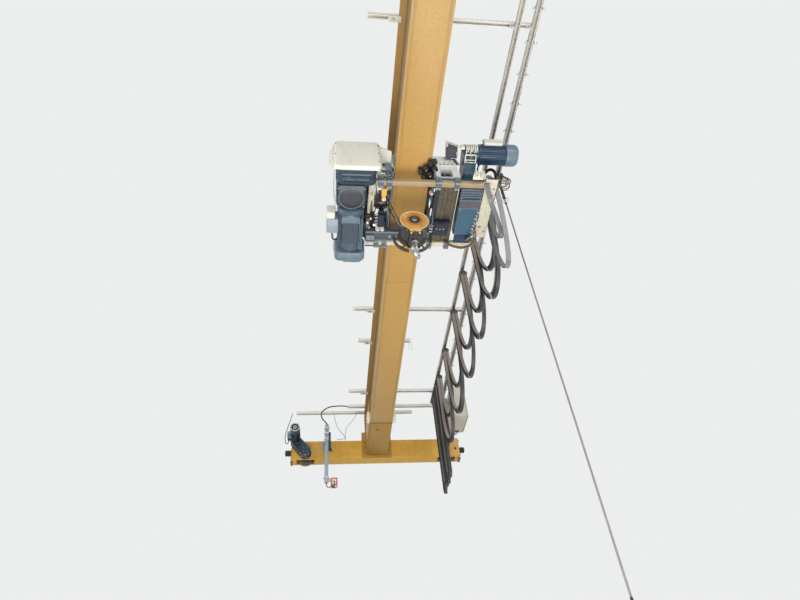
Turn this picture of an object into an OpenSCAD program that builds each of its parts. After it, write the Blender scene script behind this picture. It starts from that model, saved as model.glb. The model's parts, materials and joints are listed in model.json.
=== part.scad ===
// Single-girder overhead bridge crane with a low-headroom rope hoist.
// X runs along the runway, Y along the girder, Z up.
// The origin is mid-span, at the level of the runway rails' tops.

/* [Bridge] */
// Distance between the runway rails' centre lines
span = 12000; // [10000:500:16000]
// Gap between the rail tops and the girder's underside
girder_lift = 60; // [50:5:90]
// Width of the girder's flanges
flange_w = 300; // [260:10:360]
// Height of the girder
girder_h = 770; // [700:10:900]
// Thickness of the bottom flange that the trolley runs on
flange_t = 20; // [15:1:25]
// Thickness of the top flange
top_flange_t = 15; // [10:1:20]
// Thickness of the webs
web_t = 8; // [6:1:12]
// How far the webs stand in from the flange edges
web_inset = 63; // [58:1:70]
// Length of the boxed girder ends
end_box_l = 840; // [600:20:1000]
// Height of the head plates above the rail tops
head_top = 430; // [400:10:500]
// Width of the head plates
head_w = 420; // [380:10:480]
// Thickness of the head plates
head_t = 20; // [15:1:30]
// How far the upper girder reaches over an end carriage
girder_overhang = 150; // [100:10:170]
// Radius of the curved trolley end stops
stop_r = 90; // [60:5:110]

/* [End carriages] */
// Distance between a carriage's wheels
wheel_base = 2000; // [1800:50:2600]
// Length of a carriage's box beyond its wheels
carriage_end = 185; // [160:5:240]
// Width of a carriage
carriage_w = 160; // [150:5:200]
// Height of a carriage
carriage_h = 280; // [270:5:340]
// Gap between the rail tops and a carriage's underside
carriage_lift = 30; // [20:2:40]
// Wall of a carriage
carriage_wall = 8; // [6:1:12]
// Diameter of the runway wheels
wheel_d = 200; // [180:10:220]
// Width of a wheel's tread
tread_w = 60; // [50:2:70]
// Length of a buffer
buffer_l = 90; // [60:5:120]
// Diameter of a buffer
buffer_d = 90; // [70:5:110]

/* [Travel drives] */
// Diameter of a runway travel motor
drive_d = 135; // [120:5:150]
// Length of a runway travel motor with its fan cover
drive_l = 330; // [280:10:360]

/* [Festoon and arms] */
// Distance from the girder's centre to the festoon rail
festoon_x = 840; // [780:10:860]
// Distance from the girder's centre to the control rail
control_x = 980; // [960:10:1000]
// Width and height of the C-section bars
bar = 41; // [38:1:45]
// Wall of the C-section bars
bar_wall = 2.5; // [2:0.5:4]
// Distance from one support arm to the next
arm_pitch = 1750; // [1400:50:2000]
// Place along the girder of the support arm nearest mid-span
arm_y = 210; // [0:10:400]
// Reach of a support arm to the left of the girder's centre
arm_left = 400; // [250:10:500]
// Width of the flat festoon cables
cable_w = 76; // [60:2:90]
// Thickness of the stacked festoon cables
cable_t = 13; // [8:1:14]
// Drop of the deeper stack in a festoon loop
loop_drop = 1150; // [800:10:1250]
// Drop of the shallower stack, as a share of the deeper one
shallow_share = 0.68; // [0.5:0.02:0.9]
// Drop of the gathered loops, as a share of an open one
bundle_share = 1.24; // [1:0.02:1.3]
// Length of a festoon carrier
carrier_l = 50; // [46:1:52]

/* [Electrical panel] */
// Depth of the panel
panel_d = 200; // [150:10:260]
// Width of the panel along the girder
panel_w = 430; // [350:10:450]
// Height of the panel
panel_h = 510; // [400:10:600]

/* [Trolley] */
// Place of the trolley's centre along the girder
trolley_y = 1500; // [1400:10:1600]
// Distance between the cross tubes' centre lines
tube_gap = 650; // [620:10:700]
// Side of the square cross tubes
tube_w = 48; // [44:2:70]
// Height of the cross tubes' centre line
tube_z = -70; // [-80:1:-60]
// Distance between the trolley's axles
axle_gap = 420; // [400:10:440]
// Diameter of a trolley wheel
roller_d = 140; // [120:5:150]
// Thickness of the side plates
side_t = 12; // [10:1:16]
// Gap between the flange edge and a side plate
side_gap = 20; // [14:1:26]

/* [Hoist] */
// Distance from the girder's centre to the hoist's axis
hoist_x = 515; // [500:5:530]
// Height of the hoist motor's axis
motor_z = -130; // [-140:5:-120]
// Diameter of the hoist motor
motor_d = 226; // [200:2:240]
// Height of the rope drum's axis
drum_z = 190; // [180:5:210]
// Diameter of the rope drum
drum_d = 220; // [180:5:240]
// Diameter of the rope
rope_d = 10; // [8:1:12]

/* [Hook block] */
// Diameter of the block's round covers
cover_d = 245; // [220:5:260]
// Width of the block between its covers
block_w = 200; // [180:5:220]
// Height of the sheaves' axis
block_z = -340; // [-360:5:-320]
// Diameter of a sheave
sheave_d = 200; // [180:5:210]
// Inner radius of the hook's bowl
bowl_r = 36; // [30:1:42]
// Greatest radius of the hook's section
hook_r = 20; // [16:1:24]

/* [Hidden] */
$fn = 48;
fit = 0.3;
cut = 1;

// Heights through the girder
flange_z = girder_lift + flange_t;
girder_top = girder_lift + girder_h;
web_top = girder_top - top_flange_t;
web_x = flange_w / 2 - web_inset;
end_plate_t = 12;
drain_at = [-41, 184];
drain_r = 11;
girder_y = span / 2 - carriage_w / 2 - head_t;
upper_y = girder_y + girder_overhang;
stop_y = girder_y - end_box_l;

// Carriages
carriage_l = wheel_base + 2 * carriage_end;
carriage_top = carriage_lift + carriage_h;
cap_t = 12;
axle_d = 50;

// Bars above the girder
rail_z = girder_top - bar / 2;
roller_r = 10;
roller_z = girder_top - bar + bar_wall + roller_r + fit;
saddle_z = girder_top - bar - 56;

// Trolley
flange_edge = flange_w / 2;
side_x = flange_edge + side_gap;
axle_z = flange_z + roller_d / 2 + fit;
hook_y = trolley_y - 50;
near_tube_y = trolley_y - tube_gap / 2;
far_tube_y = trolley_y + tube_gap / 2;
tube_top = tube_z + tube_w / 2;
saddle_face = far_tube_y - tube_w / 2 - 12;
tube_end = 600;
gear_front = trolley_y - 460;
gear_w = 330;
gear_h = 470;
gear_z = 65;
gear_x = -480;
gear_side = gear_x + gear_w / 2;
casting_y = gear_front + 110;
drum_x = -455;
drum_l = 600;

// Where the festoon carriers stand, from the tow point to the gathered bundle
tow_y = trolley_y + 250;
bundle_y = stop_y - 90;
carrier_steps = [0, 65, 122, 188, 263, 322];
carrier_ys = [for (step = carrier_steps) tow_y + (bundle_y - tow_y) * step / carrier_steps[5]];
bundle_pitch = 90;
bundle_count = 7;
stack_gap = 6;

// Control pendant
pendant_y = 1670;
pendant_top = 420;
pendant_low = -3230;
pendant_cable_d = 14;
// The hanging cable's route, from the carrier down to the pendant station
cable_route = [
    [980, 1670, 420], [980, 1670, 400], [980.5, 1670, 370], [981, 1670.5, 330], [981.5, 1671, 270],
    [981.5, 1671.5, 190], [981, 1671.5, 90], [980, 1671, -30], [979, 1670, -180], [978.5, 1669, -360],
    [978, 1668.5, -560], [978, 1668.5, -780], [978.5, 1669, -1020], [979.5, 1669.5, -1270],
    [980.5, 1670, -1530], [981, 1670.5, -1790], [981.5, 1670.5, -2050], [981.5, 1670.5, -2300],
    [981, 1670, -2540], [980.5, 1670, -2760], [980, 1670, -2950], [980, 1670, -3100],
    [980, 1670, -3190], [980, 1670, -3230]
];
station_l = 420;
station_w = 84;
station_d = 74;

module block(low, high) {
    translate(low) cube(high - low);
}

module rod_x(from, to, y, z, r) {
    translate([from, y, z]) rotate([0, 90, 0]) cylinder(h = to - from, r = r);
}

module rod_y(from, to, x, z, r) {
    translate([x, from, z]) rotate([-90, 0, 0]) cylinder(h = to - from, r = r);
}

module rod_z(from, to, x, y, r) {
    translate([x, y, from]) cylinder(h = to - from, r = r);
}

module rod(a, b, r) {
    d = b - a;
    translate(a) rotate([0, acos(d.z / norm(d)), atan2(d.y, d.x)]) cylinder(h = norm(d), r = r);
}

module both_ends() {
    children();
    mirror([0, 1, 0]) children();
}

module both_sides() {
    children();
    mirror([1, 0, 0]) children();
}

// An outline given as [y, z] points, extruded along X
module along_x(from, to) {
    translate([from, 0, 0]) rotate([90, 0, 90]) linear_extrude(to - from) children();
}

// An outline given as [x, z] points, extruded along Y
module along_y(from, to) {
    translate([0, to, 0]) rotate([90, 0, 0]) linear_extrude(to - from) children();
}

module rounded_rect(w, h, r) {
    for (x = [-1, 1], y = [-1, 1]) translate([x * (w / 2 - r), y * (h / 2 - r)]) circle(r);
    square([w - 2 * r, h], center = true);
    square([w, h - 2 * r], center = true);
}

// Section of a C bar, open below
module c_section(w, h, wall, lip = 8) {
    difference() {
        square([w, h], center = true);
        translate([0, -wall / 2]) square([w - 2 * wall, h - wall], center = true);
    }
    for (s = [-1, 1]) translate([s * (w - lip - wall) / 2, -h / 2 + wall / 2])
        square([lip + wall, wall], center = true);
}

// Bridge girder
module girder_bottom_flange() {
    color([0.82, 0.62, 0.2])
        block([-flange_w / 2, -stop_y, girder_lift], [flange_w / 2, stop_y, flange_z]);
}

module girder_webs() {
    color([0.78, 0.58, 0.18]) both_sides() along_x(web_x - web_t, web_x)
        polygon([
            [-girder_y, flange_z], [girder_y, flange_z], [girder_y, head_top],
            [upper_y, head_top], [upper_y, web_top], [-upper_y, web_top],
            [-upper_y, head_top], [-girder_y, head_top]
        ]);
}

module girder_top_flange() {
    color([0.82, 0.62, 0.2])
        block([-flange_w / 2, -upper_y, web_top], [flange_w / 2, upper_y, girder_top]);
}

module girder_end_box() {
    plate = 10;
    difference() {
        block([-flange_w / 2, stop_y, flange_z - end_plate_t], [flange_w / 2, girder_y, flange_z]);
        rod_z(girder_lift, flange_z + cut, drain_at.x, stop_y + drain_at.y, drain_r);
    }
    both_sides() difference() {
        block([web_x, stop_y, flange_z], [flange_w / 2, girder_y, head_top]);
        block([web_x - cut, stop_y + plate, flange_z], [flange_w / 2 - plate, girder_y, head_top - plate]);
    }
}

module girder_end_boxes() {
    color([0.74, 0.54, 0.16]) both_ends() girder_end_box();
}

module head_plate() {
    hole_x = head_w / 2 - 25;
    difference() {
        block([-head_w / 2, girder_y, carriage_lift], [head_w / 2, girder_y + head_t, head_top]);
        for (z = [carriage_lift + 50, carriage_lift + carriage_h / 2, carriage_top - 40])
            both_sides() rod_y(girder_y - cut, girder_y + head_t + cut, hole_x, z, 11);
    }
    block([-flange_w / 2, girder_y + head_t, head_top - end_plate_t], [flange_w / 2, upper_y + end_plate_t, head_top]);
    block([-flange_w / 2, upper_y, head_top], [flange_w / 2, upper_y + end_plate_t, web_top]);
}

module head_plates() {
    color([0.72, 0.53, 0.17]) both_ends() head_plate();
}

module trolley_end_stop() {
    seat = stop_r - 10;
    along_x(web_x + 8, flange_w / 2) difference() {
        translate([stop_y - stop_r, flange_z]) square([stop_r, stop_r]);
        translate([stop_y - stop_r, flange_z + stop_r]) circle(seat);
    }
}

module trolley_end_stops() {
    color([0.85, 0.8, 0.7]) both_ends() both_sides() trolley_end_stop();
}

// End carriages
module bearing_cap(x, side) {
    y = span / 2 + side * carriage_w / 2;
    rod_y(min(y, y + side * 14), max(y, y + side * 14), x, wheel_d / 2, 62);
    rod_y(min(y, y + side * 26), max(y, y + side * 26), x, wheel_d / 2, 34);
}

module end_carriage() {
    slot_l = wheel_d + 50;
    slot_w = tread_w + 60;
    difference() {
        block([-carriage_l / 2, span / 2 - carriage_w / 2, carriage_lift],
            [carriage_l / 2, span / 2 + carriage_w / 2, carriage_top]);
        block([-carriage_l / 2 - cut, span / 2 - carriage_w / 2 + carriage_wall, carriage_lift + carriage_wall],
            [carriage_l / 2 + cut, span / 2 + carriage_w / 2 - carriage_wall, carriage_top - carriage_wall]);
        for (x = [-wheel_base / 2, wheel_base / 2])
            block([x - slot_l / 2, span / 2 - slot_w / 2, carriage_lift - cut],
                [x + slot_l / 2, span / 2 + slot_w / 2, carriage_lift + carriage_wall + cut]);
        for (x = [head_w / 2 - 25, 25 - head_w / 2], z = [carriage_lift + 50, carriage_lift + carriage_h / 2, carriage_top - 40])
            rod_y(span / 2 - carriage_w / 2 - cut, span / 2 - carriage_w / 2 + carriage_wall + cut, x, z, 11);
    }
    bearing_cap(wheel_base / 2, -1);
    for (x = [-wheel_base / 2, wheel_base / 2]) bearing_cap(x, 1);
    both_sides() block([carriage_l / 2, span / 2 - carriage_w / 2 - 6, carriage_lift],
        [carriage_l / 2 + cap_t, span / 2 + carriage_w / 2 + 6, carriage_top + 6]);
}

module far_end_carriage() {
    color([0.83, 0.63, 0.2]) end_carriage();
}

module near_end_carriage() {
    color([0.83, 0.63, 0.2]) mirror([0, 1, 0]) end_carriage();
}

module runway_wheel(x) {
    inner = carriage_w / 2 - carriage_wall;
    translate([x, span / 2, wheel_d / 2]) rotate([90, 0, 0]) {
        rotate_extrude() polygon([
            [0, -inner], [axle_d / 2, -inner], [axle_d / 2, -tread_w / 2 - 12],
            [wheel_d / 2 + 15, -tread_w / 2 - 12], [wheel_d / 2 + 15, -tread_w / 2 - 4],
            [wheel_d / 2, -tread_w / 2 + 2], [wheel_d / 2, tread_w / 2 - 2],
            [wheel_d / 2 + 15, tread_w / 2 + 4], [wheel_d / 2 + 15, tread_w / 2 + 12],
            [axle_d / 2, tread_w / 2 + 12], [axle_d / 2, inner], [0, inner]
        ]);
    }
}

module carriage_wheels() {
    color([0.35, 0.34, 0.33]) both_ends() both_sides() runway_wheel(wheel_base / 2);
}

module carriage_buffer() {
    x = carriage_l / 2 + cap_t;
    z = carriage_lift + carriage_h / 2;
    translate([x, span / 2, z]) rotate([0, 90, 0]) rotate_extrude() polygon([
        [0, 0], [buffer_d / 2 + 6, 0], [buffer_d / 2 + 6, 8], [buffer_d / 2 - 4, 8],
        [buffer_d / 2, buffer_l * 0.25], [buffer_d / 2 - 6, buffer_l * 0.42],
        [buffer_d / 2, buffer_l * 0.6], [buffer_d / 2 - 4, buffer_l * 0.85],
        [buffer_d / 2 - 14, buffer_l], [0, buffer_l]
    ]);
}

module carriage_buffers() {
    color([0.12, 0.12, 0.13]) both_ends() both_sides() carriage_buffer();
}

// Runway travel drives
drive_x = -wheel_base / 2 - 137;
drive_z = wheel_d / 2 + 166;
drive_face = span / 2 - carriage_w / 2;
drive_box_t = 130;

module travel_gearbox() {
    back = drive_face - 12;
    hull() {
        rod_y(drive_face - drive_box_t, back, -wheel_base / 2, wheel_d / 2, wheel_d * 0.4);
        rod_y(drive_face - drive_box_t, back, drive_x, drive_z, drive_d / 2 + 6);
    }
    rod_y(back, drive_face, -wheel_base / 2, wheel_d / 2, wheel_d * 0.35);
    rod_y(drive_face - drive_box_t - 14, drive_face - drive_box_t, -wheel_base / 2, wheel_d / 2, wheel_d * 0.24);
}

module travel_gearboxes() {
    color([0.16, 0.25, 0.34]) both_ends() travel_gearbox();
}

module travel_motor() {
    body = drive_l * 0.7;
    box_l = body * 0.45;
    translate([drive_x, drive_face - drive_box_t, drive_z]) rotate([90, 0, 0]) {
        rotate_extrude() polygon([
            [0, 0], [drive_d / 2, 0], [drive_d / 2, 10], [drive_d / 2 - 7, 12],
            [drive_d / 2 - 7, body - 6], [drive_d / 2, body - 4], [drive_d / 2, drive_l - 16],
            [drive_d / 2 - 14, drive_l], [0, drive_l]
        ]);
        for (a = [0:20:340]) rotate(a) translate([drive_d / 2 - 12, -1.5, 14]) cube([12, 3, body - 22]);
        translate([-drive_d / 2 - 42, -drive_d / 3, 40]) cube([58, drive_d * 2 / 3, box_l]);
    }
}

module travel_motors() {
    color([0.17, 0.27, 0.37]) both_ends() travel_motor();
}

// Arms, rails and panel
arm_ys = [for (y = [arm_y - 3 * arm_pitch : arm_pitch : arm_y + 3 * arm_pitch]) y];
panel_x = control_x + 120;
panel_y = span / 2 - 40;
// Reach of the shorter arm beside the panel, and of the one on the far end box
short_arm = 310;
end_arm = 1160;

module arm(y, from, to) {
    translate([0, y, girder_top + bar / 2]) along_x(from, to) c_section(bar, bar, bar_wall);
}

module support_arms() {
    color([0.62, 0.64, 0.66]) {
        for (y = arm_ys) arm(y, -arm_left, control_x + bar / 2);
        arm(arm_y + 2.35 * arm_pitch, -short_arm, short_arm + 70);
        arm(girder_y - bar, -arm_left, panel_x);
        arm(upper_y - bar / 2 - 5, -end_arm, end_arm / 2);
        translate([panel_x - bar / 2, 0, girder_top - bar / 2])
            rotate([90, 0, 0]) translate([0, 0, -girder_y]) linear_extrude(panel_w + 50) c_section(bar, bar, bar_wall);
    }
}

module arm_clamp(y) {
    block([flange_w / 2, y - 22, web_top - 6], [flange_w / 2 + 12, y + 22, girder_top]);
    block([flange_w / 2 - 22, y - 22, web_top - 14], [flange_w / 2 + 12, y + 22, web_top]);
}

module arm_clamps() {
    color([0.55, 0.56, 0.58]) both_sides() for (y = arm_ys) arm_clamp(y);
}

module rail(x, from, to) {
    translate([x, 0, rail_z]) along_y(from, to) c_section(bar, bar, bar_wall);
}

module festoon_rail() {
    color([0.66, 0.68, 0.7]) rail(festoon_x, -girder_y + 200, girder_y - 200);
}

module control_rail() {
    color([0.66, 0.68, 0.7]) rail(control_x, -girder_y + 200, girder_y - 200);
}

module rail_conduit() {
    r = 7;
    color([0.72, 0.74, 0.75])
        rod_y(-girder_y + 200, girder_y - 200, control_x + bar / 2 + r + fit, rail_z, r);
}

module electrical_panel() {
    top = girder_top + 120;
    color([0.86, 0.85, 0.8]) {
        translate([panel_x + panel_d / 2, 0, top - panel_h / 2])
            along_y(panel_y - panel_w, panel_y) rounded_rect(panel_d, panel_h, 12);
        translate([panel_x + panel_d, 0, 0]) block([0, panel_y - panel_w + 12, top - panel_h + 12],
            [18, panel_y - 12, top - 12]);
    }
}

// Current collector
mast_x = -706;
mast_y = span / 2 - carriage_w / 2 - 200;

module collector_mast() {
    side = 50;
    face = span / 2 - carriage_w / 2;
    color([0.45, 0.53, 0.6]) {
        block([mast_x - side / 2, mast_y - side / 2, -430], [mast_x + side / 2, mast_y + side / 2, 450]);
        block([mast_x - 20, mast_y + side / 2, 200], [mast_x + 20, face, 240]);
        block([mast_x - 60, face - 8, 150], [mast_x + 60, face, 290]);
        block([mast_x + side / 2, mast_y - 12, 60], [mast_x + side / 2 + 30, mast_y + 12, 330]);
    }
}

module current_collector() {
    color([0.55, 0.2, 0.15]) {
        block([mast_x + 25, mast_y - 18, -410], [mast_x + 60, mast_y + 18, -380]);
        block([mast_x + 60, mast_y - 40, -470], [mast_x + 130, mast_y + 40, -380]);
        rod_z(-500, -470, mast_x + 95, mast_y, 14);
    }
}

// Festoon
// A loop's two straight legs end in a half ellipse: y = middle - a cos(t), z = low - b sin(t)
function loop_line(y0, y1, top, drop, n) =
    let (a = (y1 - y0) / 2, b = min(0.9 * drop, 1.7 * a), low = top - drop + b)
    concat([[y0, top]], [for (i = [0:n]) let (t = 180 * i / n) [y0 + a - a * cos(t), low - b * sin(t)]],
        [[y1, top]]);

function left_of(a, b) = let (d = b - a) [-d.y, d.x] / norm(d);

function side_line(line, off) = [for (i = [0 : len(line) - 1])
    let (
        last = len(line) - 1,
        normal = i == 0 || i == last ? [i == 0 ? 1 : -1, 0] : left_of(line[i - 1], line[i + 1])
    ) line[i] + off * normal];

module cable_stack(y0, y1, drop, from, to) {
    line = loop_line(y0, y1, saddle_z, drop, 28);
    outer = side_line(line, cable_t / 2);
    inner = side_line(line, -cable_t / 2);
    along_x(from, to) polygon(concat(outer, [for (i = [len(inner) - 1 : -1 : 0]) inner[i]]));
}

// A deep stack of flat cables beside a shallower one
module cable_loop(y0, y1, drop) {
    cable_stack(y0, y1, drop, festoon_x - cable_w / 2, festoon_x - stack_gap / 2);
    cable_stack(y0, y1, drop * shallow_share, festoon_x + stack_gap / 2, festoon_x + cable_w / 2);
}

module carrier(y) {
    translate([festoon_x, y, 0]) {
        block([-3, -carrier_l / 2 + 5, saddle_z + 20], [3, carrier_l / 2 - 5, roller_z + 4]);
        block([-bar / 2 - 6, -carrier_l / 2, saddle_z + 8], [bar / 2 + 6, carrier_l / 2, saddle_z + 20]);
        block([-cable_w / 2 - 6, -carrier_l / 2 + 4, saddle_z], [cable_w / 2 + 6, carrier_l / 2 - 4, saddle_z + 8]);
        for (s = [-1, 1]) rod_x(-15, 15, s * 12, roller_z, roller_r);
    }
}

carrier_gap = 13;

module numbered_carrier(i) {
    color([0.3, 0.31, 0.33]) carrier(carrier_ys[i]);
}

module numbered_loop(i) {
    color([0.2, 0.21, 0.23])
        cable_loop(carrier_ys[i] + carrier_gap, carrier_ys[i + 1] - carrier_gap, loop_drop);
}

module festoon_bundle() {
    color([0.22, 0.23, 0.25]) for (i = [0 : bundle_count - 1]) {
        y = bundle_y + i * bundle_pitch;
        carrier(y);
        if (i < bundle_count - 1) cable_loop(y + carrier_gap, y + bundle_pitch - carrier_gap, loop_drop * bundle_share);
    }
}

module festoon_carrier_1() { numbered_carrier(0); }
module festoon_carrier_2() { numbered_carrier(1); }
module festoon_carrier_3() { numbered_carrier(2); }
module festoon_carrier_4() { numbered_carrier(3); }
module festoon_carrier_5() { numbered_carrier(4); }
module festoon_loop_1() { numbered_loop(0); }
module festoon_loop_2() { numbered_loop(1); }
module festoon_loop_3() { numbered_loop(2); }
module festoon_loop_4() { numbered_loop(3); }
module festoon_loop_5() { numbered_loop(4); }

// Trolley frame
module cross_tube(y, from) {
    wall = 5;
    translate([0, y, tube_z]) along_x(from, tube_end) difference() {
        rounded_rect(tube_w, tube_w, 8);
        rounded_rect(tube_w - 2 * wall, tube_w - 2 * wall, 4);
    }
}

module cross_tubes() {
    color([0.72, 0.66, 0.55]) {
        cross_tube(near_tube_y, gear_side);
        cross_tube(far_tube_y, -375);
        block([-375, far_tube_y - 145, tube_z - 30], [side_x + side_t + 8, saddle_face, tube_z + 14]);
    }
}

side_top = 330;
// An open pan between the two cross tubes, right of the girder
pan_from = side_x + side_t + 14;
pan_y0 = near_tube_y + tube_w / 2;
pan_y1 = far_tube_y - tube_w / 2;
pan_z = tube_top - 20;

module side_plate() {
    along_x(side_x, side_x + side_t) difference() {
        polygon([
            [trolley_y - 400, tube_top], [trolley_y + 400, tube_top],
            [trolley_y + 400, side_top - 60], [trolley_y + 340, side_top], [trolley_y - 340, side_top],
            [trolley_y - 400, side_top - 60]
        ]);
        translate([hook_y - 62, tube_top - cut]) square([124, 120]);
    }
}

// A cast end of a side frame: twin arches over a saddle on the cross tube, and a nose over the flange
module frame_end(y, to) {
    from = side_x + side_t;
    w = to - from;
    foot = 46;
    lap = tube_w / 2 + 12;
    translate([(from + to) / 2, 0, 0]) along_y(y - 30, y + 30) difference() {
        polygon([
            [-w / 2, tube_top], [w / 2, tube_top], [w / 2, 180], [w / 2 - 40, side_top - 40],
            [-w / 2, side_top - 40]
        ]);
        for (s = [-1, 1]) translate([s * w * 0.125, 90]) circle(w * 0.115);
        translate([-w * 0.25, -10]) square([w * 0.5, 100]);
    }
    for (x = [from, to - foot]) translate([x, 0, 0]) difference() {
        block([0, y - lap, tube_z - lap], [foot, y + lap, tube_top + 26]);
        block([-cut, y - tube_w / 2, tube_z - tube_w / 2], [foot + cut, y + tube_w / 2, tube_top]);
    }
    block([web_x + 26, y - 30, flange_z + 24], [side_x, y + 30, side_top - 40]);
}

module left_side_frame() {
    drum_back = casting_y + drum_l;
    color([0.5, 0.6, 0.68]) {
        mirror([1, 0, 0]) {
            side_plate();
            for (y = [near_tube_y, far_tube_y]) frame_end(y, side_x + side_t + 115);
        }
        along_y(far_tube_y + tube_w / 2, far_tube_y + tube_w / 2 + side_t) polygon([
            [-375, tube_z - tube_w / 2], [-side_x - side_t, tube_z - tube_w / 2], [-side_x - side_t, 200],
            [drum_x + 60, drum_z + 90], [drum_x - 60, drum_z + 90], [drum_x - 90, drum_z - 60], [-375, 20]
        ]);
        rod_y(drum_back, far_tube_y + tube_w / 2, drum_x, drum_z, 30);
    }
}

module right_side_frame() {
    outer = side_x + side_t + 210;
    color([0.5, 0.6, 0.68]) {
        side_plate();
        for (y = [near_tube_y, far_tube_y]) frame_end(y, side_x + side_t + 205);
        block([outer, near_tube_y - 30, tube_top], [outer + 8, far_tube_y + 30, tube_top + 110]);
        block([outer - 8, near_tube_y - 30, tube_top], [outer, near_tube_y + 30, tube_top + 110]);
        block([outer - 8, far_tube_y - 30, tube_top], [outer, far_tube_y + 30, tube_top + 110]);
        for (x = [pan_from, outer - 7]) block([x, pan_y0, pan_z], [x + 3, pan_y1, pan_z + 20]);
        block([pan_from, pan_y0, pan_z], [outer - 4, pan_y1, pan_z + 6]);
    }
}

module trolley_wheel(y) {
    tread_from = web_x + 14;
    translate([0, y, axle_z]) rotate([0, 90, 0]) rotate_extrude() polygon([
        [0, tread_from], [roller_d / 2, tread_from], [roller_d / 2, flange_edge + 2],
        [roller_d / 2 + 12, flange_edge + 6], [roller_d / 2 + 12, flange_edge + 13],
        [22, flange_edge + 13], [22, side_x], [0, side_x]
    ]);
}

module trolley_wheels() {
    color([0.3, 0.3, 0.31]) both_sides() for (s = [-1, 1]) trolley_wheel(trolley_y + s * axle_gap / 2);
}

// Hoist on the left
module hoist_enclosure() {
    z = -15;
    w = 372;
    h = 372;
    x = -475;
    color([0.93, 0.94, 0.92]) {
        translate([x, 0, z]) along_y(trolley_y - 550, trolley_y - 515) rounded_rect(w, h, 48);
        translate([x, 0, z]) along_y(trolley_y - 515, gear_front) polygon([
            [-w / 2 - 35, -25], [-w / 2, -h / 4 - 7], [w / 2 - 10, -h / 4 - 7], [w / 2, -h / 4],
            [w / 2, h / 4], [w / 2 - 10, h / 2 - 10], [-w / 2, h / 2 - 10], [-w / 2 - 35, 45]
        ]);
    }
}

module hoist_gearbox() {
    foot_h = 48;
    color([0.2, 0.32, 0.43]) {
        translate([gear_x, 0, gear_z]) along_y(gear_front, casting_y) rounded_rect(gear_w, gear_h, 60);
        translate([gear_x, 0, gear_z - gear_h / 2 + foot_h / 2])
            along_y(gear_front - 55, gear_front + 20) rounded_rect(gear_w - 70, foot_h, 16);
    }
}

// The motor's front casting carries a round cover on its underside
module hoist_motor() {
    front_l = 250;
    front_w = motor_d + 24;
    body_end = casting_y + 650;
    low = motor_z - 50;
    color([0.27, 0.39, 0.48]) {
        translate([-hoist_x, 0, (low + 40) / 2]) along_y(casting_y, casting_y + front_l)
            rounded_rect(front_w, 40 - low, 34);
        rod_z(low - 6, low, -hoist_x, casting_y + 120, 106);
        rod_y(casting_y + front_l, body_end, -hoist_x, motor_z, motor_d / 2);
        rod_y(body_end, body_end + 18, -hoist_x, motor_z, motor_d / 2 - 14);
        translate([-hoist_x, 0, motor_z]) along_y(body_end + 18, body_end + 110)
            rounded_rect(motor_d + 40, motor_d + 10, 50);
        translate([20 - hoist_x, 0, motor_z - 35]) along_y(body_end + 110, body_end + 142) rounded_rect(170, 120, 24);
        block([-hoist_x - 66, casting_y + front_l + 60, motor_z - motor_d / 2 - 8],
            [-hoist_x + 66, body_end - 60, motor_z]);
    }
}

module motor_terminal_box() {
    color([0.6, 0.64, 0.66]) difference() {
        block([-hoist_x - motor_d / 2 - 90, casting_y + 280, motor_z - 60], [-hoist_x, casting_y + 490, motor_z + 60]);
        rod_y(casting_y, casting_y + 700, -hoist_x, motor_z, motor_d / 2 + fit);
    }
}

module rope_drum() {
    color([0.3, 0.31, 0.32]) {
        rod_y(casting_y, casting_y + drum_l, drum_x, drum_z, drum_d / 2 - 8);
        rod_y(casting_y, casting_y + 14, drum_x, drum_z, drum_d / 2 + 14);
        rod_y(casting_y + drum_l - 14, casting_y + drum_l, drum_x, drum_z, drum_d / 2 + 14);
    }
}

module rope_guide() {
    color([0.85, 0.83, 0.75]) {
        rod_y(casting_y, far_tube_y - tube_w / 2 - 20, -352, 10, 15);
        block([-362, far_tube_y - tube_w / 2 - 20, -40], [-342, far_tube_y - tube_w / 2, 30]);
    }
}

upper_sheave_r = 60;
upper_sheave_x = side_x + side_t + 10 + upper_sheave_r;
upper_sheave_z = 30;

module upper_sheaves() {
    r = upper_sheave_r;
    near = side_x + side_t;
    color([0.22, 0.24, 0.27]) both_sides() for (y = [hook_y - 30, hook_y + 30])
        translate([upper_sheave_x, y, upper_sheave_z]) rotate([90, 0, 0]) rotate_extrude() polygon([
            [0, -14], [r, -14], [r - 8, -4], [r - 8, 4], [r, 14], [0, 14]
        ]);
    color([0.22, 0.24, 0.27]) both_sides() block([near, hook_y - 60, 60], [near + 90, hook_y - 44, 110]);
}

// Drives and boxes on the right
module drive_box() {
    from = near_tube_y + tube_w / 2;
    color([0.15, 0.25, 0.38]) {
        translate([500, 0, -30]) along_y(from, from + 490) rounded_rect(196, 170, 10);
        block([430, from + 490, tube_z - 20], [570, far_tube_y - tube_w / 2, tube_top - 5]);
        block([pan_from + 14, pan_y1 - 150, pan_z - 52], [pan_from + 134, pan_y1 - 60, pan_z]);
    }
}

module tow_arm() {
    z = tube_z - tube_w / 2;
    finger_y = tow_y - carrier_l / 2 - 5;
    color([0.78, 0.76, 0.68]) {
        block([tube_end, near_tube_y - 75, z - 6], [tube_end + 100, finger_y, z]);
        block([tube_end, near_tube_y - 75, z], [tube_end + 4, finger_y, z + 70]);
        block([tube_end + 60, finger_y - 60, z], [tube_end + 64, finger_y, 720]);
        block([tube_end + 64, finger_y - 4, 690], [festoon_x + 12, finger_y, 720]);
    }
}

drive_axle_y = trolley_y - axle_gap / 2;
gearbox_x = side_x + side_t + 260;

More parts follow.
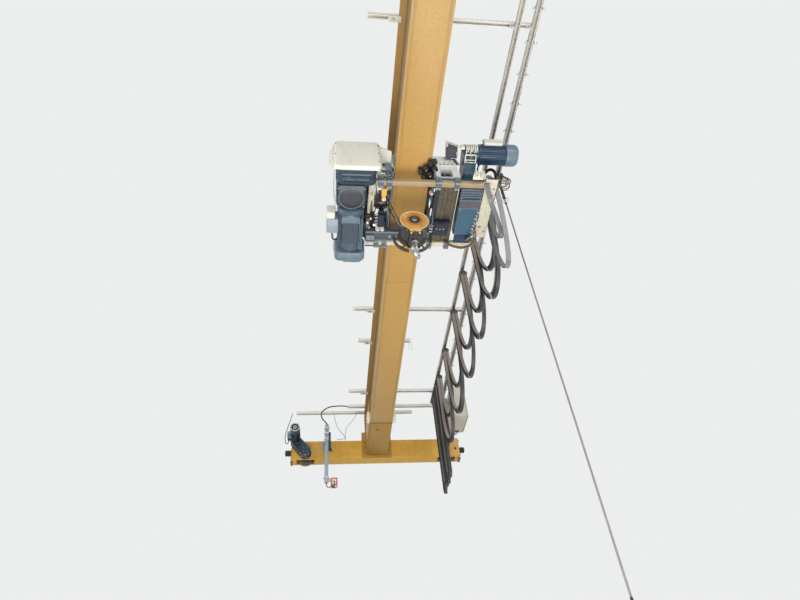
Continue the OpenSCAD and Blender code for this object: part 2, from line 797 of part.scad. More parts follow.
module trolley_gearbox() {
    motor_y = near_tube_y - 95;
    color([0.2, 0.32, 0.43]) {
        hull() {
            rod_x(gearbox_x, gearbox_x + 110, drive_axle_y, axle_z, 78);
            rod_x(gearbox_x, gearbox_x + 110, motor_y, 243, 80);
        }
        rod_x(side_x + side_t, gearbox_x, drive_axle_y, axle_z, 24);
    }
}

module trolley_motor() {
    y = near_tube_y - 95;
    from = gearbox_x + 110;
    color([0.17, 0.28, 0.38]) {
        rod_x(from, from + 30, y, 243, 70);
        rod_x(from + 30, from + 260, y, 243, 88);
        rod_x(from + 260, from + 375, y, 243, 94);
        block([from + 60, y - 60, 243], [from + 220, y + 60, 362]);
    }
}

// Ropes and hook block
module rope_falls() {
    color([0.35, 0.33, 0.3]) both_sides() for (y = [hook_y - 30, hook_y + 30])
        rod([upper_sheave_x - upper_sheave_r + 8 - rope_d / 2 - fit, y, upper_sheave_z],
            [sheave_d / 2 - 10 + rope_d / 2 + fit, y, block_z], rope_d / 2);
}

module block_sheaves() {
    color([0.28, 0.28, 0.29]) for (y = [hook_y - 30, hook_y + 30])
        translate([0, y, block_z]) rotate([90, 0, 0]) rotate_extrude() polygon([
            [26, -16], [sheave_d / 2 + 6, -16], [sheave_d / 2 - 10, -4], [sheave_d / 2 - 10, 4],
            [sheave_d / 2 + 6, 16], [26, 16]
        ]);
}

module block_covers() {
    color([0.87, 0.6, 0.18]) for (s = [-1, 1])
        translate([0, hook_y + s * block_w / 2, block_z]) rotate([s * -90, 0, 0]) rotate_extrude() polygon([
            [axle_d / 2 + fit, -12], [cover_d / 2 - 8, -12], [cover_d / 2 - 6, -24], [cover_d / 2, -24],
            [cover_d / 2, -8], [cover_d / 2 - 10, 0], [axle_d / 2 + fit, 0]
        ]);
}

cheek_y = 62;
crosshead_low = block_z - 155;
crosshead_top = block_z - 135;
shank_r = 18;
guard_r = cover_d / 2 - 5;

// Two curved guards under the sheaves, open below for the hook and above for the rope
module block_guard() {
    difference() {
        rod_y(hook_y - 75, hook_y + 75, 0, block_z, guard_r);
        rod_y(hook_y - 76, hook_y + 76, 0, block_z, guard_r - 5);
        block([-guard_r - 1, hook_y - 76, block_z - 20], [guard_r + 1, hook_y + 76, block_z + guard_r + 1]);
        block([-47, hook_y - 76, block_z - guard_r - 1], [47, hook_y + 76, block_z]);
    }
}

module block_frame() {
    color([0.12, 0.12, 0.13]) difference() {
        union() {
            rod_y(hook_y - block_w / 2 - 6, hook_y + block_w / 2 + 6, 0, block_z, axle_d / 2);
            for (s = [-1, 1]) {
                rod_y(hook_y + s * (block_w / 2 + 9) - 6, hook_y + s * (block_w / 2 + 9) + 6, 0, block_z, 39);
                block([-55, hook_y + s * cheek_y - 7, crosshead_low], [55, hook_y + s * cheek_y + 7, block_z + 40]);
            }
            block([-50, hook_y - cheek_y, crosshead_low], [50, hook_y + cheek_y, crosshead_top]);
            block_guard();
        }
        rod_z(crosshead_low - cut, crosshead_top + cut, 0, hook_y, shank_r + fit / 3);
    }
}

hook_z = block_z - 280;
latch_at = [4, 97];
// How far the hook stands turned about the shank, its point to the right
hook_turn = 35;

module turned_hook() {
    translate([0, hook_y, 0]) rotate(-hook_turn) translate([0, -hook_y, 0]) children();
}

// The hook's centre line is a spiral about the bowl: radius = bowl + 75 e^(-(a - 90) / 22)
function hook_line(i, n) = let (a = 90 + 300 * i / n, r = bowl_r + hook_r * 0.8 + 75 * exp(-(a - 90) / 22))
    [0, r * cos(a), r * sin(a)];

function hook_girth(i, n) = let (s = i / n) hook_r * (0.62 + 0.38 * sin(180 * min(1, s * 1.3)) - 0.3 * pow(s, 4));

module hook_sweep() {
    n = 30;
    sides = 12;
    points = [for (i = [0:n])
        let (
            here = hook_line(i, n),
            way = hook_line(min(i + 1, n), n) - hook_line(max(i - 1, 0), n),
            forward = way / norm(way),
            side = [1, 0, 0],
            up = cross(forward, side)
        )
        for (k = [0 : sides - 1])
            here + hook_girth(i, n) * (cos(360 * k / sides) * side * 0.8 + sin(360 * k / sides) * up)];
    faces = concat(
        [[for (k = [0 : sides - 1]) k]],
        [for (i = [0 : n - 1], k = [0 : sides - 1]) let (j = (k + 1) % sides)
            [i * sides + k, (i + 1) * sides + k, (i + 1) * sides + j, i * sides + j]],
        [[for (k = [sides - 1 : -1 : 0]) n * sides + k]]
    );
    polyhedron(points, faces);
}

module hook() {
    color([0.35, 0.35, 0.36]) turned_hook() difference() {
        union() {
            translate([0, hook_y, hook_z]) {
                hook_sweep();
                block([-6, latch_at.x - 16, latch_at.y - 7], [6, latch_at.x + 6, latch_at.y + 7]);
            }
            rod_z(hook_z + 112, crosshead_top + 22, 0, hook_y, shank_r);
            rod_z(crosshead_top + fit, crosshead_top + 22, 0, hook_y, 34);
        }
        rod_x(-10, 10, hook_y + latch_at.x, hook_z + latch_at.y, 3.05);
    }
}

module hook_latch() {
    color([0.7, 0.7, 0.72]) turned_hook() translate([0, hook_y, hook_z]) {
        rod_x(-9.5, 9.5, latch_at.x, latch_at.y, 3);
        for (s = [-1, 1]) along_x(s * 8 - 1.5, s * 8 + 1.5)
            polygon([[latch_at.x - 5, latch_at.y + 5], [latch_at.x + 7, latch_at.y + 5], [41, 42], [36, 38]]);
        along_x(-8, 8) polygon([[latch_at.x + 10, latch_at.y - 8], [latch_at.x + 12.5, latch_at.y - 7], [40, 43], [37, 41]]);
    }
}

// Control pendant
// Points along a smooth curve through the route's points, several to each step (Catmull-Rom)
function spread_route(route, per) = concat(
    [for (i = [0 : len(route) - 2], j = [0 : per - 1])
        let (
            t = j / per, a = route[max(i - 1, 0)], b = route[i], c = route[i + 1],
            d = route[min(i + 2, len(route) - 1)]
        ) b + 0.5 * t * ((c - a) + t * ((2 * a - 5 * b + 4 * c - d) + t * (3 * b - a - 3 * c + d)))],
    [route[len(route) - 1]]
);

module pendant_carrier() {
    color([0.35, 0.3, 0.26]) translate([control_x, pendant_y, 0]) {
        block([-3, -34, girder_top - bar - 30], [3, 34, roller_z + 4]);
        block([-26, -38, girder_top - bar - 90], [26, 38, girder_top - bar - 30]);
        for (s = [-1, 1]) rod_x(-15, 15, s * 22, roller_z, roller_r);
        rod_z(pendant_top, girder_top - bar - 90, 0, 0, 14);
    }
}

module pendant_cable() {
    r = pendant_cable_d / 2;
    rings = spread_route(cable_route, 3);
    n = len(rings);
    color([0.15, 0.15, 0.16]) polyhedron(
        [for (c = rings, a = [0:36:324]) c + [r * cos(a), r * sin(a), 0]],
        concat(
            [[for (k = [0:9]) k]],
            [for (i = [0 : n - 2], k = [0:9]) [i * 10 + k, (i + 1) * 10 + k, (i + 1) * 10 + (k + 1) % 10, i * 10 + (k + 1) % 10]],
            [[for (k = [9:-1:0]) (n - 1) * 10 + k]]
        )
    );
}

module pendant_station() {
    color([0.85, 0.7, 0.1]) translate([control_x, pendant_y, 0])
        block([-station_w / 2, -station_d / 2, pendant_low - station_l], [station_w / 2, station_d / 2, pendant_low]);
}

girder_bottom_flange();
girder_webs();
girder_top_flange();
girder_end_boxes();
head_plates();
trolley_end_stops();
far_end_carriage();
near_end_carriage();
carriage_wheels();
carriage_buffers();
travel_gearboxes();
travel_motors();
support_arms();
arm_clamps();
festoon_rail();
control_rail();
rail_conduit();
electrical_panel();
collector_mast();
current_collector();
festoon_bundle();
cross_tubes();
left_side_frame();
right_side_frame();
trolley_wheels();
hoist_enclosure();
hoist_gearbox();
hoist_motor();
motor_terminal_box();
rope_drum();
rope_guide();
upper_sheaves();
drive_box();
tow_arm();
trolley_gearbox();
trolley_motor();
rope_falls();
block_sheaves();
block_covers();
block_frame();
hook();
hook_latch();
festoon_carrier_1();
festoon_carrier_2();
festoon_carrier_3();
festoon_carrier_4();
festoon_carrier_5();
festoon_loop_1();
festoon_loop_2();
festoon_loop_3();
festoon_loop_4();
festoon_loop_5();
pendant_carrier();
pendant_cable();
pendant_station();
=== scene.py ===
import json
from math import cos, pi, radians, sin

import bmesh
import bpy
import numpy as np
from mathutils import Matrix, Vector

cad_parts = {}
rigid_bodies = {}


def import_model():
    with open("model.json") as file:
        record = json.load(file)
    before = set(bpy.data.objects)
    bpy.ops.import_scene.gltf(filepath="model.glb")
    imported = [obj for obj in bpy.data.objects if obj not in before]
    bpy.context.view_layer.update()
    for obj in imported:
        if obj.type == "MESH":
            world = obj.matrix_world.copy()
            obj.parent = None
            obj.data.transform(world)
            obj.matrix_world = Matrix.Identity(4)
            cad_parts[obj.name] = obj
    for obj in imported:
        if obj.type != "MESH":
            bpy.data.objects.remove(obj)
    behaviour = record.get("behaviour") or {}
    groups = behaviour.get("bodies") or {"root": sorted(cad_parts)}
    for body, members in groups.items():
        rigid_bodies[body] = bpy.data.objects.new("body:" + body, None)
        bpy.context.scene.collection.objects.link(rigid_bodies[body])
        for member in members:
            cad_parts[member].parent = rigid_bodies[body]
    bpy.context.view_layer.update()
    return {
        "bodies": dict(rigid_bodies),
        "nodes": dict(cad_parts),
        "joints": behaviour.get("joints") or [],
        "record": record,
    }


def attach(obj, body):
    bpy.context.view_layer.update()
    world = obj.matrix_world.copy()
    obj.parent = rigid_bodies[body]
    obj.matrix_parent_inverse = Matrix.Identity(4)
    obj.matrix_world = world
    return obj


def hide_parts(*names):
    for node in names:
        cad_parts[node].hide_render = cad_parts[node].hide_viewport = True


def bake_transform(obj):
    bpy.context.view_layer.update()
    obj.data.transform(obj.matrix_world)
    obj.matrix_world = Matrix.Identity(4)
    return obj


# Overhead bridge crane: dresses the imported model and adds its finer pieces. Metres, +Z up, girder along Y.
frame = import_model()


# Camera
cameraSetup = {"place": (-0.681, -1.70, -4.16), "turn": 9.21, "pitch": 43.3, "roll": -5.78, "lens": 26.87}


def addCamera(setup):
    # the view line is turned right of +Y and pitched above level, and the frame is rolled about it
    turn, pitch, roll = (radians(setup[key]) for key in ("turn", "pitch", "roll"))
    ahead = np.array([sin(turn) * cos(pitch), cos(turn) * cos(pitch), sin(pitch)])
    level = np.array([cos(turn), -sin(turn), 0.0])
    above = np.cross(level, ahead)
    right = cos(roll) * level + sin(roll) * above
    up = cos(roll) * above - sin(roll) * level
    data = bpy.data.cameras.new("craneCamera")
    data.lens = setup["lens"]
    data.sensor_width = 36
    data.clip_end = 200
    camera = bpy.data.objects.new("craneCamera", data)
    bpy.context.scene.collection.objects.link(camera)
    turned = Matrix(np.stack([right, up, -ahead], axis=1).tolist()).to_4x4()
    camera.matrix_world = Matrix.Translation(setup["place"]) @ turned
    bpy.context.scene.camera = camera


addCamera(cameraSetup)
bpy.context.scene.view_settings.view_transform = "Standard"


# Node trees
def addNode(tree, kind, wires=None, **settings):
    node = tree.nodes.new(kind)
    for key, value in settings.items():
        setattr(node, key, value)
    for key, value in (wires or {}).items():
        if isinstance(value, bpy.types.NodeSocket):
            tree.links.new(value, node.inputs[key])
        else:
            node.inputs[key].default_value = value
    return node


def newGroup(name, inputs, outputs):
    group = bpy.data.node_groups.new(name, "ShaderNodeTree")
    for label, value in inputs.items():
        kind = "NodeSocketColor" if isinstance(value, tuple) else "NodeSocketFloat"
        group.interface.new_socket(label, in_out="INPUT", socket_type=kind).default_value = value
    for label in outputs:
        kind = "NodeSocketColor" if label == "Colour" else "NodeSocketFloat"
        group.interface.new_socket(label, in_out="OUTPUT", socket_type=kind)
    return group, group.nodes.new("NodeGroupInput").outputs, group.nodes.new("NodeGroupOutput").inputs


def noiseOf(tree, coords, scale, detail=3.0, rough=0.55, twist=0.0):
    return addNode(tree, "ShaderNodeTexNoise", {
        "Vector": coords, "Scale": scale, "Detail": detail, "Roughness": rough, "Distortion": twist,
    }).outputs["Fac"]


def bandOf(tree, value, low, high):
    # 0 below low, rising smoothly to 1 at high
    return addNode(tree, "ShaderNodeMapRange", {"Value": value, "From Min": low, "From Max": high},
                   interpolation_type="SMOOTHSTEP").outputs["Result"]


def maths(tree, how, a, b=0.0):
    return addNode(tree, "ShaderNodeMath", {0: a, 1: b}, operation=how).outputs[0]


def times(tree, a, b):
    return maths(tree, "MULTIPLY", a, b)


def objectCoords(tree):
    return addNode(tree, "ShaderNodeTexCoord").outputs["Object"]


def mixed(tree, share, a, b):
    # sockets 6 and 7 are the colours, and output 2 their mix
    return addNode(tree, "ShaderNodeMix", {0: share, 6: a, 7: b}, data_type="RGBA").outputs[2]


def putAll(tree, put, colour, roughness, height):
    for label, value in (("Colour", colour), ("Roughness", roughness), ("Height", height)):
        tree.links.new(value, put[label])


def stretched(tree, coords, scale):
    return addNode(tree, "ShaderNodeMapping", {"Vector": coords, "Scale": scale}).outputs["Vector"]


def makePaintGroup():
    # enamel: patches of faded tone, dirt in clouds and runs, chipped edges, fine scuffs and orange peel
    group, given, put = newGroup("paintFinish", {
        "Paint": (0.5, 0.5, 0.5, 1), "Faded": (0.6, 0.6, 0.6, 1), "Grime": (0.1, 0.1, 0.1, 1),
        "Bare": (0.3, 0.3, 0.3, 1),
        "Patch Scale": 1.5, "Fading": 0.5, "Dirt": 0.4, "Runs": 0.2, "Wear": 0.4, "Scuff": 0.1,
        "Base Roughness": 0.45, "Peel": 0.4,
    }, ("Colour", "Roughness", "Height"))
    coords = objectCoords(group)
    tone = bandOf(group, noiseOf(group, coords, given["Patch Scale"], 5.0), 0.35, 0.68)
    cloud = noiseOf(group, coords, times(group, given["Patch Scale"], 5.3), 6.0, 0.66)
    speck = noiseOf(group, coords, 70.0, 4.0, 0.7)
    runs = bandOf(group, noiseOf(group, stretched(group, coords, (26.0, 26.0, 1.6)), 1.0, 4.0, 0.6), 0.5,
                  0.72)
    peel = noiseOf(group, coords, 340.0, 1.0, 0.5)
    sharp = addNode(group, "ShaderNodeNewGeometry").outputs["Pointiness"]
    edge = times(group, bandOf(group, sharp, 0.515, 0.60), bandOf(group, speck, 0.42, 0.6))
    line = noiseOf(group, stretched(group, coords, (1.0, 1.7, 0.8)), 17.0, 2.0, 0.5, 2.2)
    near = maths(group, "ABSOLUTE", maths(group, "SUBTRACT", line, 0.5))
    scuff = times(group, bandOf(group, near, 0.012, 0.0), bandOf(group, cloud, 0.47, 0.6))
    colour = mixed(group, times(group, tone, given["Fading"]), given["Paint"], given["Faded"])
    dirt = times(group, bandOf(group, cloud, 0.46, 0.74), given["Dirt"])
    dirt = maths(group, "MAXIMUM", dirt, times(group, runs, given["Runs"]))
    dots = times(group, bandOf(group, speck, 0.64, 0.72), given["Dirt"])
    dirt = maths(group, "MAXIMUM", dirt, dots)
    colour = mixed(group, dirt, colour, given["Grime"])
    worn = maths(group, "MAXIMUM", times(group, edge, given["Wear"]),
                 times(group, scuff, given["Scuff"]))
    colour = mixed(group, worn, colour, given["Bare"])
    rough = maths(group, "ADD", given["Base Roughness"], times(group, dirt, 0.35))
    rough = maths(group, "ADD", rough, times(group, tone, 0.08))
    height = maths(group, "ADD", times(group, peel, given["Peel"]), times(group, dirt, 0.5))
    height = maths(group, "SUBTRACT", height, times(group, worn, 0.6))
    putAll(group, put, colour, rough, height)
    return group


def makeMetalGroup():
    # bare or galvanised steel: crystal spangle, grain along one way, stains and rust
    group, given, put = newGroup("metalFinish", {
        "Metal": (0.6, 0.6, 0.6, 1), "Dull": (0.4, 0.4, 0.4, 1), "Stain": (0.2, 0.15, 0.1, 1),
        "Spangle": 0.3, "Grain": 0.3, "Stains": 0.3, "Base Roughness": 0.4,
    }, ("Colour", "Roughness", "Height"))
    coords = objectCoords(group)
    cells = addNode(group, "ShaderNodeTexVoronoi", {"Vector": coords, "Scale": 75.0, "Randomness": 1.0})
    cell = addNode(group, "ShaderNodeSeparateColor", {"Color": cells.outputs["Color"]}).outputs["Red"]
    grain = noiseOf(group, stretched(group, coords, (1.0, 0.04, 1.0)), 420.0, 2.0)
    cloud = noiseOf(group, coords, 6.0, 6.0, 0.65)
    dull = times(group, cell, given["Spangle"])
    dull = maths(group, "ADD", dull, times(group, bandOf(group, cloud, 0.4, 0.7), 0.5))
    colour = mixed(group, addNode(group, "ShaderNodeClamp", {"Value": dull}).outputs[0], given["Metal"],
                   given["Dull"])
    stain = times(group, bandOf(group, noiseOf(group, coords, 21.0, 5.0, 0.7), 0.5, 0.72), given["Stains"])
    colour = mixed(group, stain, colour, given["Stain"])
    rough = maths(group, "ADD", given["Base Roughness"], times(group, cell, 0.12))
    rough = maths(group, "ADD", rough, times(group, stain, 0.3))
    height = maths(group, "ADD", times(group, grain, given["Grain"]), times(group, stain, 0.3))
    putAll(group, put, colour, rough, height)
    return group


def makeRubberGroup():
    # sheath or moulding: dust on what faces up, faint smears and a fine skin
    group, given, put = newGroup("sheathFinish", {
        "Body": (0.1, 0.1, 0.1, 1), "Dust": (0.4, 0.38, 0.35, 1), "Dusting": 0.4, "Skin": 0.4,
        "Base Roughness": 0.5,
    }, ("Colour", "Roughness", "Height"))
    coords = objectCoords(group)
    cloud = noiseOf(group, coords, 7.0, 5.0, 0.6)
    fine = noiseOf(group, coords, 260.0, 2.0)
    facing = addNode(group, "ShaderNodeNewGeometry").outputs["Normal"]
    upward = addNode(group, "ShaderNodeSeparateXYZ", {"Vector": facing}).outputs["Z"]
    top = times(group, bandOf(group, upward, 0.1, 0.9), 0.7)
    dust = maths(group, "ADD", times(group, bandOf(group, cloud, 0.42, 0.75), 0.55), top)
    dust = times(group, addNode(group, "ShaderNodeClamp", {"Value": dust}).outputs[0], given["Dusting"])
    rough = maths(group, "ADD", given["Base Roughness"], times(group, dust, 0.4))
    putAll(group, put, mixed(group, dust, given["Body"], given["Dust"]), rough,
           times(group, fine, given["Skin"]))
    return group


finishGroups = {"paint": makePaintGroup(), "metal": makeMetalGroup(), "rubber": makeRubberGroup()}


def linear(colour):
    # a colour as the eye reads it, 0 to 255, turned into light
    c = np.array(colour, dtype=float) / 255
    lit = np.where(c <= 0.04045, c / 12.92, ((c + 0.055) / 1.055) ** 2.4)
    return tuple(float(v) for v in lit) + (1.0,)


finishes = {}
reliefDepth = 0.0004


def addFinish(name, kind, values, metallic=0.0, coat=0.0):
    material = bpy.data.materials.new(name)
    material.use_nodes = True
    tree = material.node_tree
    shader = tree.nodes["Principled BSDF"]
    finish = addNode(tree, "ShaderNodeGroup", node_tree=finishGroups[kind])
    for label, value in values.items():
        finish.inputs[label].default_value = linear(value) if isinstance(value, tuple) else value
    tree.links.new(finish.outputs["Colour"], shader.inputs["Base Color"])
    tree.links.new(finish.outputs["Roughness"], shader.inputs["Roughness"])
    relief = addNode(tree, "ShaderNodeBump",
                     {"Height": finish.outputs["Height"], "Strength": 0.6, "Distance": reliefDepth})
    tree.links.new(relief.outputs["Normal"], shader.inputs["Normal"])
    shader.inputs["Metallic"].default_value = metallic
    shader.inputs["Coat Weight"].default_value = coat
    finishes[name] = material


def enamel(name, paint, faded, grime, bare, rough=0.42, coat=0.0, **amounts):
    values = {"Paint": paint, "Faded": faded, "Grime": grime, "Bare": bare, "Base Roughness": rough}
    values.update({key.replace("_", " "): value for key, value in amounts.items()})
    addFinish(name, "paint", values, coat=coat)


def addTone(tree, share, tone):
    colour = tree.nodes["Principled BSDF"].inputs["Base Color"]
    tree.links.new(mixed(tree, share, colour.links[0].from_socket, linear(tone)), colour)


def addEdgeBands(material, tone, amount):
    # a darker band just inside each edge, read from the distance to the middle plane, fading in and out along
    # Y
    tree = material.node_tree
    coords = objectCoords(tree)
    off = maths(tree, "ABSOLUTE", addNode(tree, "ShaderNodeSeparateXYZ", {"Vector": coords}).outputs["X"])
    band = times(tree, bandOf(tree, off, 0.112, 0.116), bandOf(tree, off, 0.138, 0.133))
    streak = bandOf(tree, noiseOf(tree, stretched(tree, coords, (9.0, 0.6, 1.0)), 3.0, 4.0), 0.3, 0.65)
    share = times(tree, times(tree, band, streak), amount)
    addTone(tree, share, tone)


def addNearPale(material, tone, amount):
    # the castings' near ends catch the light: paler above the clamps, fading out along +Y
    tree = material.node_tree
    place = addNode(tree, "ShaderNodeSeparateXYZ", {"Vector": objectCoords(tree)}).outputs
    share = times(tree, bandOf(tree, place["Z"], -0.05, 0.0), bandOf(tree, place["Y"], 1.25, 1.19))
    share = times(tree, share, amount)
    addTone(tree, share, tone)


def steel(name, metal, dull, stain, rough=0.4, metallic=0.85, **amounts):
    values = {"Metal": metal, "Dull": dull, "Stain": stain, "Base Roughness": rough, **amounts}
    addFinish(name, "metal", values, metallic=metallic)


def sheath(name, body, dust, rough=0.5, **amounts):
    addFinish(name, "rubber", {"Body": body, "Dust": dust, "Base Roughness": rough, **amounts})


# Colours are as the eye reads them: paint, faded, grime and bare; metal, dull and stain; body and dust
enamel("flangeYellow", (192, 151, 80), (198, 160, 92), (150, 116, 70), (150, 120, 82),
       rough=0.36, coat=0.1, Patch_Scale=0.45, Fading=0.9, Dirt=0.03, Wear=0.3, Scuff=0.04, Peel=0.1)
enamel("girderYellow", (196, 156, 82), (198, 164, 98), (140, 108, 66), (150, 120, 82),
       rough=0.4, Patch_Scale=0.6, Fading=0.8, Dirt=0.1, Wear=0.4, Scuff=0.1)
# the webs' yellow is taken darker and browner than the flanges' as painted shade, the webs lying under the
# flanges; the welds share this finish
enamel("webShadeYellow", (150, 124, 86), (144, 124, 94), (104, 84, 60), (130, 106, 76),
       Patch_Scale=0.7, Fading=0.8, Dirt=0.14, Runs=0.12, Wear=0.3, Scuff=0.1)
enamel("boxYellow", (184, 142, 62), (176, 138, 66), (120, 92, 50), (140, 112, 76),
       Patch_Scale=1.3, Fading=0.8, Dirt=0.18, Runs=0.15, Wear=0.4, Scuff=0.15)
enamel("capYellow", (226, 176, 96), (232, 188, 118), (140, 106, 66), (150, 120, 90),
       Patch_Scale=4.0, Fading=0.6, Dirt=0.2, Wear=0.5, Scuff=0.2)
enamel("carriageYellow", (226, 176, 72), (232, 188, 98), (132, 98, 52), (118, 100, 72),
       Patch_Scale=2.0, Fading=0.6, Dirt=0.22, Runs=0.3, Wear=0.5, Scuff=0.2)
enamel("stopPale", (246, 244, 236), (252, 250, 244), (140, 110, 70), (150, 130, 100),
       Patch_Scale=4.0, Dirt=0.2, Wear=0.4)
steel("wheelSteel", (132, 130, 126), (86, 84, 80), (74, 52, 34), rough=0.38, Stains=0.6, Grain=0.6)
sheath("bufferRubber", (36, 36, 38), (110, 104, 96), rough=0.6, Dusting=0.5)
enamel("deepBlue", (36, 60, 84), (48, 72, 96), (22, 30, 38), (120, 126, 132),
       rough=0.34, coat=0.25, Patch_Scale=5.0, Fading=0.6, Dirt=0.3, Runs=0.15, Wear=0.4, Peel=0.7)
enamel("travelBlue", (34, 52, 70), (44, 64, 82), (22, 28, 36), (110, 116, 122),
       rough=0.34, coat=0.2, Patch_Scale=5.0, Fading=0.5, Dirt=0.25, Wear=0.35, Peel=0.7)
enamel("fanRim", (206, 214, 220), (190, 198, 204), (90, 94, 98), (150, 154, 156),
       rough=0.4, Patch_Scale=6.0, Dirt=0.2, Wear=0.3)
enamel("castingBlue", (58, 88, 116), (74, 104, 130), (34, 44, 54), (150, 154, 156),
       rough=0.36, coat=0.2, Patch_Scale=4.0, Fading=0.6, Dirt=0.35, Runs=0.2, Wear=0.5, Peel=0.6)
enamel("motorCasting", (44, 60, 76), (56, 72, 88), (30, 36, 44), (120, 128, 134),
       rough=0.36, coat=0.2, Patch_Scale=5.0, Fading=0.5, Dirt=0.3, Wear=0.4, Peel=0.7)
enamel("brakeNavy", (20, 32, 52), (28, 42, 64), (16, 18, 26), (90, 96, 104),
       rough=0.32, coat=0.25, Patch_Scale=6.0, Dirt=0.3, Wear=0.35)
enamel("frameBlue", (112, 136, 158), (130, 152, 172), (58, 66, 76), (150, 154, 156),
       rough=0.4, coat=0.15, Patch_Scale=4.0, Fading=0.6, Dirt=0.4, Runs=0.2, Wear=0.5, Peel=0.6)
enamel("motorBlue", (70, 90, 108), (84, 104, 122), (42, 50, 58), (150, 156, 160),
       rough=0.38, coat=0.15, Patch_Scale=5.0, Fading=0.6, Dirt=0.3, Runs=0.1, Wear=0.4, Peel=0.8)
enamel("fanBlue", (98, 120, 138), (116, 137, 154), (54, 62, 72), (160, 166, 170),
       rough=0.36, coat=0.2, Patch_Scale=6.0, Fading=0.6, Dirt=0.3, Wear=0.4, Peel=0.5)
enamel("motorPanel", (56, 68, 84), (68, 80, 96), (36, 40, 46), (130, 134, 138),
       rough=0.42, Patch_Scale=6.0, Dirt=0.3, Wear=0.4)
enamel("coverDark", (56, 60, 70), (66, 70, 80), (34, 36, 42), (120, 126, 130),
       rough=0.38, Patch_Scale=8.0, Dirt=0.3, Wear=0.3)
enamel("terminalGrey", (150, 166, 180), (166, 178, 188), (84, 90, 96), (150, 154, 156),
       Patch_Scale=7.0, Dirt=0.3, Wear=0.4)
enamel("beamDark", (74, 80, 92), (92, 96, 106), (44, 42, 42), (130, 130, 130),
       rough=0.42, Patch_Scale=5.0, Dirt=0.4, Wear=0.4)
enamel("panDark", (60, 56, 48), (92, 84, 64), (34, 28, 24), (140, 128, 108),
       rough=0.34, coat=0.3, Patch_Scale=6.0, Fading=0.8, Dirt=0.5, Wear=0.3, Scuff=0.4)
enamel("tealBlue", (48, 88, 118), (62, 102, 130), (30, 42, 50), (140, 150, 156),
       rough=0.36, coat=0.2, Patch_Scale=5.0, Fading=0.6, Dirt=0.3, Wear=0.4, Peel=0.6)
enamel("bandPlum", (84, 80, 93), (98, 93, 104), (50, 46, 52), (150, 148, 150),
       rough=0.4, Patch_Scale=6.0, Dirt=0.3, Wear=0.3)
sheath("cableBrown", (120, 100, 78), (150, 136, 116), rough=0.45, Dusting=0.3)
enamel("rodCream", (226, 222, 200), (214, 204, 176), (120, 104, 76), (160, 156, 146),
       rough=0.3, Patch_Scale=5.0, Dirt=0.4, Wear=0.3)
enamel("coverWhite", (238, 240, 234), (230, 230, 220), (170, 160, 140), (150, 150, 146),
       rough=0.4, Patch_Scale=2.2, Fading=0.5, Dirt=0.16, Runs=0.12, Wear=0.3, Scuff=0.15)
enamel("panelBeige", (222, 219, 206), (212, 208, 192), (150, 140, 118), (150, 146, 138),
       rough=0.46, Patch_Scale=2.5, Fading=0.6, Dirt=0.3, Runs=0.3, Wear=0.35)
steel("galvanised", (198, 201, 204), (158, 162, 168), (120, 108, 92), rough=0.42, metallic=0.55,
      Spangle=0.55, Grain=0.2, Stains=0.25)
steel("boltZinc", (196, 194, 186), (150, 148, 142), (110, 92, 66), rough=0.35, Stains=0.3)
enamel("mastPaint", (148, 172, 186), (166, 188, 200), (64, 70, 78), (140, 144, 148),
       Patch_Scale=3.0, Dirt=0.35, Runs=0.3, Wear=0.5)
sheath("collectorRed", (202, 104, 92), (220, 164, 152), rough=0.45, Dusting=0.3)
sheath("flatCable", (56, 58, 63), (112, 110, 110), rough=0.36, Dusting=0.3, Skin=0.3)
# a pale ribbon for the festoon's inmost layers: a painted highlight on the loops' inner faces
sheath("cableInnerSheen", (148, 140, 134), (188, 182, 176), rough=0.4, Dusting=0.4, Skin=0.3)
sheath("stopRed", (172, 40, 32), (196, 130, 120), rough=0.38, Dusting=0.25)
# a paler grey for the first loops' outer layers: a painted silver highlight
sheath("ribbonSheenGrey", (114, 118, 124), (196, 198, 202), rough=0.24, Dusting=0.5, Skin=0.2)
sheath("cableGrey", (136, 134, 132), (184, 180, 176), rough=0.36, Dusting=0.35)
enamel("motorNavy", (46, 76, 108), (58, 90, 122), (26, 36, 46), (140, 146, 152),
       rough=0.32, coat=0.3, Patch_Scale=5.0, Fading=0.5, Dirt=0.25, Wear=0.35, Peel=0.6)
steel("railSteel", (206, 204, 198), (176, 174, 168), (128, 114, 96), rough=0.38, metallic=0.5, Spangle=0.45,
      Stains=0.2)
steel("armPale", (244, 245, 243), (226, 227, 224), (168, 158, 142), rough=0.36, metallic=0.0, Spangle=0.35,
      Stains=0.12)
steel("carrierSteel", (96, 98, 102), (66, 68, 72), (70, 54, 40), rough=0.45, Stains=0.4)
# the near cross tube's tan is darker than the far tube's cream as painted shade from the trolley above it
enamel("nearTubeShadeTan", (164, 144, 116), (184, 164, 134), (120, 98, 74), (214, 200, 174),
       rough=0.34, coat=0.2, Patch_Scale=3.0, Fading=0.7, Dirt=0.15, Wear=0.0, Scuff=0.1, Peel=0.15)
steel("drumSteel", (120, 120, 122), (72, 72, 74), (48, 38, 28), rough=0.32, Stains=0.6, Grain=0.6)
steel("wireRope", (128, 122, 112), (86, 80, 72), (52, 42, 30), rough=0.42, metallic=0.7, Stains=0.6)
enamel("blockOrange", (202, 140, 52), (226, 178, 104), (112, 76, 40), (222, 196, 150),
       rough=0.28, coat=0.5, Patch_Scale=13.0, Fading=0.9, Dirt=0.45, Wear=0.8, Scuff=0.8)
enamel("rimWorn", (232, 196, 142), (244, 224, 186), (150, 108, 60), (206, 190, 160),
       rough=0.26, coat=0.4, Patch_Scale=16.0, Fading=0.9, Dirt=0.2, Wear=0.5, Scuff=0.5)
enamel("bandOrange", (168, 104, 38), (188, 126, 56), (90, 60, 34), (200, 160, 110),
       rough=0.34, coat=0.3, Patch_Scale=12.0, Fading=0.7, Dirt=0.4, Wear=0.4)
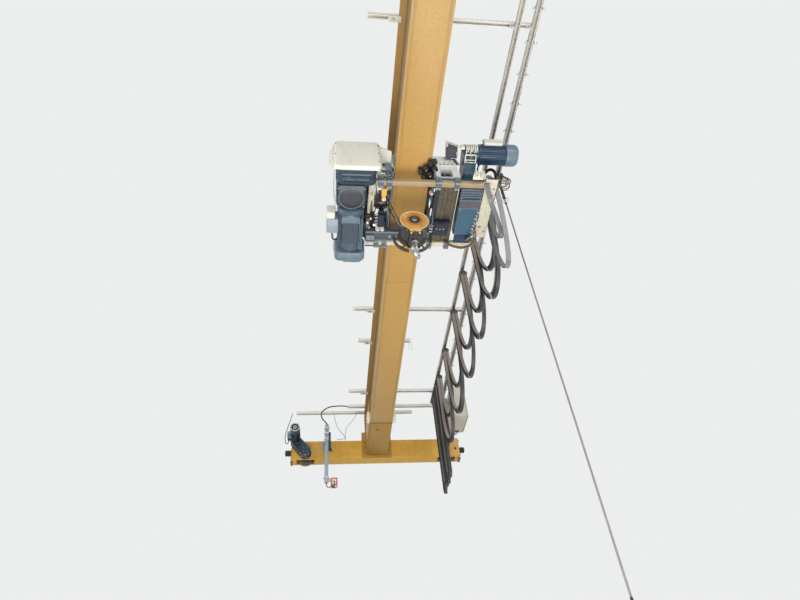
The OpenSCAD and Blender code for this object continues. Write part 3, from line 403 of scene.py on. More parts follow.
# the hook block's rear cover: its orange taken darker and browner as painted shade
enamel("blockShade", (120, 84, 44), (138, 98, 56), (60, 46, 34), (150, 130, 100),
       rough=0.4, coat=0.1, Patch_Scale=7.0, Fading=0.6, Dirt=0.5, Wear=0.7, Scuff=0.5)
enamel("blockBlack", (38, 38, 40), (52, 52, 54), (84, 76, 66), (120, 116, 110),
       rough=0.36, coat=0.2, Patch_Scale=8.0, Dirt=0.35, Wear=0.7, Scuff=0.5)
steel("hookSteel", (188, 188, 190), (120, 120, 122), (90, 68, 50), rough=0.28, Stains=0.35, Grain=0.6)
steel("latchZinc", (206, 206, 208), (170, 170, 172), (130, 116, 96), rough=0.3, Stains=0.2)
sheath("cableBlack", (34, 34, 36), (96, 92, 88), rough=0.42, Dusting=0.3)
sheath("cablePale", (196, 204, 210), (210, 206, 196), rough=0.4, Dusting=0.2)
sheath("pendantYellow", (226, 186, 40), (190, 170, 120), rough=0.42, Dusting=0.35)
addEdgeBands(finishes["flangeYellow"], (150, 122, 78), 0.6)
addNearPale(finishes["castingBlue"], (234, 240, 242), 0.95)


# Mesh tools. A shell is points (n, 3) with a list of faces. Lathes close to a tip of this radius.
tip = 0.0006


def gridFaces(nu, nv, wrapU=False, wrapV=False):
    u = np.arange(nu if wrapU else nu - 1)
    v = np.arange(nv if wrapV else nv - 1)
    a, b = np.meshgrid(u, v, indexing="ij")
    c, d = (a + 1) % nu, (b + 1) % nv
    return np.stack([a * nv + b, c * nv + b, c * nv + d, a * nv + d], axis=-1).reshape(-1, 4).tolist()


def surface(points, wrapU=False, wrapV=False, capU=False):
    # a grid of points (nu, nv, 3) joined into quads; capU closes the first and last rows
    nu, nv = points.shape[:2]
    faces = gridFaces(nu, nv, wrapU, wrapV)
    if capU:
        faces += [list(range(nv))[::-1], list(range((nu - 1) * nv, nu * nv))]
    return points.reshape(-1, 3), faces


def axisFrame(way):
    way = np.array(way, dtype=float) / np.linalg.norm(way)
    guide = np.array([0, 0, 1.0]) if abs(way[2]) < 0.9 else np.array([1.0, 0, 0])
    side = np.cross(guide, way)
    side /= np.linalg.norm(side)
    return way, side, np.cross(way, side)


def lathe(profile, base, way, sides=48):
    # profile points (radius, height) turned about the line from base along way
    way, side, other = axisFrame(way)
    r, h = np.array(profile, dtype=float).T
    t = np.arange(sides) * 2 * pi / sides
    ring = np.cos(t)[:, None] * side + np.sin(t)[:, None] * other
    points = np.array(base, dtype=float) + r[:, None, None] * ring + (h[:, None] * way)[:, None, :]
    return surface(points, wrapV=True, capU=True)


def ringLathe(profile, base, way, sides=48):
    # as lathe, but the profile is a closed loop, so the middle stays open
    points = lathe(profile, base, way, sides)[0]
    return surface(points.reshape(len(profile), sides, 3), wrapU=True, wrapV=True)


def rod(start, end, radius, sides=24):
    span = np.subtract(end, start)
    return lathe([(radius, 0), (radius, np.linalg.norm(span))], start, span, sides)


def slab(outline, axis, low, high):
    # an outline carried straight along one axis; outline points are the other two axes in order x, y, z
    outline = np.array(outline, dtype=float)
    area = np.sum(outline[:, 0] * np.roll(outline[:, 1], -1) - np.roll(outline[:, 0], -1) * outline[:, 1])
    if (area < 0) != (axis == 1):
        outline = outline[::-1]
    points = np.stack([np.insert(outline, axis, at, axis=1) for at in (low, high)])
    return surface(points, wrapV=True, capU=True)


def roundedOutline(low, high, radius, steps=5):
    # quarter circles at the four corners of a rectangle
    (x0, y0), (x1, y1) = low, high
    t = np.linspace(0, pi / 2, steps + 1)
    middles = [(x1 - radius, y1 - radius), (x0 + radius, y1 - radius), (x0 + radius, y0 + radius),
               (x1 - radius, y0 + radius)]
    parts = [np.stack([mx + radius * np.cos(t + k * pi / 2), my + radius * np.sin(t + k * pi / 2)], axis=1)
             for k, (mx, my) in enumerate(middles)]
    return np.concatenate(parts)


def block(low, high, axis=2, radius=0.0):
    kept = [i for i in range(3) if i != axis]
    a, b = [low[i] for i in kept], [high[i] for i in kept]
    if radius:
        outline = roundedOutline(a, b, radius)
    else:
        outline = [(a[0], a[1]), (b[0], a[1]), (b[0], b[1]), (a[0], b[1])]
    return slab(outline, axis, low[axis], high[axis])


def smoothPath(points, per=6):
    # Catmull-Rom: each step is a cubic through its two points, with slopes from their neighbours
    p = np.array(points, dtype=float)
    q = np.concatenate([p[:1], p, p[-1:]])
    t = (np.arange(per) / per)[None, :, None]
    a, b, c, d = (q[i:len(p) - 1 + i][:, None, :] for i in range(4))
    body = b + 0.5 * t * ((c - a) + t * ((2 * a - 5 * b + 4 * c - d) + t * (3 * b - a - 3 * c + d)))
    return np.concatenate([body.reshape(-1, 3), p[-1:]])


def pathFrames(path, guide):
    way = np.gradient(path, axis=0)
    way /= np.linalg.norm(way, axis=1)[:, None]
    side = np.cross(way, np.array(guide, dtype=float))
    side /= np.linalg.norm(side, axis=1)[:, None]
    return side, np.cross(side, way)


def sweep(path, section, guide=(0, 0, 1), girth=None):
    # a section (across, along guide) carried along a path
    path = np.array(path, dtype=float)
    side, up = pathFrames(path, guide)
    section = np.array(section, dtype=float)
    size = np.ones(len(path)) if girth is None else np.array(girth, dtype=float)
    points = path[:, None, :] + size[:, None, None] * (
        section[None, :, :1] * side[:, None, :] + section[None, :, 1:] * up[:, None, :])
    return surface(points, wrapV=True, capU=True)


def circle(radius, sides=12):
    t = np.arange(sides) * 2 * pi / sides
    return np.stack([radius * np.cos(t), radius * np.sin(t)], axis=1)


def tube(points, radius, sides=12, per=6):
    # the guide lies along no tube, so its frames never collapse
    return sweep(smoothPath(points, per), circle(radius, sides), (0.37, 0.21, 0.91))


def drawnIn(low, high, radius, insets, stations, axis=1, steps=6):
    # a rounded rectangle carried along one axis, pulled in by an inset at each station
    rings = []
    for inset, at in zip(insets, stations):
        a, b = (low[0] + inset, low[1] + inset), (high[0] - inset, high[1] - inset)
        r = max(radius - inset, 0.002)
        rings.append(np.insert(roundedOutline(a, b, r, steps), axis, at, axis=1))
    rings = np.stack(rings)
    return surface(rings[::-1] if axis == 1 else rings, wrapV=True, capU=True)


def centred(middle, width, height):
    return ((middle[0] - width / 2, middle[1] - height / 2),
            (middle[0] + width / 2, middle[1] + height / 2))


def squareTube(y, z, side, x0, x1, wall=0.005):
    # the outer and inner outlines carried along X, joined by rings at the two ends
    outer = roundedOutline((y - side / 2, z - side / 2), (y + side / 2, z + side / 2), 0.008)
    inner = roundedOutline((y - side / 2 + wall, z - side / 2 + wall),
                           (y + side / 2 - wall, z + side / 2 - wall), 0.004)
    loops = [(x0, outer), (x1, outer), (x1, inner), (x0, inner)]
    rings = np.stack([np.insert(line, 0, x, axis=1) for x, line in loops])
    return surface(rings[::-1], wrapU=True, wrapV=True)


def linkOutline(first, r1, second, r2, steps=28):
    # the outer line round two circles, in the plane of their centres
    d = np.subtract(second, first)
    lean = np.arctan2(d[1], d[0])
    off = np.arcsin((r2 - r1) / np.linalg.norm(d))
    one = np.linspace(lean + pi / 2 + off, lean + 3 * pi / 2 - off, steps)
    two = np.linspace(lean - pi / 2 - off, lean + pi / 2 + off, steps)
    return np.concatenate([np.stack([first[0] + r1 * np.cos(one), first[1] + r1 * np.sin(one)], axis=1),
                           np.stack([second[0] + r2 * np.cos(two), second[1] + r2 * np.sin(two)], axis=1)])


def linkBody(outline, axis, insets, stations):
    # the outline drawn in by an inset at each station along the axis
    middle = outline.mean(axis=0)
    reach = outline - middle
    size = np.linalg.norm(reach, axis=1)[:, None]
    rings = np.stack([np.insert(middle + reach * (1 - i / size), axis, at, axis=1)
                      for i, at in zip(insets, stations)])
    return surface(rings[::-1] if axis == 1 else rings, wrapV=True, capU=True)


def ridged(radius, at, middle, axis):
    # rings round a line along X or Y: a row of radii for each station along it
    turn = np.linspace(0, 2 * pi, radius.shape[1] + 1)[:-1]
    rows = [middle[0] + radius * np.cos(turn), middle[1] + radius * np.sin(turn)]
    rows.insert(axis, np.repeat(np.array(at)[:, None], len(turn), axis=1))
    rings = np.stack(rows, axis=-1)
    return surface(rings[::-1] if (axis == 1) == (at[-1] > at[0]) else rings, wrapV=True, capU=True)


def arcBand(middle, r0, r1, y0, y1, start, end, steps=48):
    # a ring's rectangular section carried round an arc in the XZ plane
    a = np.radians(np.linspace(start, end, steps))
    corners = [(r0, y0), (r1, y0), (r1, y1), (r0, y1)]
    rows = np.stack([np.stack([middle[0] + r * np.cos(a), np.full(steps, y), middle[1] + r * np.sin(a)],
                              axis=1) for r, y in corners], axis=1)
    return surface(rows[::-1], wrapV=True, capU=True)


def weldBead(start, end, size, guide, ripple=0.009):
    # a half-round bead whose girth swells and dips along the run
    span = np.linalg.norm(np.subtract(end, start))
    s = np.linspace(0, 1, max(int(span / ripple * 2), 12))
    line = np.array(start) + s[:, None] * np.subtract(end, start)
    girth = 1 + 0.14 * np.cos(np.arange(len(s)) * pi) + 0.1 * np.sin(s * span * 23)
    return sweep(line, circle(size, 6), guide, girth=girth)


def flipped(shell, axis):
    points = shell[0].copy()
    points[:, axis] *= -1
    return points, [face[::-1] for face in shell[1]]


def bothEnds(shells):
    return list(shells) + [flipped(shell, 1) for shell in shells]


def bolt(place, way, across=0.024, height=0.013, washer=True):
    # a hexagonal head on a round washer, its rim chamfered
    r = across / 2 / cos(pi / 6)
    shells = []
    lift = 0.0
    if washer:
        shells.append(lathe([(across * 0.95, 0), (across * 0.95, 0.0025), (across * 0.9, 0.003)], place,
                            way, 20))
        lift = 0.003
    shells.append(lathe([(r, lift), (r, lift + height * 0.82), (r * 0.86, lift + height)], place, way, 6))
    return shells


def screw(place, way, r=0.006, h=0.004):
    return lathe([(r, 0), (r, h * 0.5), (r * 0.75, h), (r * 0.3, h), (r * 0.25, h * 0.4)], place, way, 12)


def joined(shells):
    counts = np.cumsum([0] + [len(points) for points, faces in shells])
    points = np.concatenate([points for points, faces in shells])
    faces = [[i + int(start) for i in face] for shell, start in zip(shells, counts) for face in shell[1]]
    return points, faces


def flatten(shells):
    flat = []
    for entry in shells:
        flat += [entry] if isinstance(entry, tuple) else flatten(entry)
    return flat


def finishMesh(thing, bevel, angle, segments):
    mesh = thing.data
    mesh.shade_smooth()
    if bevel:
        mod = thing.modifiers.new("edges", "BEVEL")
        mod.width = bevel
        mod.segments = segments
        mod.limit_method = "ANGLE"
        mod.angle_limit = radians(angle)
        mod.harden_normals = True
        mod.use_clamp_overlap = True
    else:
        mesh.set_sharp_from_angle(angle=radians(angle))


def mergePoints(mesh, reach, dissolve=False):
    work = bmesh.new()
    work.from_mesh(mesh)
    bmesh.ops.remove_doubles(work, verts=work.verts, dist=reach)
    if dissolve:
        bmesh.ops.dissolve_limit(work, angle_limit=radians(1.0), verts=work.verts, edges=work.edges,
                                 use_dissolve_boundaries=False)
    work.to_mesh(mesh)
    work.free()


def placed(name, mesh, finish, body, bevel, angle, segments, replaces):
    thing = bpy.data.objects.new(name, mesh)
    bpy.context.scene.collection.objects.link(thing)
    mesh.materials.clear()
    mesh.materials.append(finishes[finish])
    finishMesh(thing, bevel, angle, segments)
    if body:
        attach(thing, body)
    if replaces:
        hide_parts(replaces)
    return thing


def piece(name, shells, finish, body, bevel=0.0, replaces="", angle=35, segments=2, merge=True):
    points, faces = joined(flatten(shells))
    mesh = bpy.data.meshes.new(name)
    mesh.from_pydata(points.tolist(), [], faces)
    if merge:
        mergePoints(mesh, 1e-6)
    return placed(name, mesh, finish, body, bevel, angle, segments, replaces)


bodyOf = {node: body for body, nodes in frame["record"]["behaviour"]["bodies"].items() for node in nodes}


def dressed(node, finish, bevel, angle=32):
    # the solid's own mesh, merged, its flat triangles dissolved and its edges eased
    name = node + ".dressed"
    mesh = frame["nodes"][node].data.copy()
    mesh.name = name
    mergePoints(mesh, 2e-6, dissolve=True)
    placed(name, mesh, finish, bodyOf[node], bevel, angle, 2, node)


print("finishes made:", len(finishes))


# Control pendant: the cable hangs from its carrier, and the push-button station is its far end
pendant = {
    "x": 0.98, "y": 1.67, "top": 0.42, "low": -3.23, "cable": 0.014,
    "stationLength": 0.42, "stationWidth": 0.084, "stationDepth": 0.074, "buttons": 7,
    "route": [
        (980, 1670, 420), (980, 1670, 400), (980.5, 1670, 370), (981, 1670.5, 330), (981.5, 1671, 270),
        (981.5, 1671.5, 190), (981, 1671.5, 90), (980, 1671, -30), (979, 1670, -180), (978.5, 1669, -360),
        (978, 1668.5, -560), (978, 1668.5, -780), (978.5, 1669, -1020), (979.5, 1669.5, -1270),
        (980.5, 1670, -1530), (981, 1670.5, -1790), (981.5, 1670.5, -2050), (981.5, 1670.5, -2300),
        (981, 1670, -2540), (980.5, 1670, -2760), (980, 1670, -2950), (980, 1670, -3100),
        (980, 1670, -3190), (980, 1670, -3230), (980, 1670, -3330), (980, 1670, -3430), (980, 1670, -3530),
    ],
}


def makePendant(p):
    route = np.array(p["route"]) / 1000
    line = smoothPath(route, 4)
    x, y, low = p["x"], p["y"], p["low"]
    cable = piece("pendantCable", [sweep(line, circle(p["cable"] / 2, 16), (1, 0, 0))], "cableGrey",
                  "pendant",
                  replaces="pendant_cable", angle=60)
    w, d, bottom = p["stationWidth"] / 2, p["stationDepth"] / 2, low - p["stationLength"]
    # the housing is a rounded outline carried down, drawn in at its shoulders
    z = np.array([0, 0.004, 0.016, 0.035, 0.05, 0.37, 0.395, 0.412, 0.42])
    size = np.array([0.55, 0.68, 0.8, 0.9, 1.0, 1.0, 0.96, 0.86, 0.6])
    outline = roundedOutline((-w, -d), (w, d), 0.016, 6)
    rings = np.concatenate([outline[None] * size[:, None, None],
                            np.repeat(-z[:, None, None], len(outline), axis=1)], axis=2)
    housing = surface(rings[::-1] + np.array([x, y, low]), wrapV=True, capU=True)
    body = piece("pendantStation", [housing], "pendantYellow", "pendant",
                 replaces="pendant_station",
                 angle=50)
    z0 = low - 0.085
    step = (p["stationLength"] - 0.13) / (p["buttons"] - 1)
    spots = [z0 - i * step for i in range(p["buttons"])]
    rims = [lathe([(0.0155, -0.002), (0.0155, 0.004), (0.0135, 0.006), (0.0125, 0.003), (0.0125, -0.002)],
                  (x, y - d, s), (0, -1, 0), 28) for s in spots]
    domes = [lathe([(0.011, 0), (0.011, 0.005), (0.0085, 0.008), (0.004, 0.0092), (tip, 0.0095)],
                   (x, y - d, s), (0, -1, 0), 24) for s in spots]
    seam = slab(np.array([(-w - 0.0006, -0.0012), (w + 0.0006, -0.0012), (w + 0.0006, 0.0012),
                          (-w - 0.0006, 0.0012)])
                + np.array([x, y]), 2, bottom + 0.03, low - 0.05)
    screws = [screw((x + sx * (w - 0.008), y - d, zz), (0, -1, 0), 0.0035, 0.002)
              for sx in (-1, 1) for zz in (low - 0.058, bottom + 0.032)]
    piece("pendantRims", [rims, seam], "cableBlack", "pendant")
    piece("pendantButtons", [domes[1:]], "cableBlack", "pendant", angle=60)
    stop = lathe([(0.012, 0), (0.012, 0.006), (0.017, 0.008), (0.0185, 0.013), (0.016, 0.017),
                  (0.006, 0.0185), (tip, 0.0187)],
                 (x, y - d, spots[0]), (0, -1, 0), 28)
    piece("pendantStopButton", [stop], "stopRed", "pendant", angle=60)
    piece("pendantScrews", screws, "boltZinc", "pendant")
    # the gland tapers up the cable
    gland = lathe([(0.02, 0), (0.02, 0.008), (0.016, 0.01), (0.013, 0.022), (0.0095, 0.036), (0.0078, 0.05),
                   (0.0068, 0.05)],
                  (x, y, low - 0.004), (0, 0, 1), 28)
    glandPiece = piece("pendantGland", [gland], "cableBlack", "pendant", angle=60)


makePendant(pendant)


# Hoist on the trolley's left: cover, gearbox, motor, terminal box, drum and rods
hoist = {
    "coverMiddle": (-0.475, -0.015), "coverSide": 0.372, "coverFront": 0.95, "gearFront": 1.04,
    "casting": 1.15,
    "gearMiddle": (-0.48, 0.065), "gearWidth": 0.33, "gearHeight": 0.47, "axis": (-0.515, -0.13),
    "bodyRadius": 0.113,
    "drumAxis": (-0.455, 0.19), "drumRadius": 0.104, "drumLength": 0.6, "groove": 0.012,
}


def makeHoistCover(h):
    low, high = centred(h["coverMiddle"], h["coverSide"], h["coverSide"])
    y = h["coverFront"]
    shell = drawnIn(low, high, 0.048, (0.022, 0.012, 0.005, 0.001, 0, 0, 0.004, 0.004, 0.03),
                    (y, y + 0.0015, y + 0.005, y + 0.011, y + 0.018, y + 0.027, y + 0.028, y + 0.035,
                     y + 0.035))
    x, z = h["coverMiddle"]
    w = h["coverSide"] / 2
    cheek = slab([(x - w - 0.035, z - 0.025), (x - w, z - 0.1), (x + w - 0.01, z - 0.1), (x + w, z - w / 2),
                  (x + w, z + w / 2),
                  (x + w - 0.01, z + w - 0.01), (x - w, z + w - 0.01), (x - w - 0.035, z + 0.045)], 1,
                 y + 0.035, h["gearFront"])
    piece("hoistCover", [shell], "coverWhite", "trolley", replaces="hoist_enclosure",
          angle=40)
    piece("hoistCoverCheeks", [cheek], "coverWhite", "trolley", bevel=0.003)
    spots = [(x - w + 0.014, 0.125), (x - w + 0.014, -0.03), (x + w - 0.014, 0.11), (x + w - 0.014, 0.0),
             (x + w - 0.014, -0.12)]
    piece("hoistCoverScrews", [screw((sx, y + 0.006, sz), (0, -1, 0), 0.0075, 0.006) for sx, sz in spots],
          "cableBlack", "trolley")


def makeHoistGearbox(h):
    low, high = centred(h["gearMiddle"], h["gearWidth"], h["gearHeight"])
    y0, y1 = h["gearFront"], h["casting"]
    shell = drawnIn(low, high, 0.06, (0.004, 0, 0, 0.004, 0.016, 0.02, 0.016, 0.005, 0, 0, 0.003),
                    (y0, y0 + 0.004, y0 + 0.02, y0 + 0.023, y0 + 0.03, y0 + 0.052, y0 + 0.076, y1 - 0.028,
                     y1 - 0.024, y1 - 0.003, y1))
    piece("hoistGearbox", [shell], "deepBlue", "trolley", replaces="hoist_gearbox", angle=50)
    foot = drawnIn((low[0] + 0.012, low[1]), (high[0] - 0.012, low[1] + 0.062), 0.02, (0.004, 0, 0, 0.004),
                   (y0 - 0.055, y0 - 0.05, y0 - 0.004, y0))
    piece("hoistGearboxFoot", [foot], "deepBlue", "trolley", angle=50)
    bolts = []
    for sx in (low[0] + 0.05, low[0] + 0.165, high[0] - 0.05):
        bolts += bolt((sx, y1 - 0.03, low[1] + 0.012), (0, -1, 0), 0.011, 0.006)
    for sz in (-0.06, 0.06, 0.18):
        bolts += bolt((low[0] + 0.012, y1 - 0.03, sz), (0, -1, 0), 0.011, 0.006)
        bolts += bolt((high[0] - 0.012, y1 - 0.03, sz), (0, -1, 0), 0.011, 0.006)
    piece("hoistGearboxBolts", bolts, "motorBlue", "trolley")
    # oil plug and breather
    plugs = [lathe([(0.017, 0), (0.017, 0.006), (0.011, 0.008), (0.011, 0.014), (0.009, 0.016)],
                   (low[0] + 0.1, y0 + 0.05, low[1] + 0.018), (0, 0, -1), 6),
             lathe([(0.012, 0), (0.012, 0.014), (0.018, 0.016), (0.018, 0.026), (0.012, 0.032)],
                   (h["gearMiddle"][0] + 0.06, y0 + 0.052, high[1] - 0.022), (0, 0, 1), 24)]
    piece("hoistOilPlugs", plugs, "motorBlue", "trolley")


def makeHoistMotor(h):
    x, z = h["axis"]
    y = h["casting"]
    r = h["bodyRadius"]
    low, high = (x - 0.125, z - 0.05), (x + 0.125, 0.04)
    casting = drawnIn(low, high, 0.034, (0.003, 0, 0, 0.004, 0.012, 0.026),
                      (y, y + 0.004, y + 0.19, y + 0.205, y + 0.228, y + 0.25))
    # cooling ribs: the radius swells and falls around the body, and not at all on the flat below
    t = np.linspace(0, 2 * pi, 289)[:-1]
    rib = 0.007 * np.clip(np.cos(t * 36) * 2.2, -1, 1) * (np.abs(np.sin((t - 1.5 * pi) / 2)) > 0.34)
    end = 1 - 0.06 * ((np.arange(9) == 0) | (np.arange(9) == 8))
    body = ridged((r - 0.008 + rib[None, :]) * end[:, None], np.linspace(y + 0.252, y + 0.65, 9), (x, z), 1)
    neck = lathe([(0.06, -0.021), (0.09, -0.019), (r - 0.003, -0.003), (r, 0.004), (r, 0.018),
                  (r - 0.008, 0.022)], (x, y + 0.25, z), (0, 1, 0), 64)
    piece("hoistMotor", [body, neck], "motorBlue", "trolley", replaces="hoist_motor",
          angle=40)
    piece("hoistMotorCasting", [casting], "motorCasting", "trolley", angle=40)
    peak = [(x - 0.074, y + 0.275), (x, y + 0.245), (x + 0.074, y + 0.275), (x + 0.074, y + 0.33),
            (x - 0.074, y + 0.33)]
    piece("hoistMotorPeak", [slab(peak, 2, z - r - 0.006, z - r + 0.03)], "fanBlue", "trolley",
          bevel=0.002)
    panelLow, panelHigh = (x - 0.068, y + 0.325), (x + 0.068, y + 0.55)
    panel = drawnIn(panelLow, panelHigh, 0.008, (0.006, 0.002, 0, 0),
                    (z - r - 0.008, z - r - 0.0075, z - r - 0.004, z - r + 0.03), axis=2)
    strips = [block((x + 0.074 + i * 0.011, y + 0.29, z - r + 0.004),
                    (x + 0.078 + i * 0.011, y + 0.62, z - r + 0.03 + i * 0.006)) for i in range(3)]
    piece("hoistMotorPanel", [panel], "motorPanel", "trolley", angle=50)
    piece("hoistMotorEdges", [strips], "fanBlue", "trolley", bevel=0.001)
    # round cover under the front casting, with its pale seal ring
    d = (x, y + 0.12, z - 0.051)
    tilt = (0, 0, -1)
    disc = lathe([(0.098, -0.004), (0.098, 0.001), (0.094, 0.004), (0.06, 0.0055), (0.02, 0.006),
                  (0.0005, 0.006)], d, tilt, 72)
    ring = lathe([(0.098, -0.004), (0.098, 0.003), (0.1, 0.0065), (0.1045, 0.0065), (0.107, 0.003),
                  (0.107, -0.004)], d, tilt, 72)
    piece("hoistRoundCover", [disc], "coverDark", "trolley", angle=50)
    piece("hoistRoundSeal", [ring], "fanBlue", "trolley", angle=50)
    # fan cover, brake end and its slot
    lowF, highF = centred((x, z), 2 * r + 0.04, 2 * r + 0.01)
    y2 = y + 0.65
    fan = drawnIn(lowF, highF, 0.05, (0.014, 0.004, 0, 0, 0.004, 0.016),
                  (y2 + 0.016, y2 + 0.019, y2 + 0.026, y2 + 0.098, y2 + 0.106, y2 + 0.112))
    waist = lathe([(r - 0.014, 0), (r - 0.014, 0.02)], (x, y2, z), (0, 1, 0), 64)
    lowE, highE = centred((x + 0.02, z - 0.035), 0.17, 0.12)
    brake = drawnIn(lowE, highE, 0.024, (0, 0, 0.004, 0.012),
                    (y2 + 0.108, y2 + 0.134, y2 + 0.141, y2 + 0.144))
    piece("hoistFanCover", [fan, brake], "fanBlue", "trolley", angle=45)
    piece("hoistFanWaist", [waist], "coverDark", "trolley")
    # black slot and grille strips on the brake end and fan cover: the openings' dark insides as painted shade
    slot = drawnIn((x + 0.022, y2 + 0.112), (x + 0.054, y2 + 0.128), 0.005, (0, 0), (z - 0.0966, z - 0.09),
                   axis=2)
    grille = [drawnIn((x - 0.075 + i * 0.022, z - 0.05), (x - 0.063 + i * 0.022, z + 0.07), 0.005, (0, 0),
                      (y2 + 0.1115, y2 + 0.1135)) for i in range(3)]
    piece("hoistFanSlots", [slot, grille], "cableBlack", "trolley")
    seams = [screw((x + sx, y2 + 0.05, z - r - 0.005), (0, 0, -1), 0.006, 0.003) for sx in (-0.09, 0.09)]
    seams += [screw((x + sx, y + yy, z - 0.05), (0, 0, -1), 0.006, 0.004) for sx in (-0.105, 0.105)
              for yy in (0.025, 0.2)]
    piece("hoistMotorScrews", seams, "boltZinc", "trolley")


def makeTerminalBox(h):
    x, z = h["axis"]
    y0, y1 = h["casting"] + 0.28, h["casting"] + 0.49
    left = x - h["bodyRadius"] - 0.09
    lid = drawnIn((left + 0.001, z - 0.05), (x - 0.13, z + 0.06), 0.012, (0.006, 0.001, 0, 0, 0.001),
                  (y0 - 0.002, y0 + 0.001, y0 + 0.006, y0 + 0.055, y0 + 0.058))
    case = drawnIn((left, z - 0.06), (x - 0.1, z + 0.06), 0.014, (0.003, 0, 0, 0.004, 0.01),
                   (y0 + 0.058, y0 + 0.061, y1 - 0.012, y1 - 0.004, y1))
    piece("terminalBox", [case], "terminalGrey", "trolley", replaces="motor_terminal_box",
          angle=45)
    piece("terminalLid", [lid], "coverWhite", "trolley", angle=45)
    dots = [screw((left + sx, y0 + yy, z - 0.0595), (0, 0, -1), 0.005, 0.003) for sx in (0.014, 0.075)
            for yy in (0.075, 0.19)]
    piece("terminalScrews", dots, "boltZinc", "trolley")
    gx = left + 0.05
    gland = lathe([(0.014, 0), (0.014, 0.012), (0.011, 0.014), (0.0085, 0.026)], (gx, y1, z - 0.01),
                  (0, 1, 0), 12)
    piece("terminalGland", [gland], "cableBlack", "trolley")
    loop = [(gx, y1 + 0.012, z - 0.01), (gx - 0.002, y1 + 0.05, z - 0.012),
            (gx + 0.004, y1 + 0.09, z - 0.02), (gx + 0.03, y1 + 0.11, z - 0.01),
            (gx + 0.055, y1 + 0.1, z + 0.02), (gx + 0.06, y1 + 0.06, z + 0.07),
            (gx + 0.065, y1 - 0.04, z + 0.12), (gx + 0.08, y1 - 0.2, z + 0.16),
            (gx + 0.1, y1 - 0.36, z + 0.2), (gx + 0.13, y1 - 0.46, z + 0.235)]
    piece("terminalCable", [tube(loop, 0.0065)], "cableBlack", "trolley", angle=60)
    edge = [(x - 0.128, h["casting"] + 0.005, z - 0.03), (x - 0.131, h["casting"] + 0.06, z - 0.04),
            (x - 0.134, h["casting"] + 0.14, z - 0.045),
            (x - 0.13, h["casting"] + 0.22, z - 0.035), (x - 0.124, h["casting"] + 0.27, z - 0.01),
            (x - 0.14, h["casting"] + 0.285, z + 0.005)]
    piece("terminalLead", [tube(edge, 0.005)], "cablePale", "trolley", angle=60)


def makeDrum(h):
    x, z = h["drumAxis"]
    y0 = h["casting"]
    length, pitch = h["drumLength"] - 0.03, h["groove"]
    # the groove is a helix: the radius dips with the angle plus the distance along, one turn to each pitch
    t = np.arange(48) * 2 * pi / 48
    s = np.linspace(0, length, 381)
    dip = 0.0035 * np.cos(2 * pi * s[:, None] / pitch - t[None, :])
    drum = ridged(h["drumRadius"] + dip - 0.002, y0 + 0.015 + s, (x, z), 1)
    piece("ropeDrum", [drum], "drumSteel", "trolley", replaces="rope_drum", angle=70)
    flanges = [lathe([(0.05, 0), (0.122, 0), (0.124, 0.003), (0.124, 0.011), (0.12, 0.014), (0.05, 0.014)],
                     (x, y, z), (0, 1, 0), 72)
               for y in (y0, y0 + h["drumLength"] - 0.014)]
    piece("drumFlanges", flanges, "drumSteel", "trolley")
    # the rope wound on the far part of the drum, and its lead down to the sheave
    w = np.linspace(0, 1, 1600)
    turns = 19
    a = w * turns * 2 * pi
    wound = np.stack([x + (h["drumRadius"] + 0.006) * np.cos(a), y0 + 0.04 + w * turns * pitch,
                      z - (h["drumRadius"] + 0.006) * np.sin(a)], axis=1)
    piece("drumRope", [sweep(wound, circle(0.0048, 7), (0, 1, 0))], "wireRope", "trolley",
          angle=70)
    guideY = y0 + 0.04 + turns * pitch
    nut = lathe([(0.112, -0.02), (0.127, -0.018), (0.128, 0.018), (0.112, 0.02)], (x, guideY, z), (0, 1, 0),
                48)
    piece("drumRopeGuide", [nut], "cableBlack", "trolley", angle=50)


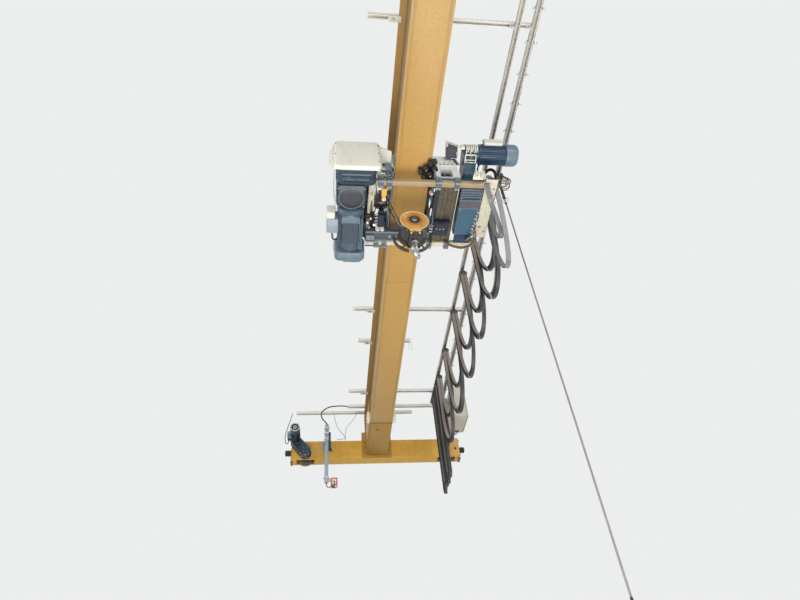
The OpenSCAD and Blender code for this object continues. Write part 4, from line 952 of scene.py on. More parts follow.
def makeHoistRods(h):
    y0, y1 = h["casting"], 1.782
    rods = [rod((-0.352, y0, 0.01), (-0.352, y1, 0.01), 0.0145),
            rod((-0.318, y0 + 0.02, 0.03), (-0.318, y1, 0.03), 0.009)]
    piece("guideRods", [rods, block((-0.364, y1 - 0.005, -0.03), (-0.304, y1 + 0.018, 0.05))], "rodCream",
          "trolley",
          bevel=0.001, replaces="rope_guide")
    fit = []
    for i, (fx, fy, fz, fr) in enumerate([(-0.33, 1.60, -0.03, 0.018), (-0.3, 1.66, -0.045, 0.022),
                                          (-0.345, 1.70, -0.05, 0.02),
                                          (-0.31, 1.73, -0.02, 0.016), (-0.36, 1.64, -0.04, 0.014)]):
        fit += [lathe([(fr * 0.6, 0), (fr, 0.004), (fr, 0.022), (fr * 0.8, 0.026), (fr * 0.8, 0.04),
                       (fr * 0.5, 0.044)],
                      (fx, fy, fz + 0.03), (0, -0.35, -1), 6 if i % 2 else 24)]
    piece("limitFittings", fit, "latchZinc", "trolley")
    lumps = [block((-0.375, 1.56, -0.03), (-0.3, 1.6, 0.03)),
             block((-0.36, 1.63, 0.0), (-0.29, 1.75, 0.03)),
             lathe([(0.016, 0), (0.016, 0.05), (0.012, 0.054)], (-0.285, 1.6, 0.01), (0, 0.2, -1), 20),
             lathe([(0.013, 0), (0.013, 0.04), (0.009, 0.044)], (-0.25, 1.64, 0.0), (0, 0.3, -1), 20)]
    piece("limitSwitchBlocks", lumps, "blockBlack", "trolley", bevel=0.003)
    cables = [tube([(-0.33, 1.60, -0.02), (-0.32, 1.55, -0.05), (-0.3, 1.5, -0.03), (-0.29, 1.4, 0.02),
                    (-0.3, 1.3, 0.04), (-0.31, 1.16, 0.05)], 0.005),
              tube([(-0.34, 1.7, -0.04), (-0.3, 1.72, -0.08), (-0.26, 1.71, -0.06), (-0.24, 1.66, 0.0),
                    (-0.25, 1.55, 0.03)], 0.0045)]
    piece("limitCables", cables, "cableBlack", "trolley", angle=60)
    # two pale cylinders beside the fittings
    pots = [lathe([(0.014, 0), (0.019, 0.003), (0.019, 0.06), (0.014, 0.064), (0.008, 0.07)],
                  (px, 1.655, -0.035), (0.1, 0.5, -0.8), 28)
            for px in (-0.275, -0.235)]
    piece("limitPots", pots, "coverWhite", "trolley", angle=50)


for maker in (makeHoistCover, makeHoistGearbox, makeHoistMotor, makeTerminalBox, makeDrum, makeHoistRods):
    maker(hoist)
print("hoist made")


# Trolley frame: cross tubes, cast ends, wheels, clamps and the dark pan
trolley = {
    "middle": 1.5, "tubeGap": 0.65, "tube": 0.048, "tubeZ": -0.07, "tubeEnd": 0.6, "leftEnd": -0.315,
    "sideX": 0.17,
    "plate": 0.012, "hookY": 1.45, "axleGap": 0.42, "axleZ": 0.1503,
    "beam": (1.68, 1.789, -0.1, -0.056),
}


def makeCrossTubes(t):
    near, far = t["middle"] - t["tubeGap"] / 2, t["middle"] + t["tubeGap"] / 2
    # the near tube takes the darker tan as painted shade; the far tube, the same kind of tube lit, is cream
    piece("nearCrossTube", [squareTube(near, t["tubeZ"], t["tube"], t["leftEnd"], t["tubeEnd"])],
          "nearTubeShadeTan", "trolley",
          replaces="cross_tubes", angle=50)
    piece("farCrossTube", [squareTube(far, t["tubeZ"], t["tube"], -0.375, t["tubeEnd"])], "rodCream",
          "trolley", angle=50)
    # the anchor beam ahead of the far tube, its lips and its bracket
    y0, y1, z0, z1 = t["beam"]
    piece("ropeAnchorBeam", [block((-0.375, y0, z0), (0.19, y1, z1), axis=0, radius=0.006)], "beamDark",
          "trolley",
          bevel=0.002)
    lips = [block((-0.372, y, z0 - 0.003), (0.187, y + 0.01, z0)) for y in (y0 + 0.004, y1 - 0.014)]
    piece("ropeAnchorLips", lips, "frameBlue", "trolley", bevel=0.001)
    holder = [block((-0.37, y0 + 0.035, z0 - 0.023), (-0.3, y0 + 0.09, z0), axis=0, radius=0.01),
              block((-0.366, y1 - 0.006, z0 - 0.014), (-0.296, y1 + 0.004, z1 + 0.02))]
    piece("ropeAnchorBracket", holder, "frameBlue", "trolley", bevel=0.003)
    nuts = []
    for x in (-0.355, -0.31, -0.16, 0.16):
        nuts += bolt((x, y0 + 0.055, z0 - (0.023 if x < -0.25 else 0)), (0, 0, -1), 0.014, 0.009)
    piece("ropeAnchorBolts", nuts, "boltZinc", "trolley")
    # a lining and a plug in the near tube's left end
    liner = squareTube(near, t["tubeZ"], t["tube"] - 0.0106, t["leftEnd"] - 0.004, t["leftEnd"] + 0.03,
                       0.003)
    plug = block((t["leftEnd"] + 0.012, near - 0.018, t["tubeZ"] - 0.018),
                 (t["leftEnd"] + 0.016, near + 0.018, t["tubeZ"] + 0.018))
    piece("tubeLiner", [liner, plug], "rodCream", "trolley", angle=50)


def makeFrames(t):
    near, far = t["middle"] - t["tubeGap"] / 2, t["middle"] + t["tubeGap"] / 2
    for node in ("left_side_frame", "right_side_frame"):
        dressed(node, "castingBlue", 0.004)
    x0 = t["sideX"] + t["plate"]
    lap = t["tube"] / 2 + 0.012
    bolts, pins, straps = [], [], []
    for sign, width in ((-1, 0.115), (1, 0.205)):
        for y in (near, far):
            for x in (x0 + 0.012, x0 + 0.034, x0 + width - 0.034, x0 + width - 0.012):
                for side in (-1, 1):
                    bolts += bolt((sign * x, y + side * (lap - 0.006), t["tubeZ"] - lap), (0, 0, -1), 0.011,
                                  0.008)
                    pins.append(screw((sign * x, y + side * lap, t["tubeZ"] + 0.01), (0, side, 0), 0.005,
                                      0.005))
    for sign in (-1, 1):
        for dy in (-0.36, -0.12, 0.12, 0.36):
            bolts += bolt((sign * x0, t["middle"] + dy, 0.27), (sign, 0, 0), 0.02, 0.012)
        for dy in (-t["axleGap"] / 2, t["axleGap"] / 2):
            cap = lathe([(0.05, 0), (0.05, 0.008), (0.046, 0.012), (0.03, 0.013), (0.03, 0.02),
                         (0.026, 0.023), (tip, 0.023)],
                        (sign * x0, t["middle"] + dy, t["axleZ"]), (sign, 0, 0), 48)
            straps.append(cap)
            for k in range(4):
                a = pi / 4 + k * pi / 2
                pins.append(lathe([(0.005, 0), (0.005, 0.004), (0.004, 0.005)],
                                  (sign * (x0 + 0.012), t["middle"] + dy + 0.039 * cos(a),
                                   t["axleZ"] + 0.039 * sin(a)), (sign, 0, 0), 6))
    piece("trolleyBolts", bolts + pins, "boltZinc", "trolley")
    piece("wheelBearingCaps", straps, "deepBlue", "trolley", angle=40)
    # pale inspection lids and slotted tops on the near castings; the lids' white is partly painted highlight
    # where the castings' tops catch the light
    lids = []
    for k in range(4):
        lids.append(block((x0 + 0.02 + k * 0.046, near - 0.0345, 0.2),
                          (x0 + 0.048 + k * 0.046, near - 0.03, 0.222 + 0.01 * (k % 2)), axis=1,
                          radius=0.006))
    lids.append(block((x0 + 0.004, near - 0.036, 0.15), (x0 + 0.2, near - 0.03, 0.172), axis=1,
                      radius=0.005))
    lids.append(block((-x0 - 0.105, near - 0.046, 0.06), (-x0 - 0.01, near - 0.03, 0.2), axis=1,
                      radius=0.01))
    piece("castingLids", lids, "coverWhite", "trolley", bevel=0.0015)
    # the slots are black strips: their dark insides are painted shade
    slots = [block((x0 + 0.02 + k * 0.034, near - 0.0372, 0.156),
                   (x0 + 0.038 + k * 0.034, near - 0.0355, 0.166), axis=1, radius=0.003) for k in range(5)]
    slots.append(block((-x0 - 0.075, near - 0.0475, 0.085), (-x0 - 0.04, near - 0.0455, 0.125), axis=1,
                       radius=0.006))
    piece("castingSlots", slots, "cableBlack", "trolley")
    # sloped plate from the cover to the left casting, and a slanted web beside the girder
    plate = slab([(-0.29, 0.165), (-0.19, 0.098), (-0.19, 0.09), (-0.29, 0.157)], 1, 0.99, 1.13)
    web = slab([(-0.2, 0.09), (-0.172, 0.02), (-0.172, -0.03), (-0.235, 0.02), (-0.235, 0.09)], 1,
               near - 0.075, near - 0.066)
    ribs = slab([(near - 0.066, 0.09), (near - 0.03, 0.09), (near - 0.03, -0.02)], 0, -0.205, -0.196)
    piece("slopedCoverPlate", [plate], "coverWhite", "trolley", bevel=0.001)
    piece("slantedWeb", [web, ribs], "frameBlue", "trolley", bevel=0.002)
    # wedges and a collar hanging below the left clamp
    tags = [block((-0.262, near + 0.04, -0.12), (-0.225, near + 0.1, -0.075)),
            block((-0.255, near + 0.1, -0.11), (-0.23, near + 0.14, -0.08))]
    piece("clampWedges", tags, "carriageYellow", "trolley", bevel=0.003)
    collar = [lathe([(0.016, 0), (0.02, 0.004), (0.02, 0.03), (0.014, 0.034)], (-0.24, near + 0.15, -0.075),
                    (0, 0.5, -1), 24)]
    piece("clampCollar", collar, "coverWhite", "trolley", angle=50)
    # black sheets behind the castings' openings: the dark seen through them is painted shade
    backs = [block((0.196, 1.203, -0.03), (0.383, 1.212, 0.19)),
             block((-0.29, 1.203, -0.03), (-0.19, 1.212, 0.08))]
    piece("castingBacks", backs, "blockBlack", "trolley", bevel=0.002)
    # guide rollers under the flange's right edge
    rollers, arms = [], []
    for rx, ry, rz, rr in ((0.06, 1.125, 0.012, 0.022), (0.1, 1.09, 0.012, 0.025),
                           (0.088, 1.16, -0.012, 0.023), (0.135, 1.05, 0.022, 0.024),
                           (0.135, 1.13, -0.012, 0.026), (0.165, 1.03, 0.03, 0.024),
                           (0.17, 1.085, 0.005, 0.028), (0.17, 1.145, -0.02, 0.024),
                           (0.13, 1.205, -0.03, 0.022), (0.168, 1.235, -0.025, 0.025)):
        rollers.append(lathe([(rr * 0.5, -0.018), (rr, -0.015), (rr, 0.015), (rr * 0.5, 0.018),
                              (rr * 0.4, 0.026)], (rx, ry, rz), (0.25, 0.3, -1), 32))
        arms.append(block((rx - 0.014, ry - 0.012, rz), (rx + 0.014, ry + 0.012, min(rz + 0.04, 0.05))))
    arms += [block((0.045, 1.1, 0.034), (0.168, 1.135, 0.05)),
             block((0.12, 1.02, 0.036), (0.168, 1.25, 0.05))]
    piece("guideRollers", rollers, "cableBlack", "trolley", angle=40)
    piece("guideRollerArms", arms, "blockBlack", "trolley", bevel=0.003)
    pins = [lathe([(0.006, 0), (0.006, 0.006), (0.004, 0.008)], (rx, ry, rz - 0.024), (0.25, 0.3, -1), 6)
            for rx, ry,
            rz in ((0.1, 1.09, 0.012), (0.135, 1.13, -0.012), (0.17, 1.085, 0.005), (0.168, 1.235, -0.025))]
    piece("guideRollerPins", pins, "latchZinc", "trolley")
    aim = (-0.15, -0.25, -1)
    red = lathe([(0.013, 0), (0.0165, 0.002), (0.0165, 0.009), (0.013, 0.012)], (0.17, 1.3, -0.04), aim, 32)
    base = [lathe([(0.02, 0), (0.0205, 0.002), (0.0205, 0.024), (0.018, 0.027)], (0.172, 1.305, -0.014),
                  aim, 32),
            lathe([(0.0095, 0), (0.0095, 0.002), (0.006, 0.004)], (0.1682, 1.297, -0.0515), aim, 24)]
    piece("limitButton", [red], "collectorRed", "trolley", angle=40)
    piece("limitButtonBase", base, "coverWhite", "trolley", angle=40)
    # the pan between the tubes: dark ribbed sheet with a pale lip; a darker strip along its left edge is
    # painted shade
    px0, px1, y0, y1, z = x0 + 0.014, x0 + 0.206, near + t["tube"] / 2, far - t["tube"] / 2, t["tubeZ"] + t["tube"] / 2 - 0.02
    s = np.linspace(0, 1, 65)
    low = z - 0.0055 - 0.0035 * np.clip(np.sin(s * 2 * pi * 2.5 + 0.6) * 1.6, -1, 1)
    outline = np.concatenate([np.stack([px0 + (px1 - px0) * s, low], axis=1),
                              [(px1, z + 0.008), (px0, z + 0.008)]])
    piece("oilPan", [slab(outline, 1, y0, y1)], "panDark", "trolley", angle=40)
    piece("oilPanLip", [block((px1 - 0.002, y0, z - 0.012), (px1 + 0.002, y1, z + 0.02))], "panelBeige",
          "trolley", bevel=0.0008)
    # dark strip along the pan's left edge: painted shade
    piece("oilPanShade", [block((px0 - 0.004, y0, z - 0.011), (px0 + 0.03, y1, z + 0.006))], "brakeNavy",
          "trolley", bevel=0.002)
    # trapezoid guard with its wire frame, beside the right casting
    guard = slab([(0.335, 0.235), (0.425, 0.235), (0.4, 0.325), (0.352, 0.325)], 1, 1.185, 1.19)
    wires = [tube([(0.33, 1.18, 0.23), (0.35, 1.18, 0.33), (0.402, 1.18, 0.33), (0.432, 1.18, 0.23)], 0.003,
                  8, 1),
             tube([(0.432, 1.18, 0.23), (0.47, 1.12, 0.26), (0.49, 1.1, 0.25)], 0.003, 8)]
    piece("guardPlate", [guard], "panDark", "trolley", bevel=0.001)
    piece("guardWires", wires, "latchZinc", "trolley", angle=60)


def makeWheels(t):
    # treads turned to a fine crown, with a dished web and a hub ring
    wheels = []
    profile = [(tip, 0.101), (0.03, 0.101), (0.034, 0.104), (0.056, 0.106), (0.064, 0.101), (0.0692, 0.102),
               (0.07, 0.106),
               (0.07, 0.151), (0.072, 0.153), (0.082, 0.156), (0.082, 0.162), (0.076, 0.163), (0.03, 0.163),
               (0.022, 0.164), (0.022, 0.17), (tip, 0.17)]
    for sign in (-1, 1):
        for dy in (-t["axleGap"] / 2, t["axleGap"] / 2):
            wheels.append(lathe(profile, (0, t["middle"] + dy, t["axleZ"]), (sign, 0, 0), 72))
    piece("trolleyWheels", wheels, "wheelSteel", "trolley", replaces="trolley_wheels",
          angle=30)
    dressed("upper_sheaves", "wheelSteel", 0)
    hubs = []
    for sign in (-1, 1):
        for dy in (-0.03, 0.03):
            for side in (-1, 1):
                hubs.append(lathe([(0.024, 0), (0.024, 0.004), (0.02, 0.006), (tip, 0.006)],
                                  (sign * 0.252, t["hookY"] + dy + side * 0.0138, 0.03), (0, side, 0), 32))
    piece("sheaveHubs", hubs, "drumSteel", "trolley", angle=40)


for maker in (makeCrossTubes, makeFrames, makeWheels):
    maker(trolley)

# Right of the girder: drive box, tow plate, gearbox and travel motor
rightSide = {
    "boxLow": (0.402, -0.115), "boxHigh": (0.598, 0.055), "boxFrom": 1.199, "boxTo": 1.689, "plateX": 0.6,
    "plateZ": -0.094,
    "gearX": 0.442, "gearEnd": 0.552, "axle": (1.29, 0.1503), "motorAxis": (1.08, 0.243),
}


def makeDriveBox(r):
    (x0, z0), (x1, z1) = r["boxLow"], r["boxHigh"]
    y0, y1 = r["boxFrom"], r["boxTo"]
    shell = drawnIn((x0, z0 + 0.012), (x1, z1), 0.01, (0.003, 0, 0, 0.003),
                    (y0, y0 + 0.003, y1 - 0.003, y1))
    piece("driveBox", [shell, block((0.43, y1, -0.09), (0.57, 1.801, -0.051))], "deepBlue", "trolley",
          replaces="drive_box", angle=45)
    cover = drawnIn((x0 + 0.006, y0 + 0.195), (x1 - 0.006, y1 - 0.004), 0.006, (0.004, 0.001, 0, 0),
                    (z0, z0 + 0.001, z0 + 0.004, z0 + 0.013), axis=2)
    piece("driveBoxCover", [cover], "tealBlue", "trolley", angle=45)
    band = [drawnIn((x0 + 0.004, y0 + 0.118), (x1 - 0.004, y0 + 0.19), 0.004, (0.003, 0.001, 0, 0),
                    (z0 - 0.001, z0, z0 + 0.003, z0 + 0.013), axis=2)]
    piece("driveBoxBand", band, "bandPlum", "trolley", angle=45)
    piece("driveBoxTrim",
          [block((x0 + 0.002, y0 + 0.104, z0 - 0.003), (x1 - 0.002, y0 + 0.113, z0 + 0.013)),
                           block((x0 + 0.002, y0 + 0.19, z0 - 0.002),
                                 (x1 - 0.002, y0 + 0.194, z0 + 0.013))],
          "fanBlue", "trolley", bevel=0.001)
    # ribbed recess ahead of the trim
    s = np.linspace(0, 1, 49)
    line = np.stack([y0 + 0.004 + 0.098 * s, z0 + 0.0115 - 0.003 * np.abs(np.sin(s * 4 * pi))], axis=1)
    recess = slab(np.concatenate([line, [(y0 + 0.102, z0 + 0.02), (y0 + 0.004, z0 + 0.02)]]), 0, x0 + 0.006,
                  x1 - 0.006)
    piece("driveBoxRecess", [recess], "deepBlue", "trolley", angle=50)
    spots = [(x0 + 0.018, y0 + 0.207), (x1 - 0.02, y0 + 0.207), (x0 + 0.018, y1 - 0.018),
             (x1 - 0.02, y1 - 0.018), (x0 + 0.016, y0 + 0.09), (x1 - 0.018, y0 + 0.09)]
    piece("driveBoxScrews",
          [screw((sx, sy, z0 + (0.0 if sy > y0 + 0.1 else 0.009)), (0, 0, -1), 0.006, 0.004)
           for sx, sy in spots],
          "boltZinc", "trolley")
    glands, leads = [], []
    for k in range(7):
        gy = y0 + 0.225 + k * 0.037
        gx = x1 - 0.02 - 0.003 * k
        r1 = 0.009 + 0.0015 * (k % 3)
        glands.append(lathe([(r1, 0), (r1, 0.009), (r1 * 0.8, 0.011), (r1 * 0.62, 0.024),
                             (r1 * 0.5, 0.026)], (gx, gy, z0 - 0.0005), (0.2, 0.15, -1),
                            6 if k % 2 else 20))
        leads.append(tube([(gx + 0.003, gy + 0.003, z0 - 0.02), (gx + 0.006, gy + 0.02, z0 - 0.042),
                           (gx + 0.002, gy + 0.07, z0 - 0.045),
                           (gx - 0.01, y1 - 0.03, z0 - 0.03 - 0.003 * k), (gx - 0.03, y1 + 0.03, z0 - 0.02),
                           (gx - 0.04, y1 + 0.06, z0 + 0.01)],
                          0.0035 + 0.0008 * (k % 3), 10))
    piece("driveBoxGlands", glands, "latchZinc", "trolley", angle=40)
    piece("driveBoxLeads", leads[::2], "cableBlack", "trolley", angle=60)
    piece("driveBoxPaleLeads", leads[1::2], "cablePale", "trolley", angle=60)
    # brown cable loops hanging between the box and the far tube
    loops = []
    for k in range(3):
        e = 0.012 * k
        loops.append(tube([(0.60, 1.64, -0.1 - e), (0.605, 1.7, -0.13 - e), (0.57, 1.76, -0.15 - e),
                           (0.5, 1.79, -0.155 - e),
                           (0.42, 1.79, -0.14 - e), (0.36, 1.78, -0.11 - e), (0.34, 1.785, -0.075)], 0.0045,
                          10))
    piece("looseLeads", loops, "cableBrown", "trolley", angle=60)
    # dark block under the pan with its pale fittings
    px, py, pz = 0.214, 1.545, -0.07
    body = [block((px, py, pz - 0.05), (px + 0.138, py + 0.15, pz), axis=1, radius=0.01),
            block((px + 0.02, py + 0.02, pz - 0.058), (px + 0.1, py + 0.12, pz - 0.05), axis=2,
                  radius=0.014)]
    piece("brakeBlock", body, "brakeNavy", "trolley", bevel=0.003)
    bits = [lathe([(0.012, 0), (0.012, 0.018), (0.008, 0.02), (0.008, 0.034)],
                  (px + 0.004, py + yy, pz - 0.024), (-1, 0, -0.2), 12) for yy in (0.06, 0.092, 0.124)]
    bits += [lathe([(0.006, 0), (0.006, 0.004), (0.004, 0.005)],
                   (px + 0.03 + 0.03 * k, py + 0.07, pz - 0.058), (0, 0, -1), 6) for k in range(3)]
    piece("brakeFittings", bits, "latchZinc", "trolley", angle=40)


def makeSwitchPlate():
    # a plate with folded edges stands on the right casting beside the gearbox
    edge = [(0.297, 0.238), (0.403, 0.238), (0.427, 0.41), (0.33, 0.472)]
    piece("switchPlate", [slab(edge, 1, 1.117, 1.122)], "beamDark", "trolley", bevel=0.0008)
    folds = [block((0.395, 1.1, 0.238), (0.403, 1.117, 0.3), axis=1, radius=0.002),
             slab([(0.322, 0.4), (0.338, 0.4), (0.342, 0.462), (0.328, 0.47)], 1, 1.1, 1.1172),
             slab([(0.328, 0.47), (0.43, 0.404), (0.434, 0.412), (0.33, 0.48)], 1, 1.098, 1.1222)]
    piece("switchPlateFolds", folds, "coverWhite", "trolley", bevel=0.0008)
    # fittings on a bracket between the gearbox and the tow plate
    fittings = [block((0.494, 1.066, -0.062), (0.58, 1.13, -0.054)),
                block((0.496, 1.045, -0.104), (0.528, 1.075, -0.054), axis=1, radius=0.004),
                block((0.544, 1.045, -0.128), (0.576, 1.075, -0.054), axis=1, radius=0.004)]
    piece("cornerFittings", fittings, "coverWhite", "trolley", bevel=0.001)
    caps = [lathe([(0.01, 0), (0.01, 0.012), (0.0075, 0.014), (0.0075, 0.024), (0.005, 0.026)],
                  (x, 1.06, z), (0, -0.3, -1), 16) for x, z in ((0.512, -0.104), (0.56, -0.128))]
    caps += [lathe([(0.008, 0), (0.008, 0.01), (0.006, 0.012)], (x, 1.0455, z), (0, -1, 0), 6)
             for x, z in ((0.512, -0.08), (0.56, -0.09))]
    piece("cornerCaps", caps, "latchZinc", "trolley", angle=40)
    # pale lines down the hoist's left side: thin tubes painted pale as an edge highlight
    lines = [tube([(-0.64, 1.0, -0.06), (-0.656, 1.04, -0.092), (-0.661, 1.13, -0.1), (-0.661, 1.25, -0.1),
                   (-0.655, 1.34, -0.088), (-0.64, 1.38, -0.07)], 0.0042, 10),
             tube([(-0.64, 1.68, -0.07), (-0.655, 1.73, -0.095), (-0.656, 1.85, -0.1),
                   (-0.652, 1.93, -0.09), (-0.636, 1.96, -0.06)], 0.0042, 10)]
    piece("sideLines", lines, "cablePale", "trolley", angle=60)
    # junction block beside the hook block, with its four connectors
    body = [block((-0.275, 1.5, -0.1), (-0.222, 1.63, -0.035), axis=1, radius=0.008),
            block((-0.268, 1.47, -0.08), (-0.23, 1.5, -0.04))]
    piece("junctionBlock", body, "brakeNavy", "trolley", bevel=0.002)
    plugs, leads = [], []
    for k in range(4):
        y = 1.515 + 0.033 * k
        plugs.append(lathe([(0.011, 0), (0.011, 0.01), (0.0085, 0.012), (0.0085, 0.026), (0.006, 0.028)],
                           (-0.2755, y, -0.07), (-1, 0, -0.25), 14))
        leads.append(tube([(-0.298, y, -0.076), (-0.322, y - 0.004 * k, -0.07),
                           (-0.335, y - 0.03, -0.03 + 0.006 * k), (-0.33, y - 0.07, 0.03)], 0.004, 8))
    piece("junctionPlugs", plugs, "latchZinc", "trolley", angle=40)
    piece("junctionLeads", leads, "cableBlack", "trolley", angle=60)


def makeTowPlate(r):
    dressed("tow_arm", "panelBeige", 0.0012)
    x, z = r["plateX"], r["plateZ"]
    nuts = []
    for y in (1.14, 1.21, 1.6):
        nuts += bolt((x + 0.03, y, z - 0.006), (0, 0, -1), 0.017, 0.01)
        nuts += bolt((x + 0.078, y + 0.05, z - 0.006), (0, 0, -1), 0.013, 0.008)
    piece("towPlateBolts", nuts, "boltZinc", "trolley")
    # a fat flexible conduit arches from the box over the plate's near end to the festoon
    arch = [(0.585, 1.2, -0.02), (0.6, 1.13, 0.01), (0.64, 1.09, 0.03), (0.685, 1.1, 0.02),
            (0.705, 1.16, -0.02), (0.71, 1.26, -0.05),
            (0.7, 1.4, -0.075), (0.7, 1.55, -0.07), (0.708, 1.66, 0.02), (0.733, 1.7, 0.25),
            (0.745, 1.71, 0.5), (0.75, 1.712, 0.685)]
    line = smoothPath(arch, 40)
    wave = 1 + 0.08 * np.cos(np.arange(len(line)) * pi)
    piece("towConduit", [sweep(line, circle(0.0125, 14), (0.9, 0.3, 0.2), girth=wave)], "cableBlack",
          "trolley", angle=80)
    ties = [lathe([(0.0145, -0.003), (0.0155, 0), (0.0145, 0.003)], p, w, 20) for p, w in
            (((0.705, 1.3, -0.056), (0, 1, -0.2)), ((0.7, 1.46, -0.078), (0, 1, 0)),
             ((0.739, 1.704, 0.33), (0.05, 0.03, 1)))]
    piece("towTies", ties, "cablePale", "trolley", angle=60)


def makeTrolleyGearbox(r):
    # the housing follows the hull of its two bearing circles, with raised joint flanges
    (ay, az), (my, mz) = r["axle"], r["motorAxis"]
    base = linkOutline(r["axle"], 0.078, r["motorAxis"], 0.08)
    insets = [0.004, 0, 0, 0.004, 0.012, 0.012, 0.004, 0, 0, 0.006, 0.02]
    at = [0, 0.003, 0.012, 0.014, 0.02, 0.072, 0.078, 0.08, 0.09, 0.098, 0.11]
    housing = linkBody(base, 0, insets, [r["gearX"] + a for a in at])
    shaft = lathe([(0.032, 0.0), (0.032, 0.06), (0.024, 0.064), (0.024, 0.26)], (r["gearX"], ay, az),
                  (-1, 0, 0), 40)
    piece("trolleyGearbox", [housing, shaft], "deepBlue", "trolley",
          replaces="trolley_gearbox", angle=45)
    bolts = []
    middle = base.mean(axis=0)
    for k in range(0, 56, 7):
        reach = base[k] - middle
        p = middle + reach * (1 - 0.007 / np.linalg.norm(reach))
        bolts.append(lathe([(0.0065, 0), (0.0065, 0.005), (0.0055, 0.006)], (r["gearX"] + 0.08, p[0], p[1]),
                           (-1, 0, 0), 6))
    piece("trolleyGearboxBolts", bolts, "boltZinc", "trolley")
    # pale ribbed adapter on the nose, and a pale louvre frame on the sloping face under it
    ribs = []
    for k in range(6):
        at = r["gearX"] + 0.012 + k * 0.018
        ribs.append(drawnIn((my - 0.1, mz - 0.062 + 0.012 * (k % 2)), (my - 0.03, mz + 0.006), 0.01,
                            (0.003, 0, 0, 0.003), (at, at + 0.002, at + 0.008, at + 0.01), axis=0))
    ribs.append(drawnIn((my - 0.094, mz - 0.05), (my - 0.07, mz - 0.004), 0.006, (0.002, 0, 0, 0.002),
                        (0.404, 0.406, 0.44, 0.442), axis=0))
    piece("adapterRibs", ribs, "coverWhite", "trolley", angle=45)
    start, slope, away = np.array([1.0476, 0.17]), np.array([0.917, -0.397]), np.array([-0.397, -0.917])

    def onFace(x0, x1, a0, a1, lift):
        # a bar laid on the face: a runs down the slope, lift stands off it
        outline = [start + slope * a + away * h
                   for a, h in ((a0, -0.004), (a1, -0.004), (a1, lift), (a0, lift))]
        return slab(outline, 0, x0, x1)

    bars = [onFace(0.446, 0.454, -0.004, 0.058, 0.012), onFace(0.537, 0.545, -0.004, 0.058, 0.012),
            onFace(0.446, 0.545, -0.01, 0.0, 0.012),
            onFace(0.454, 0.537, 0.034, 0.042, 0.009), onFace(0.446, 0.545, 0.054, 0.062, 0.012)]
    piece("adapterLouvre", bars, "coverWhite", "trolley", bevel=0.0015)
    piece("gearboxFace", [onFace(0.456, 0.535, 0.07, 0.2, 0.006)], "tealBlue", "trolley",
          bevel=0.002)


def makeTrolleyMotor(r):
    my, mz = r["motorAxis"]
    x0 = r["gearEnd"]
    neck = lathe([(0.06, 0), (0.07, 0.002), (0.07, 0.022), (0.084, 0.024), (0.088, 0.027), (0.088, 0.034),
                  (0.08, 0.038)], (x0, my, mz), (1, 0, 0), 72)
    # fins: the radius rises in narrow ridges around the body and falls away at its two ends
    t = np.linspace(0, 2 * pi, 433)[:-1]
    s = np.array([0.036, 0.042, 0.05, 0.24, 0.252, 0.26])
    rise = np.array([0.2, 0.8, 1, 1, 0.8, 0.2])
    rr = 0.079 + 0.009 * rise[:, None] * (np.cos(t * 36) > 0.2)[None,
                                                                :] * (np.cos(t - pi / 2) < 0.86)[None, :]
    piece("trolleyMotor", [neck, ridged(rr, x0 + s, (my, mz), 0)], "motorNavy", "trolley",
          replaces="trolley_motor", angle=30)
    cowl = lathe([(0.086, 0.256), (0.0935, 0.258), (0.094, 0.262), (0.094, 0.33), (0.0915, 0.346),
                  (0.084, 0.36), (0.07, 0.37), (0.05, 0.3745), (tip, 0.375)],
                 (x0, my, mz), (1, 0, 0), 96)
    piece("trolleyFanCover", [cowl], "fanBlue", "trolley", angle=50)
    rings = [lathe([(q - 0.004, 0.373 - 0.00014 / q), (q, 0.3762 - 0.00014 / q),
                    (q + 0.004, 0.373 - 0.00014 / q)], (x0, my, mz), (1, 0, 0), 64)
             for q in (0.022, 0.036, 0.05)]
    piece("trolleyFanRings", rings, "cableBlack", "trolley", angle=60)
    box = drawnIn((x0 + 0.066, mz + 0.008), (x0 + 0.228, mz + 0.082), 0.01, (0.006, 0.001, 0, 0, 0.004),
                  (my - 0.108, my - 0.105, my - 0.098, my - 0.03, my - 0.02))
    piece("trolleyTerminalBox", [box], "coverWhite", "trolley", angle=45)
    lid = drawnIn((x0 + 0.062, mz + 0.016), (x0 + 0.232, mz + 0.098), 0.012, (0.003, 0, 0, 0.002),
                  (my - 0.092, my - 0.09, my - 0.084, my - 0.082))
    piece("trolleyTerminalLid", [lid], "terminalGrey", "trolley", angle=45)
    gland = [lathe([(0.013, 0), (0.013, 0.012), (0.009, 0.014), (0.007, 0.026)],
                   (x0 + 0.1 + 0.05 * k, my + 0.06, mz + 0.09), (0, 1, 0), 12) for k in range(2)]
    piece("trolleyMotorGlands", gland, "cableBlack", "trolley")
    lead = [tube([(x0 + 0.1 + 0.05 * k, my + 0.075, mz + 0.09), (x0 + 0.09 + 0.05 * k, my + 0.1, mz + 0.08),
                  (x0 + 0.05, my + 0.125, mz + 0.0),
                  (x0 + 0.03, my + 0.14 + 0.01 * k, mz - 0.12),
                  (x0 + 0.02, my + 0.15 + 0.02 * k, mz - 0.19)], 0.006, 12) for k in range(2)]
    piece("trolleyMotorLeads", lead, "cableBlack", "trolley", angle=60)


makeDriveBox(rightSide)
makeSwitchPlate()
for maker in (makeTowPlate, makeTrolleyGearbox, makeTrolleyMotor):
    maker(rightSide)
print("trolley frame and drives made")


# Hook block: covers, guards, sheaves, crosshead, forged hook, latch and rope
hookBlock = {
    "y": 1.45, "z": -0.34, "half": 0.1, "cover": 0.1225, "sheave": 0.1, "hookDrop": 0.28, "bowl": 0.036,
    "girth": 0.02,
    "latch": (0.004, 0.097), "rope": 0.01, "upperX": 0.252, "upperR": 0.06, "upperZ": 0.03,
    "hookTurn": 35,
}


